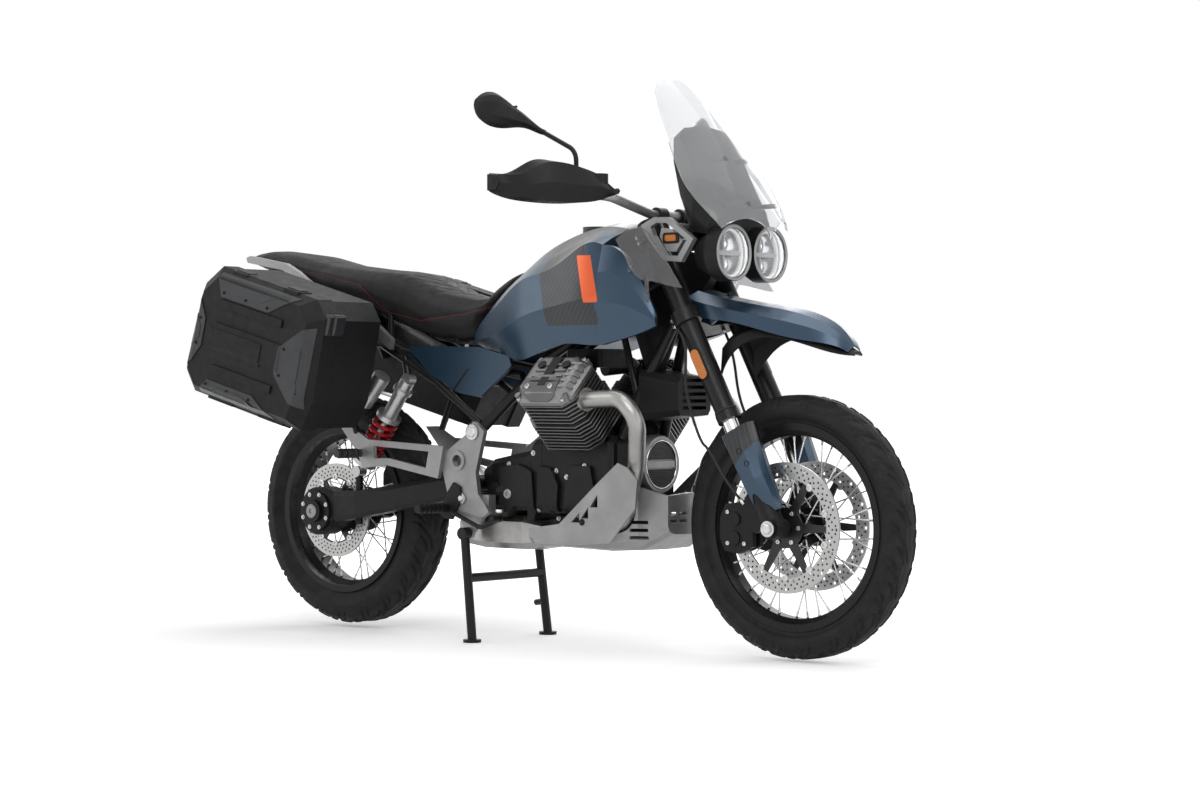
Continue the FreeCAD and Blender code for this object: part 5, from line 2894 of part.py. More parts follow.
def case_shell():
    """The hollow inner shell: walls, a stepped rim and the middle hinge barrel with its pin."""
    outer = case_prism(0, s.BagInner, s.BagSeam - s.BagBandDepth)
    band = case_prism(-s.BagBand, s.BagSeam - s.BagBandDepth, s.BagSeam)
    inner = case_prism(s.BagWall, s.BagInner + s.BagWall, s.BagSeam + s.CutOverrun)
    pieces = [join([outer, band]).cut(inner)]
    for first, last in HINGE_SHELL_SHARES:
        pieces.append(hinge_barrels(first, last, s.HingeRadius))
        pieces.append(hinge_leaf(first, last, s.BagSeam - s.BagBandDepth * HALF, s.BagSeam - s.HingePinRadius))
    pieces.append(hinge_barrels(HINGE_LID_SHARES[0][0], HINGE_LID_SHARES[1][1], s.HingePinRadius))
    return join(pieces)


def case_lid():
    """The bevelled outer lid, hollow behind, with corner plates, ribs and two hinge barrels."""
    seam = s.BagSeam + s.SeatGap
    outer = case_prism(-s.BagBand, seam, s.BagSeam + s.LidRim)
    crown = case_prism(-s.BagBand, s.BagSeam + s.LidRim, s.BagOuter, 1, LID_BEVEL_SHARE)
    lid = outer.fuse(crown)
    inner = case_prism(s.BagWall, seam - s.CutOverrun, s.BagSeam + s.LidRim)
    inner_crown = case_prism(s.BagWall, s.BagSeam + s.LidRim, s.BagOuter - s.BagWall, 1, LID_BEVEL_SHARE)
    lid = lid.cut(inner).cut(inner_crown)
    pieces = [lid]
    for a, c, wide, tall in LID_RIB_SHARES:
        low = Vector(float(s.BagHalfLength) * a, float(s.BagOuter - s.BagWall), float(s.BagHalfHeight) * c)
        high = Vector(float(s.BagHalfLength) * (a + wide), float(s.BagOuter + s.LidRib),
                      float(s.BagHalfHeight) * (c + tall))
        pieces.append(block(low, high))
    for first, last in HINGE_LID_SHARES:
        pieces.append(hinge_barrels(first, last, s.HingeRadius))
        pieces.append(hinge_leaf(first, last, s.BagSeam + s.HingePinRadius, s.BagSeam + s.LidRim))
    lid = join(pieces)
    pin = hinge_barrels(-1, 1, s.HingePinRadius + s.RunningClearance)
    return lid.cut(pin)


LID_BEVEL_SHARE = 0.86
LID_RIB_SHARES = [(-0.55, -0.2, 1.1, 0.4), (-0.5, 0.45, 1.0, 0.12), (-0.5, -0.57, 1.0, 0.12)]


def side_cases():
    """Both cases: each is a hollow shell with a lid hinged at its bottom edge."""
    tilt = case_placement()
    for name, side in SIDES.items():
        for label, maker in (("case_shell", case_shell), ("case_lid", case_lid)):
            shape = moved(maker(), tilt)
            if side < 0:
                shape = mirrored(shape)
            add_feature(f"{label}_{name}", shape, (along(s.BagStation), side * s.BagSeam, s.BagHeight))


def case_rack():
    """Tubular frames that hold the cases, bolted to the subframe."""
    tilt = case_placement()
    pieces = []
    y = float(s.BagInner - s.SeatGap - s.RackRadius)
    loop = []
    for a, c in RACK_SHARES:
        loop.append(tilt.multVec(Vector(float(s.BagHalfLength) * a, y, float(s.BagHalfHeight) * c)))
    hoop = tube(loop, s.RackRadius, s.RackBend)
    arms = []
    for name, index in (("RackFront", 0), ("RackRear", len(loop) - 1)):
        arms.append(rod(spot(name), loop[index], s.RackRadius))
    for a, c, name in RACK_ARM_SHARES:
        start = tilt.multVec(Vector(float(s.BagHalfLength) * a, y, float(s.BagHalfHeight) * c))
        arms.append(rod(start, spot(name), s.RackRadius))
    rack = fitted(join([hoop] + arms), "rear_subframe", "grab_rails", "passenger_footrests")
    return add_feature("case_rack", group(both(rack)), (along(s.BagStation), as_size(0), s.BagHeight))


# Document

BUILDERS = [
    front_wheel, rear_wheel, fork_yokes, fork_tubes, fork_sliders, axle_carriers, fork_guards,
    front_mudguard, front_mudguard_liner, handlebar, hand_controls, hand_guards, mirrors, front_calipers,
    pivot_plates, engine_case, front_engine_cover, cylinders, cylinder_heads, main_frame, valve_covers,
    intakes, exhaust_headers, exhaust_box, passenger_footrests, skid_plate, fuel_tank, tank_shrouds,
    seat, grab_rails, rear_subframe, side_panels, rear_mudguard, headlamps, windscreen, front_cowl,
    wind_deflectors, lamp_guards, oil_cooler, swingarm, final_drive, shock, rider_footrests, centre_stand,
    side_stand, side_cases, case_rack,
]


def check(item):
    """Stops the build on a failed, empty or invalid sub-part."""
    if "Invalid" in item.State or "Error" in item.State:
        raise RuntimeError(f"{item.Label} is {item.State}")
    shape = getattr(item, "Shape", None)
    if item in NODES and (shape is None or shape.isNull() or not shape.isValid() or not shape.Solids):
        raise RuntimeError(f"{item.Label} has no valid shape")


def main():
    for builder in BUILDERS:
        builder()
    document.recompute()
    for item in document.Objects:
        check(item)
    os.makedirs("parts", exist_ok=True)
    for item in NODES:
        item.Shape.exportStep(f"parts/{item.Label}.step")
    print(f"{len(NODES)} sub-parts written")


main()
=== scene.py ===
"""Looks of an adventure motorcycle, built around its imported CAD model."""
import json
import math

import bmesh
import bpy
import numpy as np
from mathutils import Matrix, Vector
from mathutils.bvhtree import BVHTree


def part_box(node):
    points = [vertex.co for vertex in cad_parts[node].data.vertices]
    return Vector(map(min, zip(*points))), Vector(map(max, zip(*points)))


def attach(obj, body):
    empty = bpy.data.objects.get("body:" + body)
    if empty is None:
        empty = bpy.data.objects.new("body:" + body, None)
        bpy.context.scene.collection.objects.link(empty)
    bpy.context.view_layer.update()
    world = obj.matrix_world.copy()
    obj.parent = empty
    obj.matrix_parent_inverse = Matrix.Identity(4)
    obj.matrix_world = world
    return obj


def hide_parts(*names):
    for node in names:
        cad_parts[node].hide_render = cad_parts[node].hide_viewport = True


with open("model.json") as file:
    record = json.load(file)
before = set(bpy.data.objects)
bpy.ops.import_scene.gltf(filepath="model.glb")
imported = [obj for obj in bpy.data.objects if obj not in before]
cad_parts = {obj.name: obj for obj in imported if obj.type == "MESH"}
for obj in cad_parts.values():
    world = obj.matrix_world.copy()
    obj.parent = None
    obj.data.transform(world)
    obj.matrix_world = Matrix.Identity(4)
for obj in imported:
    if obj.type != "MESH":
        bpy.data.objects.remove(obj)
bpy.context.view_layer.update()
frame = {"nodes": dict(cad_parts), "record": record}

# The machine looks along X, its right side is at negative Y, and Z is up.
X, Y, Z = Vector((1, 0, 0)), Vector((0, 1, 0)), Vector((0, 0, 1))
SIDES = ((-1, "right"), (1, "left"))

# Stage

SENSOR_WIDTH = 36.0
FOCAL_LENGTH = 82.59
CAMERA_PLACE = (4.72831, -5.49857, 0.6798)
CAMERA_TURN = (90 - 0.232, 0, 39.807)
SOFT_WORLD = 0.3
FLOOR_HALF = 30.0
FLOOR_COLOUR = (0.94, 0.94, 0.94, 1)
FLOOR_GLOW = (0.3, 1.0)
FLOOR_RAMP = (1.4, 4.5)
# Each lamp: place, target, size and power.
LAMPS = {
    "key": ((3.2, -4.6, 4.4), (0, 0, 0.6), (3.4, 2.4), 120),
    "left": ((-4.4, -3.4, 3.0), (0, 0, 0.6), (2.4, 3.0), 45),
    "top": ((0.2, 0.3, 4.6), (0, 0, 0.5), (4.6, 3.4), 95),
    "back": ((-1.5, 4.6, 3.2), (0, 0, 0.7), (4.0, 2.0), 70),
    "front": ((4.8, 1.2, 2.0), (0.4, 0, 0.6), (1.8, 2.6), 34),
}


def linked(name, data):
    """A new object in the scene."""
    thing = bpy.data.objects.new(name, data)
    bpy.context.collection.objects.link(thing)
    return thing


def make_camera():
    data = bpy.data.cameras.new("camera")
    data.sensor_width = SENSOR_WIDTH
    data.lens = FOCAL_LENGTH
    data.clip_end = 100.0
    camera = linked("camera", data)
    camera.location = CAMERA_PLACE
    camera.rotation_euler = [math.radians(angle) for angle in CAMERA_TURN]
    bpy.context.scene.camera = camera


def make_lights():
    for name, (place, target, size, power) in LAMPS.items():
        data = bpy.data.lights.new(name, "AREA")
        data.shape = "RECTANGLE"
        data.size, data.size_y = size
        data.energy = power
        lamp = linked(name, data)
        lamp.location = place
        lamp.rotation_euler = (Vector(target) - Vector(place)).to_track_quat("-Z", "Y").to_euler()


def stage_node(tree, kind, values):
    made = tree.nodes.new(kind)
    for socket, value in values.items():
        made.inputs[socket].default_value = value
    return made


def split_rays(tree, lighting, seen, output):
    """One shader for the rays that light the object, and one for camera, mirror and glass rays."""
    path = tree.nodes.new("ShaderNodeLightPath")
    share = path.outputs["Is Camera Ray"]
    for name in ("Is Glossy Ray", "Is Transmission Ray"):
        either = tree.nodes.new("ShaderNodeMath")
        either.operation = "MAXIMUM"
        tree.links.new(share, either.inputs[0])
        tree.links.new(path.outputs[name], either.inputs[1])
        share = either.outputs[0]
    mix = tree.nodes.new("ShaderNodeMixShader")
    for socket, source in enumerate((share, lighting.outputs[0], seen.outputs[0])):
        tree.links.new(source, mix.inputs[socket])
    tree.links.new(mix.outputs[0], tree.nodes.new(output).inputs["Surface"])


def make_world():
    world = bpy.data.worlds.new("world")
    bpy.context.scene.world = world
    world.use_nodes = True
    tree = world.node_tree
    tree.nodes.clear()
    soft, white = (stage_node(tree, "ShaderNodeBackground", {"Color": (1, 1, 1, 1), "Strength": strength})
            for strength in (SOFT_WORLD, 1.0))
    split_rays(tree, soft, white, "ShaderNodeOutputWorld")


def make_floor():
    """A pale floor that keeps the shadow near the object and turns white further out."""
    mesh = bpy.data.meshes.new("floor")
    form = bmesh.new()
    bmesh.ops.create_grid(form, x_segments=24, y_segments=24, size=FLOOR_HALF)
    form.to_mesh(mesh)
    form.free()
    floor = linked("floor", mesh)
    floor.location.z = -0.0005
    material = bpy.data.materials.new("floor")
    material.use_nodes = True
    tree = material.node_tree
    tree.nodes.clear()
    base = stage_node(tree, "ShaderNodeBsdfPrincipled", {"Base Color": FLOOR_COLOUR, "Roughness": 0.75})
    glow = stage_node(tree, "ShaderNodeEmission", {"Color": (1, 1, 1, 1)})
    place = tree.nodes.new("ShaderNodeTexCoord")
    reach = tree.nodes.new("ShaderNodeVectorMath")
    reach.operation = "LENGTH"
    ramp = stage_node(tree, "ShaderNodeMapRange", {"From Min": FLOOR_RAMP[0], "From Max": FLOOR_RAMP[1],
            "To Min": FLOOR_GLOW[0], "To Max": FLOOR_GLOW[1]})
    both = tree.nodes.new("ShaderNodeAddShader")
    tree.links.new(place.outputs["Object"], reach.inputs[0])
    tree.links.new(reach.outputs["Value"], ramp.inputs["Value"])
    tree.links.new(ramp.outputs["Result"], glow.inputs["Strength"])
    tree.links.new(base.outputs[0], both.inputs[0])
    tree.links.new(glow.outputs[0], both.inputs[1])
    split_rays(tree, base, both, "ShaderNodeOutputMaterial")
    mesh.materials.append(material)


# Materials

class Recipe:
    """A node material that is put together a step at a time."""

    def __init__(self, name):
        self.material = bpy.data.materials.new(name)
        self.material.use_nodes = True
        self.tree = self.material.node_tree
        self.shader = self.tree.nodes["Principled BSDF"]
        self.where = self.node("ShaderNodeTexCoord").outputs["Object"]
        self.normal = None

    def feed(self, socket, value):
        """Set a socket to a number or colour, or join another socket to it."""
        if isinstance(value, (int, float)):
            socket.default_value = value
        elif isinstance(value, tuple):
            socket.default_value = (*value, 1)
        else:
            self.tree.links.new(value, socket)

    def node(self, kind, values=None, **settings):
        made = self.tree.nodes.new(kind)
        for key, value in settings.items():
            setattr(made, key, value)
        for socket, value in (values or {}).items():
            self.feed(made.inputs[socket], value)
        return made

    def put(self, socket, value):
        self.feed(self.shader.inputs[socket], value)

    def noise(self, scale, detail=3.0):
        values = {"Vector": self.where, "Scale": scale, "Detail": detail, "Roughness": 0.55}
        return self.node("ShaderNodeTexNoise", values).outputs["Fac"]

    def cells(self, scale):
        return self.node("ShaderNodeTexVoronoi", {"Vector": self.where, "Scale": scale}).outputs["Distance"]

    def spread(self, value, low, high, from_low=0.3, from_high=0.7):
        """Carry a value from one range to another, and stop it at the ends."""
        values = {"Value": value, "From Min": from_low, "From Max": from_high, "To Min": low, "To Max": high}
        return self.node("ShaderNodeMapRange", values).outputs["Result"]

    def math(self, operation, a, b=0.0):
        return self.node("ShaderNodeMath", {0: a, 1: b}, operation=operation).outputs[0]

    def length(self, a, b):
        return self.math("SQRT", self.math("ADD", self.math("MULTIPLY", a, a), self.math("MULTIPLY", b, b)))

    def axes(self):
        return self.node("ShaderNodeSeparateXYZ", {0: self.where}).outputs[:3]

    def mix(self, share, first, second):
        return self.node("ShaderNodeMix", {"Factor": share, 6: first, 7: second}, data_type="RGBA").outputs[2]

    def bump(self, value, depth):
        made = self.node("ShaderNodeBump", {"Distance": depth, "Strength": 1.0, "Height": value})
        if self.normal is not None:
            self.feed(made.inputs["Normal"], self.normal)
        self.normal = made.outputs["Normal"]
        self.put("Normal", self.normal)

    def cloudy(self, scale, detail, first, second):
        """A base colour that drifts between two tones."""
        self.put("Base Color", self.mix(self.spread(self.noise(scale, detail), 0.0, 1.0), first, second))

    def dull(self, scale, low, high):
        """A roughness that drifts between low and high."""
        self.put("Roughness", self.spread(self.noise(scale), low, high))

    def band(self, value, low, high, soft=0.0008):
        """1 between low and high, with a thin edge."""
        rise = self.spread(value, 0.0, 1.0, low - soft, low + soft)
        fall = self.spread(value, 1.0, 0.0, high - soft, high + soft)
        return self.math("MULTIPLY", rise, fall)

    def slope(self, a, b, lean):
        """A slanted measure of length: a moved on by lean times b."""
        return self.math("ADD", a, self.math("MULTIPLY", b, lean))

    def lined(self, value, spacing, ground, line):
        """Thin lines, two spacings apart along a measure of length."""
        near = self.math("PINGPONG", value, spacing)
        return self.mix(self.spread(near, 1.0, 0.0, 0.0004, 0.0011), ground, line)

    def flakes(self, colour, dark, bright):
        flake = self.spread(self.noise(2600.0, 1.0), 0.0, 1.0, 0.35, 0.65)
        return self.mix(flake, tone(colour, dark), tone(colour, bright))


def tone(colour, share):
    return tuple(min(1.0, part * share) for part in colour)


def cast_metal(name, colour, grain=700.0, depth=0.00018, rough=(0.34, 0.5), metal=0.85):
    """Bead-blasted or cast metal: a pebbled skin, cloudy tone and dull gloss."""
    made = Recipe(name)
    made.cloudy(14.0, 4.0, tone(colour, 0.86), tone(colour, 1.06))
    made.dull(60.0, *rough)
    made.put("Metallic", metal)
    made.put("Specular IOR Level", 0.25)
    made.bump(made.noise(grain, 2.0), depth)
    return made


def plastic(name, colour, grain=900.0, depth=0.00012, rough=(0.42, 0.56)):
    """Moulded plastic: a fine leather-like grain with slight tone changes."""
    made = Recipe(name)
    made.cloudy(9.0, 3.0, tone(colour, 0.85), tone(colour, 1.15))
    made.dull(40.0, *rough)
    made.bump(made.cells(grain), depth)
    made.put("Specular IOR Level", 0.2)
    return made


def coated(made, metal, rough, coat):
    """Satin metallic paint under a clear coat."""
    made.put("Metallic", metal)
    made.dull(30.0, *rough)
    made.put("Coat Weight", coat)
    made.put("Coat Roughness", 0.22)
    made.bump(made.noise(180.0, 1.0), 0.00003)
    return made


def paint(name, colour):
    made = Recipe(name)
    cloud = made.spread(made.noise(5.0, 2.0), 0.0, 0.35)
    made.put("Base Color", made.mix(cloud, made.flakes(colour, 0.9, 1.12), tone(colour, 0.94)))
    return coated(made, 0.55, (0.29, 0.36), 0.35)


def bare_steel(name, colour, rough=(0.16, 0.3), lines=0.00002):
    """Turned or brushed steel with faint marks."""
    made = Recipe(name)
    made.cloudy(22.0, 4.0, tone(colour, 0.9), tone(colour, 1.05))
    made.put("Metallic", 1.0)
    made.dull(90.0, *rough)
    made.bump(made.noise(1500.0, 2.0), lines)
    return made


def rubber(name, colour, depth=0.00025, rough=(0.62, 0.8)):
    made = Recipe(name)
    made.cloudy(7.0, 5.0, colour, tone(colour, 1.5))
    made.dull(35.0, *rough)
    made.put("Specular IOR Level", 0.3)
    made.bump(made.noise(420.0, 3.0), depth)
    return made


def clear(name, colour, rough=0.03, weight=0.92):
    made = Recipe(name)
    made.cloudy(12.0, 2.0, tone(colour, 0.97), colour)
    made.dull(50.0, rough, rough + 0.03)
    made.put("Transmission Weight", weight)
    made.put("IOR", 1.2)
    return made


BLUE = (0.019, 0.047, 0.084)
CHARCOAL = (0.014, 0.015, 0.017)
FRONT_AXLE = Vector((0.787, 0, 0.3293))
REAR_AXLE = Vector((-0.743, 0, 0.3289))


def blue_with(made, share, colour):
    """Blue paint that carries another colour where share is 1."""
    made.put("Base Color", made.mix(share, made.flakes(BLUE, 0.88, 1.14), colour))
    return coated(made, 0.45, (0.3, 0.37), 0.3)


def tank_paint(name):
    """A charcoal field of fine slanted lines and an orange bar: plain shapes of this part's own."""
    made = Recipe(name)
    x, y, z = made.axes()
    cross = made.slope(x, z, 0.3)
    field = made.math("MULTIPLY", made.band(cross, 0.375, 0.545), made.band(z, 0.828, 1.2))
    crest = made.math("MULTIPLY", made.band(y, -0.088, 0.088), made.band(z, 1.015, 1.2))
    dark = made.lined(made.slope(x, z, -0.62), 0.0075, CHARCOAL, (0.042, 0.045, 0.05))
    bar = made.math("MULTIPLY", made.band(cross, 0.517, 0.562), made.band(z, 0.885, 1.005))
    dark = made.mix(bar, dark, (0.72, 0.105, 0.018))
    return blue_with(made, made.math("MAXIMUM", made.math("MAXIMUM", field, crest), bar), dark)


def panel_paint(name):
    """One black slanted crease."""
    made = Recipe(name)
    x, y, z = made.axes()
    slant = made.band(made.slope(x, z, -0.94), -0.877, -0.867)
    return blue_with(made, made.math("MULTIPLY", slant, made.band(z, 0.66, 0.72)), (0.006, 0.006, 0.007))


def guard_paint(name):
    """A charcoal upper end with fine lines along it."""
    made = Recipe(name)
    x, y, z = made.axes()
    top = made.spread(made.slope(z, x, -1.2), 0.0, 1.0, -0.3455, -0.344)
    return blue_with(made, top, made.lined(made.slope(x, z, 0.35), 0.007, CHARCOAL, (0.035, 0.038, 0.042)))


def disc_metal(name, axle, edge):
    """Drilled steel rings outside edge, and a black carrier inside it. The drill holes are not cut: they are
    painted dark as painted shade.
    """
    made = Recipe(name)
    x, y, z = made.axes()
    dx = made.math("SUBTRACT", x, axle.x)
    dz = made.math("SUBTRACT", z, axle.z)
    radius = made.length(dx, dz)
    step = 2 * math.pi / 48
    turn = made.math("DIVIDE", made.math("ARCTAN2", dz, dx), step)
    ring = made.spread(radius, 0.0, 1.0, edge - 0.0006, edge + 0.0006)
    holes_painted_dark = 0.0
    for where, shift in ((edge + 0.008, 0.0), (edge + 0.0175, 0.5), (edge + 0.027, 0.0)):
        local = made.math("SUBTRACT", made.math("FRACT", made.math("ADD", turn, shift)), 0.5)
        far = made.length(made.math("MULTIPLY", local, step * where), made.math("SUBTRACT", radius, where))
        holes_painted_dark = made.math("MAXIMUM", made.spread(far, 1.0, 0.0, 0.0022, 0.0029), holes_painted_dark)
    brushed = made.spread(made.math("FRACT", made.math("MULTIPLY", radius, 900.0)), 0.0, 1.0, 0.2, 0.8)
    steel = made.mix(brushed, (0.36, 0.36, 0.355), (0.47, 0.47, 0.465))
    # Painted shade: the holes are the disc's real pattern, and their dark colour stands in for the shade
    # inside and behind them.
    made.put("Base Color", made.mix(ring, (0.012, 0.012, 0.013), made.mix(holes_painted_dark, steel, (0.03, 0.03, 0.03))))
    made.put("Metallic", made.spread(ring, 0.2, 0.95, 0.0, 1.0))
    made.dull(60.0, 0.3, 0.42)
    made.bump(holes_painted_dark, 0.0006)
    return made


def ribbed_black(name):
    made = Recipe(name)
    ribs = made.math("PINGPONG", made.axes()[2], 0.0022)
    share = made.spread(ribs, 0.0, 1.0, 0.0005, 0.0018)
    made.put("Base Color", made.mix(share, (0.01, 0.01, 0.011), (0.022, 0.022, 0.023)))
    made.dull(50.0, 0.4, 0.52)
    made.bump(ribs, 0.5)
    return made


def ended_in_rubber(name, node, length, colour):
    """A metal piece whose outer ends, as long as length, are in ribbed black rubber."""
    made = Recipe(name)
    y = made.axes()[1]
    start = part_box(node)[1].y - length
    share = made.spread(made.math("ABSOLUTE", y), 0.0, 1.0, start, start + 0.002)
    made.put("Base Color", made.mix(share, colour, (0.008, 0.008, 0.008)))
    made.put("Metallic", made.spread(share, 0.7, 0.0, 0.0, 1.0))
    made.dull(60.0, 0.36, 0.5)
    made.bump(made.noise(620.0, 2.0), 0.00018)
    made.bump(made.math("MULTIPLY", made.math("PINGPONG", y, 0.004), share), 0.6)
    return made


def glow_white(name):
    made = Recipe(name)
    made.cloudy(60.0, 3.0, (0.62, 0.64, 0.66), (0.7, 0.71, 0.72))
    made.put("Roughness", 0.25)
    made.put("Emission Color", (1, 1, 1))
    made.put("Emission Strength", 0.08)
    return made


def lens(name, dark, bright, rough, coat):
    """Coloured plastic with a fine slanted grid."""
    made = Recipe(name)
    x, y, z = made.axes()
    grid = made.math("PINGPONG", made.slope(z, y, 1.0), 0.0018)
    made.put("Base Color", made.mix(made.spread(grid, 0.0, 1.0, 0.0003, 0.0014), dark, bright))
    made.put("Roughness", rough)
    made.put("Coat Weight", coat)
    made.bump(grid, 0.3)
    return made


def tail_plastic(name):
    """Black plastic whose outer ends, the rear indicators, are amber."""
    made = Recipe(name)
    share = made.spread(made.math("ABSOLUTE", made.axes()[1]), 0.0, 1.0, 0.172, 0.174)
    made.put("Base Color", made.mix(share, (0.009, 0.009, 0.0095), (0.52, 0.14, 0.008)))
    made.dull(40.0, 0.36, 0.5)
    made.put("Specular IOR Level", 0.25)
    made.bump(made.cells(900.0), 0.00012)
    return made


def mirror_glass(name):
    made = Recipe(name)
    made.cloudy(3.0, 3.0, (0.8, 0.81, 0.82), (0.84, 0.85, 0.86))
    made.put("Metallic", 1.0)
    made.dull(20.0, 0.02, 0.05)
    return made


def thread_red(name):
    made = Recipe(name)
    made.cloudy(400.0, 3.0, (0.2, 0.01, 0.012), (0.34, 0.02, 0.02))
    made.put("Roughness", 0.6)
    made.bump(made.noise(2200.0), 0.0002)
    return made


# Each finish: its maker and what the maker is told after the name.
FINISH = {
    "tyre_rubber": (rubber, (0.006, 0.006, 0.0065)),
    "rim_black": (plastic, (0.01, 0.01, 0.011), 500.0, 0.00005, (0.25, 0.34)),
    "spoke_steel": (bare_steel, (0.62, 0.62, 0.63)),
    "disc_steel": (bare_steel, (0.45, 0.45, 0.445), (0.3, 0.44)),
    "fork_black": (cast_metal, (0.014, 0.014, 0.015), 800.0, 0.00006, (0.3, 0.42), 0.3),
    "slider_chrome": (bare_steel, (0.72, 0.72, 0.73), (0.06, 0.12), 0.00001),
    "cast_black": (cast_metal, (0.01, 0.01, 0.0105), 520.0, 0.00022, (0.42, 0.56), 0.25),
    "frame_black": (plastic, (0.012, 0.012, 0.013), 300.0, 0.00005, (0.28, 0.4)),
    "body_blue": (paint, BLUE),
    "plastic_black": (plastic, (0.009, 0.009, 0.0095)),
    "engine_black": (cast_metal, (0.012, 0.012, 0.0125), 420.0, 0.0003, (0.4, 0.55), 0.3),
    "engine_grey": (cast_metal, (0.21, 0.21, 0.212), 520.0, 0.0002, (0.28, 0.42)),
    "cover_dark": (cast_metal, (0.12, 0.12, 0.123), 520.0, 0.0002, (0.3, 0.42)),
    "cast_silver": (cast_metal, (0.29, 0.29, 0.292), 620.0, 0.00018, (0.36, 0.5), 0.7),
    "header_steel": (bare_steel, (0.33, 0.325, 0.315), (0.3, 0.44), 0.00004),
    "seat_vinyl": (plastic, (0.009, 0.0088, 0.0088), 620.0, 0.0003, (0.5, 0.66)),
    "screen_clear": (clear, (0.86, 0.87, 0.88), 0.05, 0.86),
    "screen_smoke": (clear, (0.6, 0.6, 0.61), 0.05, 0.88),
    "lamp_clear": (clear, (0.95, 0.96, 0.97)),
    "spring_red": (plastic, (0.36, 0.012, 0.016), 300.0, 0.00004, (0.22, 0.32)),
    "shock_silver": (cast_metal, (0.45, 0.45, 0.46), 800.0, 0.00008, (0.28, 0.4)),
    "case_black": (plastic, (0.0075, 0.0075, 0.008), 1100.0, 0.00022, (0.5, 0.64)),
    "tank_paint": (tank_paint,),
    "guard_paint": (guard_paint,),
    "panel_paint": (panel_paint,),
    "tail_plastic": (tail_plastic,),
    "peg_mix": (ended_in_rubber, "passenger_footrests", 0.092, (0.29, 0.29, 0.292)),
    "bar_mix": (ended_in_rubber, "handlebar", 0.15, (0.33, 0.33, 0.335)),
    "front_disc": (disc_metal, FRONT_AXLE, 0.122),
    "rear_disc": (disc_metal, REAR_AXLE, 0.092),
    "ribbed_black": (ribbed_black,),
    "lamp_ring": (glow_white,),
    "amber_lens": (lens, (0.5, 0.13, 0.006), (0.66, 0.19, 0.012), 0.3, 0.15),
    "red_lens": (lens, (0.3, 0.004, 0.004), (0.45, 0.01, 0.01), 0.2, 0.6),
    "mirror_glass": (mirror_glass,),
    "seam_red": (thread_red,),
    "case_plate": (cast_metal, (0.052, 0.053, 0.055), 900.0, 0.00008, (0.34, 0.46), 0.6),
    "screw_black": (cast_metal, (0.016, 0.016, 0.016), 900.0, 0.00005, (0.3, 0.4), 0.6),
    "zinc": (bare_steel, (0.55, 0.55, 0.54), (0.24, 0.36)),
    "bowl": (bare_steel, (0.7, 0.71, 0.72), (0.08, 0.16)),
    "hose_rubber": (rubber, (0.013, 0.013, 0.014), 0.0001, (0.5, 0.62)),
}
# CAD nodes that have another finish than their slot's.
NODE_FINISH = {
    "fuel_tank": "tank_paint",
    "fork_guards": "guard_paint",
    "front_brake_discs": "front_disc",
    "rear_brake_disc": "rear_disc",
    "front_engine_cover": "cast_silver",
    "side_panels": "panel_paint",
    "passenger_footrests": "peg_mix",
    "handlebar": "bar_mix",
    "rear_mudguard": "tail_plastic",
}
# The record's slot of each finish that is no slot itself.
SLOTS = {
    "zinc": "spoke_steel",
    "amber_lens": "lamp_clear",
    "red_lens": "lamp_clear",
    "lamp_ring": "lamp_clear",
    "bowl": "slider_chrome",
    "mirror_glass": "slider_chrome",
    "ribbed_black": "plastic_black",
    "screw_black": "plastic_black",
    "hose_rubber": "fork_black",
    "seam_red": "seat_vinyl",
    "case_plate": None,
}
finishes = {}


def finish_of(name):
    if name not in finishes:
        maker, *values = FINISH[name]
        finishes[name] = maker(name, *values).material
    return finishes[name]


def dress_nodes():
    for part in frame["record"]["subparts"]:
        for place in frame["nodes"][part["node"]].material_slots:
            place.material = finish_of(NODE_FINISH.get(part["node"], part["material_slot"]))


# Mesh helpers

SKIN_LIFT = 0.0006
SKIN_SINK = 0.001
trees = {}


def hull_of(mesh):
    corners = [tuple(v.co) for v in mesh.vertices]
    return BVHTree.FromPolygons(corners, [tuple(face.vertices) for face in mesh.polygons])


def strike(node, start, way, reach=3.0):
    """Where a ray meets a CAD node, and the outward normal there, or None."""
    if node not in trees:
        trees[node] = hull_of(frame["nodes"][node].data)
    way = Vector(way).normalized()
    place, normal, index, distance = trees[node].ray_cast(Vector(start), way, reach)
    if place is None:
        return None
    return place, -normal if normal.dot(way) > 0 else normal


def strikes(node, starts, way, reach=3.0):
    """The hits of those rays that meet the node."""
    return [hit for hit in (strike(node, start, way, reach) for start in starts) if hit]


def side_hits(node, side, places, far=0.5):
    """Hits from one side of the machine, at pairs of station and height."""
    return strikes(node, [Vector((x, side * far, z)) for x, z in places], Y * -side, 3.0)


def circle(count, radius, shift=0.0):
    """Evenly spaced (cosine, sine) pairs times radius."""
    turns = [2 * math.pi * (k + shift) / count for k in range(count)]
    return [(radius * math.cos(turn), radius * math.sin(turn)) for turn in turns]


def piece(name, corners, faces, finish, body="chassis", smooth=False, bevel=None, slot=None):
    """A mesh object that rides on a body; its slot is worked out but not used."""
    mesh = bpy.data.meshes.new(name)
    mesh.from_pydata([tuple(c) for c in corners], [], [tuple(f) for f in faces])
    mesh.validate()
    mesh.update()
    thing = linked(name, mesh)
    mesh.materials.append(finish_of(finish))
    if smooth:
        for face in mesh.polygons:
            face.use_smooth = True
    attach(thing, body)
    slot = slot or SLOTS.get(finish, finish)
    if bevel:
        soft = thing.modifiers.new("bevel", "BEVEL")
        soft.width, soft.segments = bevel[:2]
        soft.limit_method = "ANGLE"
        soft.angle_limit = math.radians(bevel[2])
    return thing


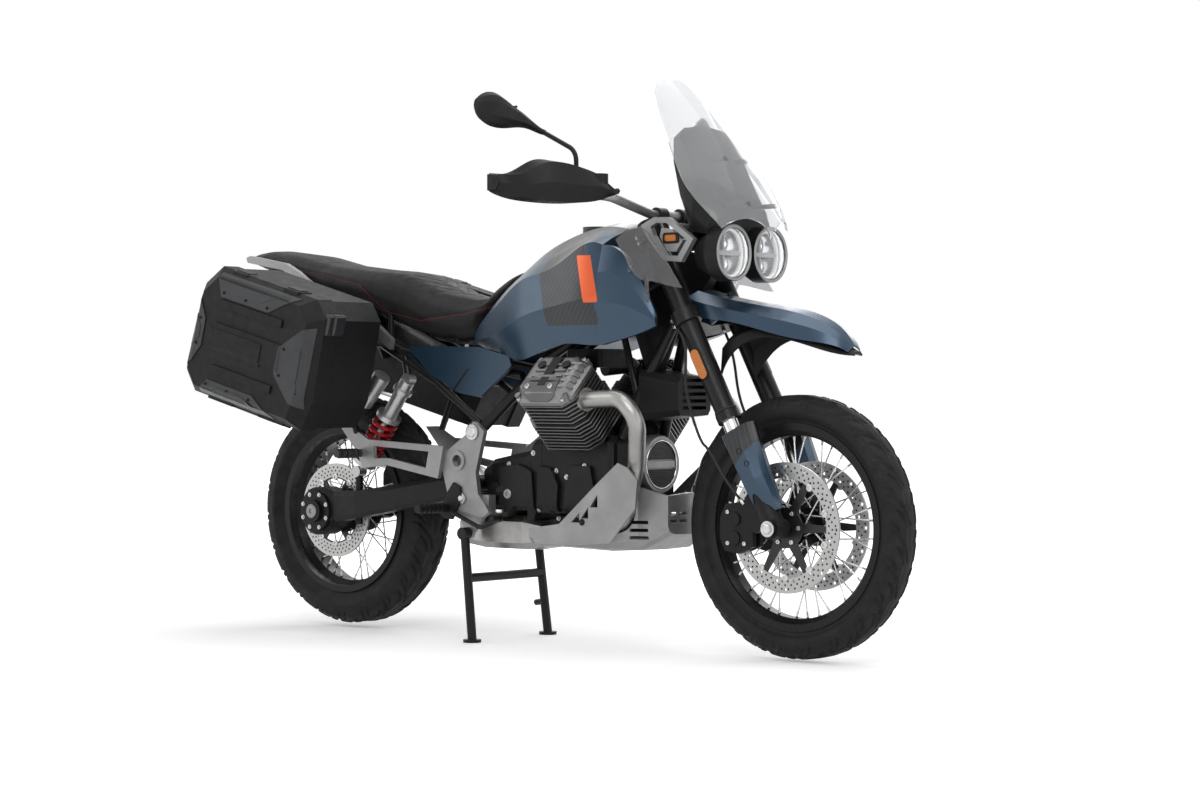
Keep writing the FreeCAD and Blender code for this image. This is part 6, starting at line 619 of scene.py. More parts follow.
class Heap:
    """Many small forms gathered in one mesh. Each form gives the heap back, so that calls can be chained."""

    def __init__(self):
        self.corners = []
        self.faces = []

    def add(self, corners, faces):
        start = len(self.corners)
        self.corners += [tuple(c) for c in corners]
        self.faces += [tuple(start + i for i in f) for f in faces]
        return self

    def turned(self, base, way, profile, sides=16, ends="closed"):
        """A form of revolution of (radius, distance along way) pairs, with closed, open or joined ends."""
        way = Vector(way).normalized()
        across = way.orthogonal().normalized()
        other = way.cross(across)
        corners = []
        for radius, rise in profile:
            corners += [Vector(base) + way * rise + across * a + other * b for a, b in circle(sides, radius)]
        rings = len(profile)
        faces = []
        for ring in range(rings if ends == "joined" else rings - 1):
            low, high = ring * sides, (ring + 1) % rings * sides
            for k in range(sides):
                l = (k + 1) % sides
                faces.append((low + k, low + l, high + l, high + k))
        if ends == "closed":
            last = (rings - 1) * sides
            faces.append(tuple(range(sides - 1, -1, -1)))
            faces.append(tuple(range(last, last + sides)))
        return self.add(corners, faces)

    def hoop(self, base, way, inner, outer, low, high, sides=64):
        profile = [(inner, low), (outer, low), (outer, high), (inner, high)]
        return self.turned(base, way, profile, sides, "joined")

    def bolt(self, base, way, radius=0.006, height=0.005):
        """A flanged hexagon screw with a bevelled head, sunk a little into what it holds."""
        base = Vector(base) - Vector(way).normalized() * 0.001
        self.turned(base, way, [(radius * 1.45, 0), (radius * 1.45, 0.0022), (radius * 1.2, 0.0028)], 20)
        head = [(radius, 0.0022), (radius, height * 0.85), (radius * 0.82, height + 0.001)]
        return self.turned(base, way, head, 6)

    def cap_screw(self, base, way, radius=0.006, height=0.006):
        """A round socket screw with a hollow in its head."""
        base = Vector(base) - Vector(way).normalized() * 0.001
        head = [(radius, 0), (radius, height * 0.8), (radius * 0.86, height), (radius * 0.5, height),
                (radius * 0.46, height * 0.45)]
        return self.turned(base, way, head, 18)

    def bar(self, start, end, radius, sides=10):
        way = Vector(end) - Vector(start)
        return self.turned(start, way, [(radius, 0), (radius, way.length)], sides)

    def box(self, centre, axes, halves):
        along, across, up = (axis * half for axis, half in zip(axes, halves))
        ends = (-1, 1)
        corners = [centre + along * a + across * b + up * c for a in ends for b in ends for c in ends]
        return self.add(corners, [(0, 1, 3, 2), (4, 6, 7, 5), (0, 4, 5, 1), (2, 3, 7, 6), (0, 2, 6, 4),
                (1, 5, 7, 3)])

    def slab(self, centre, along, up, half_along, half_up, corner, thick, steps=6):
        """A plate with round corners that stands out by thick along its own normal."""
        out = along.cross(up)
        ring = []
        for turn, (sa, su) in enumerate(((1, 1), (-1, 1), (-1, -1), (1, -1))):
            middle = Vector(centre) + along * (sa * (half_along - corner)) + up * (su * (half_up - corner))
            for k in range(steps + 1):
                angle = math.pi / 2 * (turn + k / steps)
                ring.append((middle, along * math.cos(angle) + up * math.sin(angle)))
        corners = []
        for rise, inset in ((0, 0), (thick * 0.7, 0), (thick, thick * 0.35)):
            corners += [middle + way * (corner - inset) + out * rise for middle, way in ring]
        count = len(ring)
        faces = [tuple(reversed(range(count))), tuple(range(2 * count, 3 * count))]
        for low in (0, count):
            for k in range(count):
                l = (k + 1) % count
                faces.append((low + k, low + l, low + count + l, low + count + k))
        return self.add(corners, faces)

    def made(self, name, finish, body="chassis", smooth=False, bevel=None, slot=None):
        return piece(name, self.corners, self.faces, finish, body, smooth, bevel, slot)


def flipped(outline, flip):
    """The outline as it is seen from the other side, still turning the same way."""
    return outline if flip > 0 else [(-a, b) for a, b in reversed(outline)]


def divided(outline, step):
    """A flat form of the outline, cut in both directions so that it can follow a curved surface."""
    form = bmesh.new()
    ring = []
    for (x1, y1), (x2, y2) in zip(outline, outline[1:] + outline[:1]):
        count = max(1, int(math.hypot(x2 - x1, y2 - y1) / step))
        for k in range(count):
            ring.append(form.verts.new((x1 + (x2 - x1) * k / count, y1 + (y2 - y1) * k / count, 0)))
    form.faces.new(ring)
    for axis, normal in enumerate((X, Y)):
        place = min(p[axis] for p in outline) + step
        while place < max(p[axis] for p in outline):
            bmesh.ops.bisect_plane(form, geom=form.verts[:] + form.edges[:] + form.faces[:],
                    plane_co=normal * place, plane_no=normal)
            place += step
    bmesh.ops.triangulate(form, faces=form.faces[:])
    form.verts.ensure_lookup_table()
    flat = [(v.co.x, v.co.y) for v in form.verts]
    faces = [[v.index for v in face.verts] for face in form.faces]
    form.free()
    return flat, faces


def skin(name, node, face, outline, thick, finish, body="chassis", step=0.02, bevel=None):
    """A plate that lies on a CAD node's surface. Its face is a base and the ways across and up."""
    base, across, up = face
    out = across.cross(up)
    flat, faces = divided(outline, step)
    starts = [base + across * a + up * b for a, b in flat]
    hits = [strike(node, start + out * 0.25, -out) for start in starts]
    corners = []
    for (a, b), start, hit in zip(flat, starts, hits):
        if hit:
            corners.append(hit[0])
            continue
        near = min((math.hypot(x - a, y - b), k) for k, (x, y) in enumerate(flat) if hits[k])[1]
        corners.append(start + out * (hits[near][0] - base).dot(out))
    count = len(corners)
    shell = faces + [[i + count for i in reversed(f)] for f in faces]
    edges = dict.fromkeys((i, j) for f in faces for i, j in zip(f, f[1:] + f[:1]))
    shell += [(j, i, i + count, j + count) for i, j in edges if (j, i) not in edges]
    top = [c + out * (SKIN_LIFT + thick) for c in corners]
    foot = [c - out * SKIN_SINK for c in corners]
    return piece(name, top + foot, shell, finish, body, False, bevel)


# Tyres

# Each slot of the tread: its start and sweep along the pitch, where it begins and ends across, and its width.
TREAD_SLOTS = ((0, 0.8, 0.92, 0.14, 0.0038), (0.45, 0.45, 0.66, 0.34, 0.0032), (0.72, 0.3, 0.98, 0.6, 0.0028))
TREAD_DEPTH = 0.0055
TREAD_STEPS = 30


def section_of(node, axle, seat, outer, half_rim):
    """The outer line of the CAD tyre as sides and radii, bead to bead."""
    centre = (seat + outer) / 2
    reach = {}
    low = math.atan2(half_rim, seat - centre)
    for vert in frame["nodes"][node].data.vertices:
        radius = math.hypot(vert.co.x - axle.x, vert.co.z - axle.z) - centre
        angle = math.atan2(vert.co.y, radius)
        reach.setdefault(round(angle * 60), []).append((math.hypot(vert.co.y, radius), angle))
    known = sorted((max(group)[1], max(group)[0]) for group in reach.values())
    angles = np.linspace(-low, low, 96)
    lengths = np.interp(angles, [k[0] for k in known], [k[1] for k in known])
    soft = np.convolve(np.pad(lengths, 2, mode="edge"), np.array([1, 2, 3, 2, 1]) / 9, "valid")
    return soft * np.sin(angles), centre + soft * np.cos(angles)


def groove_depth(along, side, pitch, half):
    """How far the tread is cut at a place: curved slots that sweep from the shoulders to the crown."""
    depth = np.zeros(np.broadcast(along, side).shape)
    for flip, shift in ((1, 0.0), (-1, 0.5)):
        for start, sweep, first, last, wide in TREAD_SLOTS:
            for share in np.linspace(0, 1, 26):
                u = pitch * (start + shift + sweep * share ** 1.7)
                v = flip * half * (first + (last - first) * share)
                width = wide * (0.55 + 0.45 * math.sin(math.pi * min(1, share + 0.12)))
                gap = np.abs((along - u + pitch / 2) % pitch - pitch / 2)
                far = np.hypot(gap, side - v)
                depth = np.maximum(depth, np.clip((width * 1.5 - far) / (width * 0.6), 0, 1))
    return depth


def tyre(node, body, axle, outer, seat, half_rim, pitches, half):
    sides, radii = section_of(node, axle, seat, outer, half_rim)
    lengths = np.concatenate([[0.0], np.cumsum(np.hypot(np.diff(sides), np.diff(radii)))])
    coarse = np.linspace(0, 0.24, 10, endpoint=False)
    shares = np.concatenate([coarse, np.linspace(0.24, 0.76, 58), 1 - coarse[::-1]])
    ys = np.interp(shares * lengths[-1], lengths, sides)
    rs = np.interp(shares * lengths[-1], lengths, radii)
    turns = pitches * TREAD_STEPS
    angles = (np.arange(turns) * 2 * math.pi / turns)[:, None]
    pitch = 2 * math.pi * outer / pitches
    cut = groove_depth((np.arange(TREAD_STEPS) * pitch / TREAD_STEPS)[:, None], ys[None, :], pitch, half)
    fade = np.clip((rs - (outer - 0.04)) / 0.012, 0, 1)
    radius = rs[None, :] - np.tile(cut, (pitches, 1)) * TREAD_DEPTH * fade[None, :]
    flank = np.exp(-((rs - (seat + 0.02)) / 0.0016) ** 2) + np.exp(-((rs - (outer - 0.05)) / 0.0014) ** 2)
    y = np.broadcast_to((ys * (1 + 0.012 * flank))[None, :], radius.shape)
    corners = np.stack([axle.x + radius * np.sin(angles), y, axle.z + radius * np.cos(angles)], 2)
    wide = len(shares)
    faces = []
    for i in range(turns):
        low, high = i * wide, (i + 1) % turns * wide
        faces += [(low + k, low + k + 1, high + k + 1, high + k) for k in range(wide - 1)]
    tread = piece(node + "_tread", corners.reshape(-1, 3).tolist(), faces, "tyre_rubber", body, True)
    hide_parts(node)


# Seat

VOXEL = 0.006
SWELL_LIMIT = 0.005
# The side seam, as stations and heights.
SEAM = np.array([(-0.95, 1.012), (-0.788, 0.99), (-0.604, 0.953), (-0.511, 0.88), (-0.375, 0.852),
        (-0.24, 0.868), (-0.12, 0.905)])
CHANNELS = (-0.4, -0.36, -0.32, -0.28)


def apply_modifiers(thing):
    graph = bpy.context.evaluated_depsgraph_get()
    mesh = bpy.data.meshes.new_from_object(thing.evaluated_get(graph))
    old = thing.data
    thing.modifiers.clear()
    thing.data = mesh
    bpy.data.meshes.remove(old)


def seam_height(x):
    return np.interp(x, SEAM[:, 0], SEAM[:, 1])


def seat_relief(places):
    """Sewn channels: along the side seam and across the rider's place."""
    x, y, z = places.T
    relief = -0.0022 * np.exp(-((z - seam_height(x)) / 0.004) ** 2) * (np.abs(y) > 0.05)
    for place in CHANNELS:
        line = place - 0.9 * np.abs(y)
        on_top = (np.abs(y) < 0.1) * (z > seam_height(x) + 0.012)
        relief -= 0.0016 * np.exp(-((x - line) / 0.0035) ** 2) * on_top
    return relief


def make_seat():
    mesh = frame["nodes"]["seat"].data.copy()
    mesh.materials.clear()
    cushion = linked("seat_cover", mesh)
    remesh = cushion.modifiers.new("remesh", "REMESH")
    remesh.mode = "VOXEL"
    remesh.voxel_size = VOXEL
    smooth = cushion.modifiers.new("smooth", "SMOOTH")
    smooth.iterations = 14
    smooth.factor = 0.6
    apply_modifiers(cushion)
    rest = np.array([v.co for v in cushion.data.vertices])
    settings = cushion.modifiers.new("cloth", "CLOTH").settings
    settings.use_pressure = True
    settings.uniform_pressure_force = 4.0
    settings.effector_weights.gravity = 0.0
    settings.tension_stiffness = 40
    settings.compression_stiffness = 40
    for number in range(1, 21):
        bpy.context.scene.frame_set(number)
    apply_modifiers(cushion)
    bpy.context.scene.frame_set(1)
    moved = np.array([v.co for v in cushion.data.vertices]) - rest
    far = np.linalg.norm(moved, axis=1, keepdims=True)
    swollen = rest + moved * np.minimum(1, SWELL_LIMIT / np.maximum(far, 1e-9))
    normals = np.array([v.normal for v in cushion.data.vertices])
    swollen = swollen + normals * seat_relief(swollen)[:, None]
    for vert, place in zip(cushion.data.vertices, swollen):
        vert.co = place
    for face in cushion.data.polygons:
        face.use_smooth = True
    cushion.data.materials.append(finish_of("seat_vinyl"))
    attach(cushion, "chassis")
    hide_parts("seat")
    return cushion


def seat_seams(cushion):
    hull = hull_of(cushion.data)
    thread = Heap()
    for side, label in SIDES:
        line = []
        for x in np.arange(-0.8, -0.13, 0.004):
            start = Vector((x, side * 0.4, float(seam_height(x)) - 0.003))
            place, normal, index, far = hull.ray_cast(start, Y * -side, 0.45)
            if place is not None:
                line.append(place + (normal if normal.y * side > 0 else -normal) * 0.0005)
        for first, second in zip(line[::2], line[1::2]):
            thread.bar(first, second, 0.0009, 6)
    thread.made("seat_stitches", "seam_red", smooth=True)


# Side cases

CASE_MIDDLE = Vector((-0.688, 0, 0.78))
CASE_TILT = math.radians(14.4)
CASE_ALONG = Vector((math.cos(CASE_TILT), 0, -math.sin(CASE_TILT)))
CASE_UP = Vector((math.sin(CASE_TILT), 0, math.cos(CASE_TILT)))
CASE_HALF = (0.24, 0.175)
# Outlines and places on the case's face, in shares of its halves.
CASE_PLATES = {
    "top": [(-0.64, 0.955), (0.66, 0.945), (0.25, 0.6), (-0.53, 0.6)],
    "foot": [(-0.53, -0.7), (0.22, -0.7), (0.56, -0.955), (-0.7, -0.955)],
    "front": [(0.955, 0.6), (0.82, 0.52), (0.525, 0.17), (0.51, -0.28), (0.8, -0.62), (0.955, -0.66)],
    "rear": [(-0.955, 0.58), (-0.955, -0.62), (-0.84, -0.5), (-0.72, -0.22), (-0.72, 0.2), (-0.84, 0.46)],
}
CASE_LABEL = [(-0.61, -0.24), (0.25, -0.24), (0.25, 0.11), (-0.61, 0.11)]
CASE_SCREWS = [(-0.486, 0.678), (-0.125, 0.672), (0.229, 0.67), (0.6, 0.156), (0.59, -0.253),
        (-0.539, -0.777), (-0.181, -0.774), (0.183, -0.78), (-0.8, 0.19), (-0.8, -0.21)]
CASE_STEP = 0.014
CASE_BEVEL = (0.0008, 1, 50)


def case_spot(a, c, side, y):
    return CASE_MIDDLE + CASE_ALONG * (CASE_HALF[0] * a) + CASE_UP * (CASE_HALF[1] * c) + Y * (side * y)


def dress_case(side, label):
    """Plates with raised fields, a bare label place, screws, a hook over its lock, and two latches."""
    lid = "case_lid_" + label
    out = Y * side
    face = (case_spot(0, 0, side, 0.47), CASE_ALONG * -side, CASE_UP)

    def flat(outline):
        return flipped([(CASE_HALF[0] * a, CASE_HALF[1] * c) for a, c in outline], -side)

    for name, outline in CASE_PLATES.items():
        form = flat(outline)
        skin(f"{lid}_plate_{name}", lid, face, form, 0.0022, "case_plate", lid, CASE_STEP, CASE_BEVEL)
        mid_a, mid_c = (sum(p[i] for p in form) / len(form) for i in (0, 1))
        small = [(mid_a + (a - mid_a) * 0.55, mid_c + (c - mid_c) * 0.42) for a, c in form]
        skin(f"{lid}_field_{name}", lid, face, small, 0.0034, "case_plate", lid, CASE_STEP)
    for name, body, reach, half in (("hook", lid, 0.4205, 0.0115), ("lock", "chassis", 0.386, 0.021)):
        foot = case_spot(1.0, 0.66, side, reach) - CASE_ALONG * 0.008
        Heap().slab(foot, Y, CASE_UP, half, 0.028, 0.005, 0.016).made(
            f"{lid}_{name}", "case_plate", body, slot="plastic_black")
    skin(lid + "_label", lid, face, flat(CASE_LABEL), 0.0016, "case_black", lid, CASE_STEP, CASE_BEVEL)
    screws = Heap()
    for place, normal in strikes(lid, [case_spot(a, c, side, 0.6) for a, c in CASE_SCREWS], -out):
        screws.cap_screw(place + out * 0.002, out, 0.0042, 0.004)
    screws.made(f"{lid}_screws", "screw_black", lid, slot="case_black")
    latches = Heap()
    axes = (CASE_ALONG, Y, CASE_UP)
    for a in (-0.42, 0.42):
        middle = case_spot(a, 0.985, side, 0.418)
        latches.box(middle, axes, (0.03, 0.026, 0.007))
        latches.box(middle + CASE_UP * 0.004, axes, (0.024, 0.018, 0.006))
    latches.made(f"{lid}_latches", "plastic_black", lid, bevel=(0.003, 2, 35))


# Lamps

LAMP_HEIGHT = 1.003
LAMP_SIDE = 0.076
LAMP_FRONT = 0.64
LAMP_DEPTH = 0.046
BOWL_RADIUS = 0.0605
LENS_RADIUS = 0.0622
# Outer cone, rim and the wall down to the bowl, as radii and stations.
LAMP_CAN = [(0.004, 0.547), (0.042, 0.547), (0.07, 0.5982), (0.07, LAMP_FRONT), (0.0625, LAMP_FRONT),
        (0.0615, 0.632), (0.058, LAMP_FRONT - LAMP_DEPTH * 0.6), (0.04, LAMP_FRONT - LAMP_DEPTH * 1.1),
        (0.004, LAMP_FRONT - LAMP_DEPTH * 1.25)]
LAMP_CUP = [(0.016, 0), (0.0195, 0.01), (0.0185, 0.01), (0.012, 0.003), (0.005, 0.001)]


def make_lamps():
    """Two lamps: cans, bright bowls with four cups, a silver cross bar, a pale ring and a clear lens."""
    centres = [Vector((0, side * LAMP_SIDE, LAMP_HEIGHT)) for side, label in SIDES]
    cans = Heap()
    for centre in centres:
        cans.turned(centre, X, LAMP_CAN, 64, "joined")
    cans = cans.made("lamp_cans", "plastic_black", bevel=(0.001, 2, 40))
    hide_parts("headlamps")
    bowl = [(BOWL_RADIUS * math.sin(angle), 0.63 - LAMP_DEPTH * 0.8 * math.cos(angle))
            for angle in np.linspace(0.1, math.pi / 2, 14)]
    dome = [(LENS_RADIUS * math.sin(angle), 0.637 + 0.003 * math.cos(angle))
            for angle in np.linspace(0.02, math.pi / 2, 16)]
    for (side, label), centre in zip(SIDES, centres):
        name = f"lamp_{label}_"
        Heap().turned(centre, X, bowl, 64, "open").made(name + "bowl", "bowl", smooth=True)
        ring = Heap().hoop(centre, X, 0.0555, 0.0612, 0.63, 0.635)
        ring.made(name + "ring", "lamp_ring", smooth=True)
        cross = Heap().box(centre + X * 0.627, (X, Y, Z), (0.006, 0.056, 0.0055))
        cross.box(centre + X * 0.62, (X, Y, Z), (0.005, 0.003, 0.053))
        cross.made(name + "cross", "cast_silver", bevel=(0.002, 2, 35))
        cups = Heap()
        for dy, dz in ((-0.025, 0.026), (0.025, 0.026), (-0.025, -0.026), (0.025, -0.026)):
            cups.turned(centre + Vector((0.606, dy, dz)), X, LAMP_CUP, 28)
        cups.made(name + "cups", "slider_chrome", smooth=True)
        Heap().turned(centre, X, dome, 72, "open").made(name + "lens", "lamp_clear", smooth=True)
        rim = Heap().hoop(centre, X, LENS_RADIUS, 0.07, 0.6375, 0.6412)
        rim.made(name + "rim", "cast_silver", smooth=True)
        place = Vector((0.51, side * 0.1625, 1.04))
        base = Heap().slab(place, X * -side, Z, 0.025, 0.0135, 0.006, 0.003)
        base.made(f"indicator_{label}_base", "plastic_black")
        amber = Heap().slab(place + Y * (side * 0.002), X * -side, Z, 0.017, 0.0078, 0.005, 0.0036)
        amber.made(f"indicator_{label}", "amber_lens")


# Engine

CRANK_HEIGHT = 0.474
BANKS = {"right": (-1, 0.172), "left": (1, 0.192)}
COVER_REACH = 0.328
COVER_BEVEL = (0.0012, 2, 50)
COVER_STRIP = [(-0.017, 0.072), (-0.012, -0.045), (0.012, -0.045), (0.017, 0.072)]
COVER_SHIELD = [(-0.062, -0.02), (-0.056, -0.066), (-0.03, -0.078), (0.03, -0.078), (0.056, -0.066),
        (0.05, -0.02), (0.02, -0.01), (-0.02, -0.01)]
COVER_WELLS = [(-0.04, 0.03), (0.04, 0.03)]
SHIELD_SCREWS = [(-0.04, -0.05), (0.036, -0.05)]
COVER_SCREWS = [(-0.072, 0.062), (0.072, 0.062), (-0.072, -0.07), (0.072, -0.07)]
CASE_BOLTS = [(-0.03, 0.43), (-0.01, 0.402), (0.012, 0.378), (0.03, 0.352), (0.06, 0.455), (0.095, 0.455),
        (0.13, 0.44), (0.16, 0.425), (0.165, 0.395), (0.06, 0.33), (0.095, 0.325), (0.128, 0.34),
        (-0.075, 0.47), (-0.075, 0.36), (0.19, 0.47), (0.215, 0.44), (0.215, 0.4), (0.02, 0.5)]
# Covers on the engine case, as thickness and outline.
CASE_COVERS = {
    "gear_cover": (0.01, [(-0.105, 0.33), (0.022, 0.325), (0.03, 0.35), (0.022, 0.452), (-0.03, 0.47),
        (-0.105, 0.462)]),
    "clutch_cover": (0.012, [(0.04, 0.36), (0.075, 0.335), (0.105, 0.35), (0.11, 0.42), (0.085, 0.462),
        (0.045, 0.468)]),
    "timing_cover": (0.009, [(0.135, 0.32), (0.225, 0.32), (0.235, 0.385), (0.215, 0.47), (0.15, 0.47),
        (0.13, 0.4)]),
}
DRAIN_PLUG = [(0.013, 0), (0.013, 0.004), (0.011, 0.006), (0.006, 0.006), (0.005, 0.003)]


def dress_covers():
    """A dark strip, a shield, five ribs and screws on each valve cover."""
    node = "valve_covers"
    bolts = Heap()
    wells = Heap()
    for label, (side, station) in BANKS.items():
        way = Vector((0, side * math.sin(math.pi / 4), math.cos(math.pi / 4)))
        up = Vector((0, -side * math.cos(math.pi / 4), math.sin(math.pi / 4)))
        flip = 1 if X.cross(up).dot(way) > 0 else -1
        face = (Vector((station, 0, CRANK_HEIGHT)) + way * COVER_REACH, X * flip, up)
        name = f"head_{label}_"
        skin(name + "strip", node, face, flipped(COVER_STRIP, flip), 0.004, "engine_black",
             bevel=COVER_BEVEL)
        skin(name + "shield", node, face, flipped(COVER_SHIELD, flip), 0.003, "cover_dark",
             bevel=COVER_BEVEL)
        for k in range(5):
            low = -0.05 + 0.02 * k
            rib = [(0.058, low), (0.058, low + 0.007), (0.086, low + 0.019), (0.086, low + 0.012)]
            skin(f"{name}rib_{k}", node, face, flipped(rib, flip), 0.004, "engine_grey")

        def hits(places):
            return strikes(node, [face[0] + X * a + up * b + way * 0.1 for a, b in places], -way)

        for place, normal in hits(COVER_WELLS):
            wells.turned(place - way * 0.0005, way, [(0.0125, 0), (0.0125, 0.0016)], 28)
        for place, normal in hits(SHIELD_SCREWS):
            bolts.cap_screw(place + way * 0.003, way, 0.0075)
        for place, normal in hits(COVER_SCREWS):
            bolts.cap_screw(place, way)
    bolts.made("head_bolts", "zinc")
    wells.made("head_wells", "screw_black", slot="engine_black")


def dress_case_castings():
    """Ribs, covers, screws and a drain plug on the black castings."""
    node = "engine_case"
    for side, label in SIDES:
        out = Y * side
        bolts = Heap()
        for place, normal in side_hits(node, side, CASE_BOLTS):
            bolts.bolt(place, normal, 0.0048, 0.005)
        bolts.made(f"engine_bolts_{label}", "zinc")
        face = (Y * (side * 0.2), X * -side, Z)
        for name, (thick, outline) in CASE_COVERS.items():
            skin(f"engine_{name}_{label}", node, face, flipped(outline, -side), thick, "engine_black",
                 step=0.018, bevel=(0.0015, 2, 50))
        ribs = Heap()
        for x in (-0.085 + 0.02 * k for k in range(6)):
            ends = [place + out * 0.01 for place, normal in side_hits(node, side, [(x, 0.345), (x, 0.442)])]
            if len(ends) == 2:
                ribs.bar(*ends, 0.0028, 8)
        ribs.made(f"engine_ribs_{label}", "engine_black", smooth=True)
        for place, normal in side_hits(node, side, [(-0.07, 0.392)]):
            plug = Heap().turned(place + out * 0.009, out, DRAIN_PLUG, 24)
            plug.made(f"engine_plug_{label}", "cast_silver")


def dress_front_cover():
    """A bright ring around two ribbed fields and a silver bar."""
    centre = Vector((0.317, 0, CRANK_HEIGHT))
    ring = Heap().hoop(centre, X, 0.0598, 0.0628, 0.031, 0.0352, 72)
    ring.made("cover_ring", "slider_chrome", smooth=True)
    face = Heap()
    count, radius = 40, 0.0568
    start = math.asin(0.0125 / radius)
    arc = [(radius * math.cos(t), radius * math.sin(t)) for t in np.linspace(start, math.pi - start, count)]
    faces = [tuple(range(count)), tuple(reversed(range(count, 2 * count)))]
    faces += [(k, (k + 1) % count, (k + 1) % count + count, k + count) for k in range(count)]
    for sign in (1, -1):
        face.add([centre + Vector((x, y, sign * z)) for x in (0.0322, 0.026) for y, z in arc], faces)
    face.made("cover_face", "ribbed_black")
    bar = Heap().box(centre + X * 0.0305, (X, Y, Z), (0.003, 0.056, 0.0095))
    bar.made("cover_bar", "cast_silver", bevel=(0.0012, 2, 35))


# Wheels

BUTTON = [(0.0092, -0.001), (0.0092, 0.0018), (0.007, 0.0026), (0.004, 0.0026), (0.0036, 0.0006)]
NIPPLE = [(0.0034, 0), (0.0034, 0.004), (0.0028, 0.005), (0.0028, 0.014), (0.002, 0.015)]


def dress_wheel(label, body, axle, disc, disc_ring):
    """Screws at the hub and buttons at the carrier's edge, on each side that the brake disc shows."""
    screws = Heap()
    for side in (-1, 1):
        out = Y * side

        for count, radius, shift in ((6, 0.04, 0.5), (10, disc_ring, 0.0)):
            starts = [axle + Vector((x, side * 0.3, z)) for z, x in circle(count, radius, shift)]
            for place, normal in strikes(disc, starts, -out, 0.3):
                if radius == disc_ring:
                    screws.turned(place, out, BUTTON, 20)
                else:
                    screws.cap_screw(place, out, 0.0058)
    screws.made(f"{label}_disc_bolts", "zinc", body)


def nipples(label, body, node, axle):
    """A sleeve where each spoke ends at the rim, found from the spoke's own end."""
    form = bmesh.new()
    form.from_mesh(frame["nodes"][node].data)
    bmesh.ops.remove_doubles(form, verts=form.verts, dist=1e-6)
    seen = set()
    heap = Heap()
    for vert in form.verts:
        if vert in seen:
            continue
        seen.add(vert)
        stack, spoke = [vert], []
        while stack:
            item = stack.pop()
            spoke.append((math.hypot(item.co.x - axle.x, item.co.z - axle.z), item.co.copy()))
            fresh = {edge.other_vert(item) for edge in item.link_edges} - seen
            seen |= fresh
            stack += fresh
        far, near = max(r for r, co in spoke), min(r for r, co in spoke)
        outer = [co for r, co in spoke if r > far - 0.004]
        inner = [co for r, co in spoke if r < near + 0.004]
        tip = sum(outer, Vector()) / len(outer)
        way = (sum(inner, Vector()) / len(inner) - tip).normalized()
        heap.turned(tip - way * 0.001, way, NIPPLE, 10)
    form.free()
    heap.made(f"{label}_nipples", "zinc", body, True)


# Fork

RAKE = math.radians(28)
FORK_FOOT = Vector((0.74903, 0, 0.30911))
FORK_UP = Vector((-math.sin(RAKE), 0, math.cos(RAKE)))
FORK_AHEAD = Vector((math.cos(RAKE), 0, math.sin(RAKE)))
LEG_AHEAD = 0.043
GUARD_WELL = [(0.0075, 0), (0.0075, 0.0014), (0.006, 0.0014), (0.0055, 0.0004)]


def fork_spot(ahead, y, height):
    """A place by its distances ahead of and up the fork, above the front axle."""
    return FORK_FOOT + FORK_AHEAD * ahead + FORK_UP * height + Y * y


def dress_fork():
    """Seals and yoke screws on the legs, axle ends, reflectors, and wells on the fork guards."""
    seals = Heap()
    bolts = Heap()
    for side, label in SIDES:
        out = Y * side
        leg = fork_spot(LEG_AHEAD, side * 0.105, 0)
        for height, radius, tall in ((0.3, 0.0292, 0.01), (0.318, 0.0286, 0.006)):
            seals.hoop(leg + FORK_UP * height, FORK_UP, 0.0268, radius, 0, tall, 40)
        heights = [yoke + step for yoke in (0.584, 0.822) for step in (-0.008, 0.008)]
        starts = [leg + FORK_UP * height - FORK_AHEAD * 0.034 + out * 0.2 for height in heights]
        for place, normal in strikes("fork_yokes", starts, -out):
            bolts.cap_screw(place, out, 0.0055)
        for place, normal in side_hits("axle_carriers", side, [(FRONT_AXLE.x, FRONT_AXLE.z)], 0.4):
            bolts.bolt(Vector((FRONT_AXLE.x, place.y, FRONT_AXLE.z)), out, 0.0135, 0.009)
    seals.made("fork_seals", "hose_rubber", "steering", True)
    bolts.made("fork_bolts", "zinc", "steering")
    for side, label in SIDES:
        out = Y * side
        middle = fork_spot(LEG_AHEAD, side * 0.1305, 0.452)
        base = Heap().slab(middle, FORK_AHEAD * -side, FORK_UP, 0.015, 0.0425, 0.0148, 0.0045)
        base.made(f"reflector_{label}_base", "plastic_black", "steering")
        amber = Heap().slab(middle + out * 0.0035, FORK_AHEAD * -side, FORK_UP, 0.0125, 0.0395, 0.0123, 0.004)
        amber.made(f"reflector_{label}", "amber_lens", "steering")
        wells = Heap()
        places = [fork_spot(0.055, 0, 0.205).xz, fork_spot(0.062, 0, 0.168).xz]
        for place, normal in side_hits("fork_guards", side, places, 0.4):
            wells.turned(place - normal * 0.0005, normal, GUARD_WELL, 24)
        wells.made(f"guard_wells_{label}", "screw_black", "steering")


def dress_calipers():
    low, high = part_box("front_calipers")
    size = high - low
    places = [(low.x + size.x * a, low.z + size.z * b) for a in (0.25, 0.75) for b in (0.2, 0.8)]
    for side, label in SIDES:
        heap = Heap()
        for place, normal in side_hits("front_calipers", side, places, 0.4):
            heap.cap_screw(place, Y * side, 0.0055, 0.005)
        heap.made(f"caliper_bolts_{label}", "zinc", "steering")


# Brake hoses: their routes in millimetres.
HOSES = {
    "right": [(488, -124, 826), (512, -132, 815), (537, -140, 776), (539, -140, 746), (534, -138, 660),
        (580, -136, 537), (606, -134, 520), (661, -130, 433), (707, -125, 387)],
    "left": [(500, 62, 822), (520, 61, 790), (538, 60, 735), (546, 60, 679), (555, 60, 644), (568, 60, 611),
        (587, 60, 576)],
}
HOSE_RADIUS = 0.0035


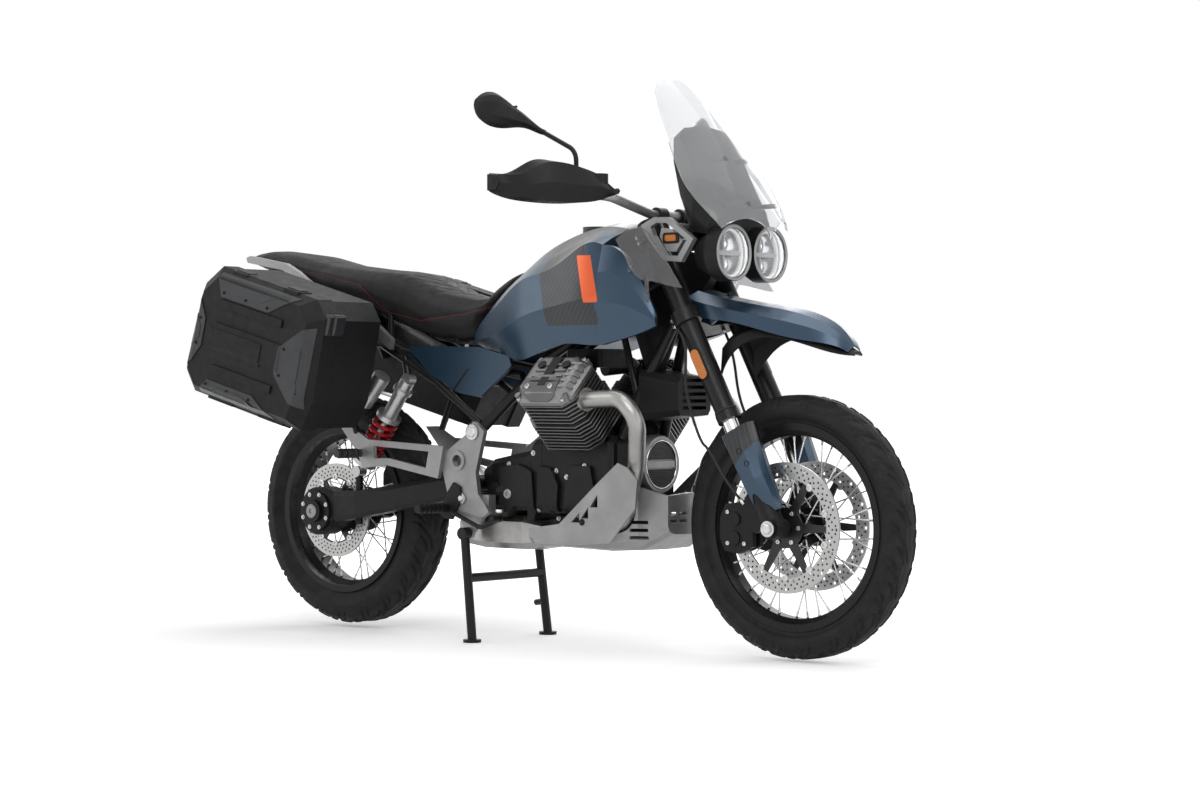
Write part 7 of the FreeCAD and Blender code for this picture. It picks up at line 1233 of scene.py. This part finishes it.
def make_hoses():
    """Brake hoses on smooth lines, held at both ends along the fork."""
    for label, route in HOSES.items():
        name = f"brake_hose_{label}"
        places = [Vector(place) / 1000 for place in route]
        data = bpy.data.curves.new(name, "CURVE")
        data.dimensions = "3D"
        line = data.splines.new("NURBS")
        line.points.add(len(places) - 1)
        for point, place in zip(line.points, places):
            point.co = (*place, 1)
        line.order_u = 3
        line.use_endpoint_u = True
        line.resolution_u = 8
        data.bevel_depth = HOSE_RADIUS
        data.bevel_resolution = 4
        data.use_fill_caps = True
        data.materials.append(finish_of("hose_rubber"))
        hose = linked(name, data)
        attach(hose, "steering")
        ends = Heap()
        for first, second in ((places[0], places[1]), (places[-1], places[-2])):
            ends.bar(first, first + (second - first).normalized() * 0.016, 0.005, 14)
        ends.made(name + "_ends", "zinc", "steering", True)


# Mirrors, tail lamp and small things on the chassis

SKID_BOLTS = [(-0.03, 0.32), (0.03, 0.3), (0.26, 0.42), (0.24, 0.33)]
AXLE_CAP = [(0.019, -0.002), (0.019, 0.002), (0.016, 0.004), (0.007, 0.004), (0.006, 0.001)]


def make_mirror_glass():
    mirrors = [v.co for v in frame["nodes"]["mirrors"].data.vertices]
    outline = [(0.044 * a, 0.016 * b - 0.006) for a, b in circle(28, 1)]
    for side, label in SIDES:
        head = [p for p in mirrors if p.z > 1.34 and p.y * side > 0]
        middle = Vector([(min(p[i] for p in head) + max(p[i] for p in head)) / 2 for i in range(3)])
        skin(f"mirror_glass_{label}", "mirrors", (middle, -Y, Z), outline, 0.0022, "mirror_glass",
             "steering", 0.012)


def make_tail_lamp():
    """The red lens on the tail, on the form that the rear mudguard has there."""
    outline = [(0.034 * a, 0.009 * b) for a, b in circle(32, 1)]
    middle = Vector((-1.09, 0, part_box("rear_mudguard")[1].z - 0.013))
    skin("tail_lens", "rear_mudguard", (middle, -Y, Z), outline, 0.0012, "red_lens", step=0.01)


def dress_pivot():
    for side, label in SIDES:
        heap = Heap()
        for x, z, radius in ((-0.156, 0.553, 0.015), (-0.193, 0.378, 0.009)):
            heap.bolt(Vector((x, side * 0.1635, z)), Y * side, radius, 0.006)
        heap.made(f"pivot_bolts_{label}", "zinc")


def dress_skid():
    heap = Heap()
    for side, label in SIDES:
        for place, normal in side_hits("skid_plate", side, SKID_BOLTS):
            heap.bolt(place, normal, 0.006, 0.004)
    heap.made("skid_bolts", "screw_black")


def dress_drive():
    """The bright cap on the rear axle and the screws around it."""
    for place, normal in side_hits("final_drive", -1, [(REAR_AXLE.x, REAR_AXLE.z)]):
        Heap().turned(place, -Y, AXLE_CAP, 32).made("drive_cap", "cast_silver")
    screws = Heap()
    places = [(REAR_AXLE.x + x, REAR_AXLE.z + z) for x, z in circle(8, 0.048, 0.5)]
    for place, normal in side_hits("final_drive", -1, places):
        screws.bolt(place, normal, 0.0042, 0.004)
    screws.made("drive_screws", "zinc")


def main():
    bpy.context.scene.view_settings.view_transform = "Standard"
    for step in (make_camera, make_world, make_floor, make_lights, dress_nodes):
        step()
    tyre("front_tyre", "front_wheel", FRONT_AXLE, 0.3293, 0.2413, 0.03175, 22, 0.055)
    tyre("rear_tyre", "rear_wheel", REAR_AXLE, 0.3209, 0.2159, 0.054, 21, 0.075)
    seat_seams(make_seat())
    for side, label in SIDES:
        dress_case(side, label)
    for step in (make_lamps, dress_covers, dress_case_castings, dress_front_cover):
        step()
    dress_wheel("front", "front_wheel", FRONT_AXLE, "front_brake_discs", 0.122)
    dress_wheel("rear", "rear_wheel", REAR_AXLE, "rear_brake_disc", 0.092)
    nipples("front", "front_wheel", "front_spokes", FRONT_AXLE)
    nipples("rear", "rear_wheel", "rear_spokes", REAR_AXLE)
    for step in (dress_fork, dress_calipers, make_hoses, make_mirror_glass, make_tail_lamp, dress_pivot,
            dress_skid, dress_drive):
        step()


main()
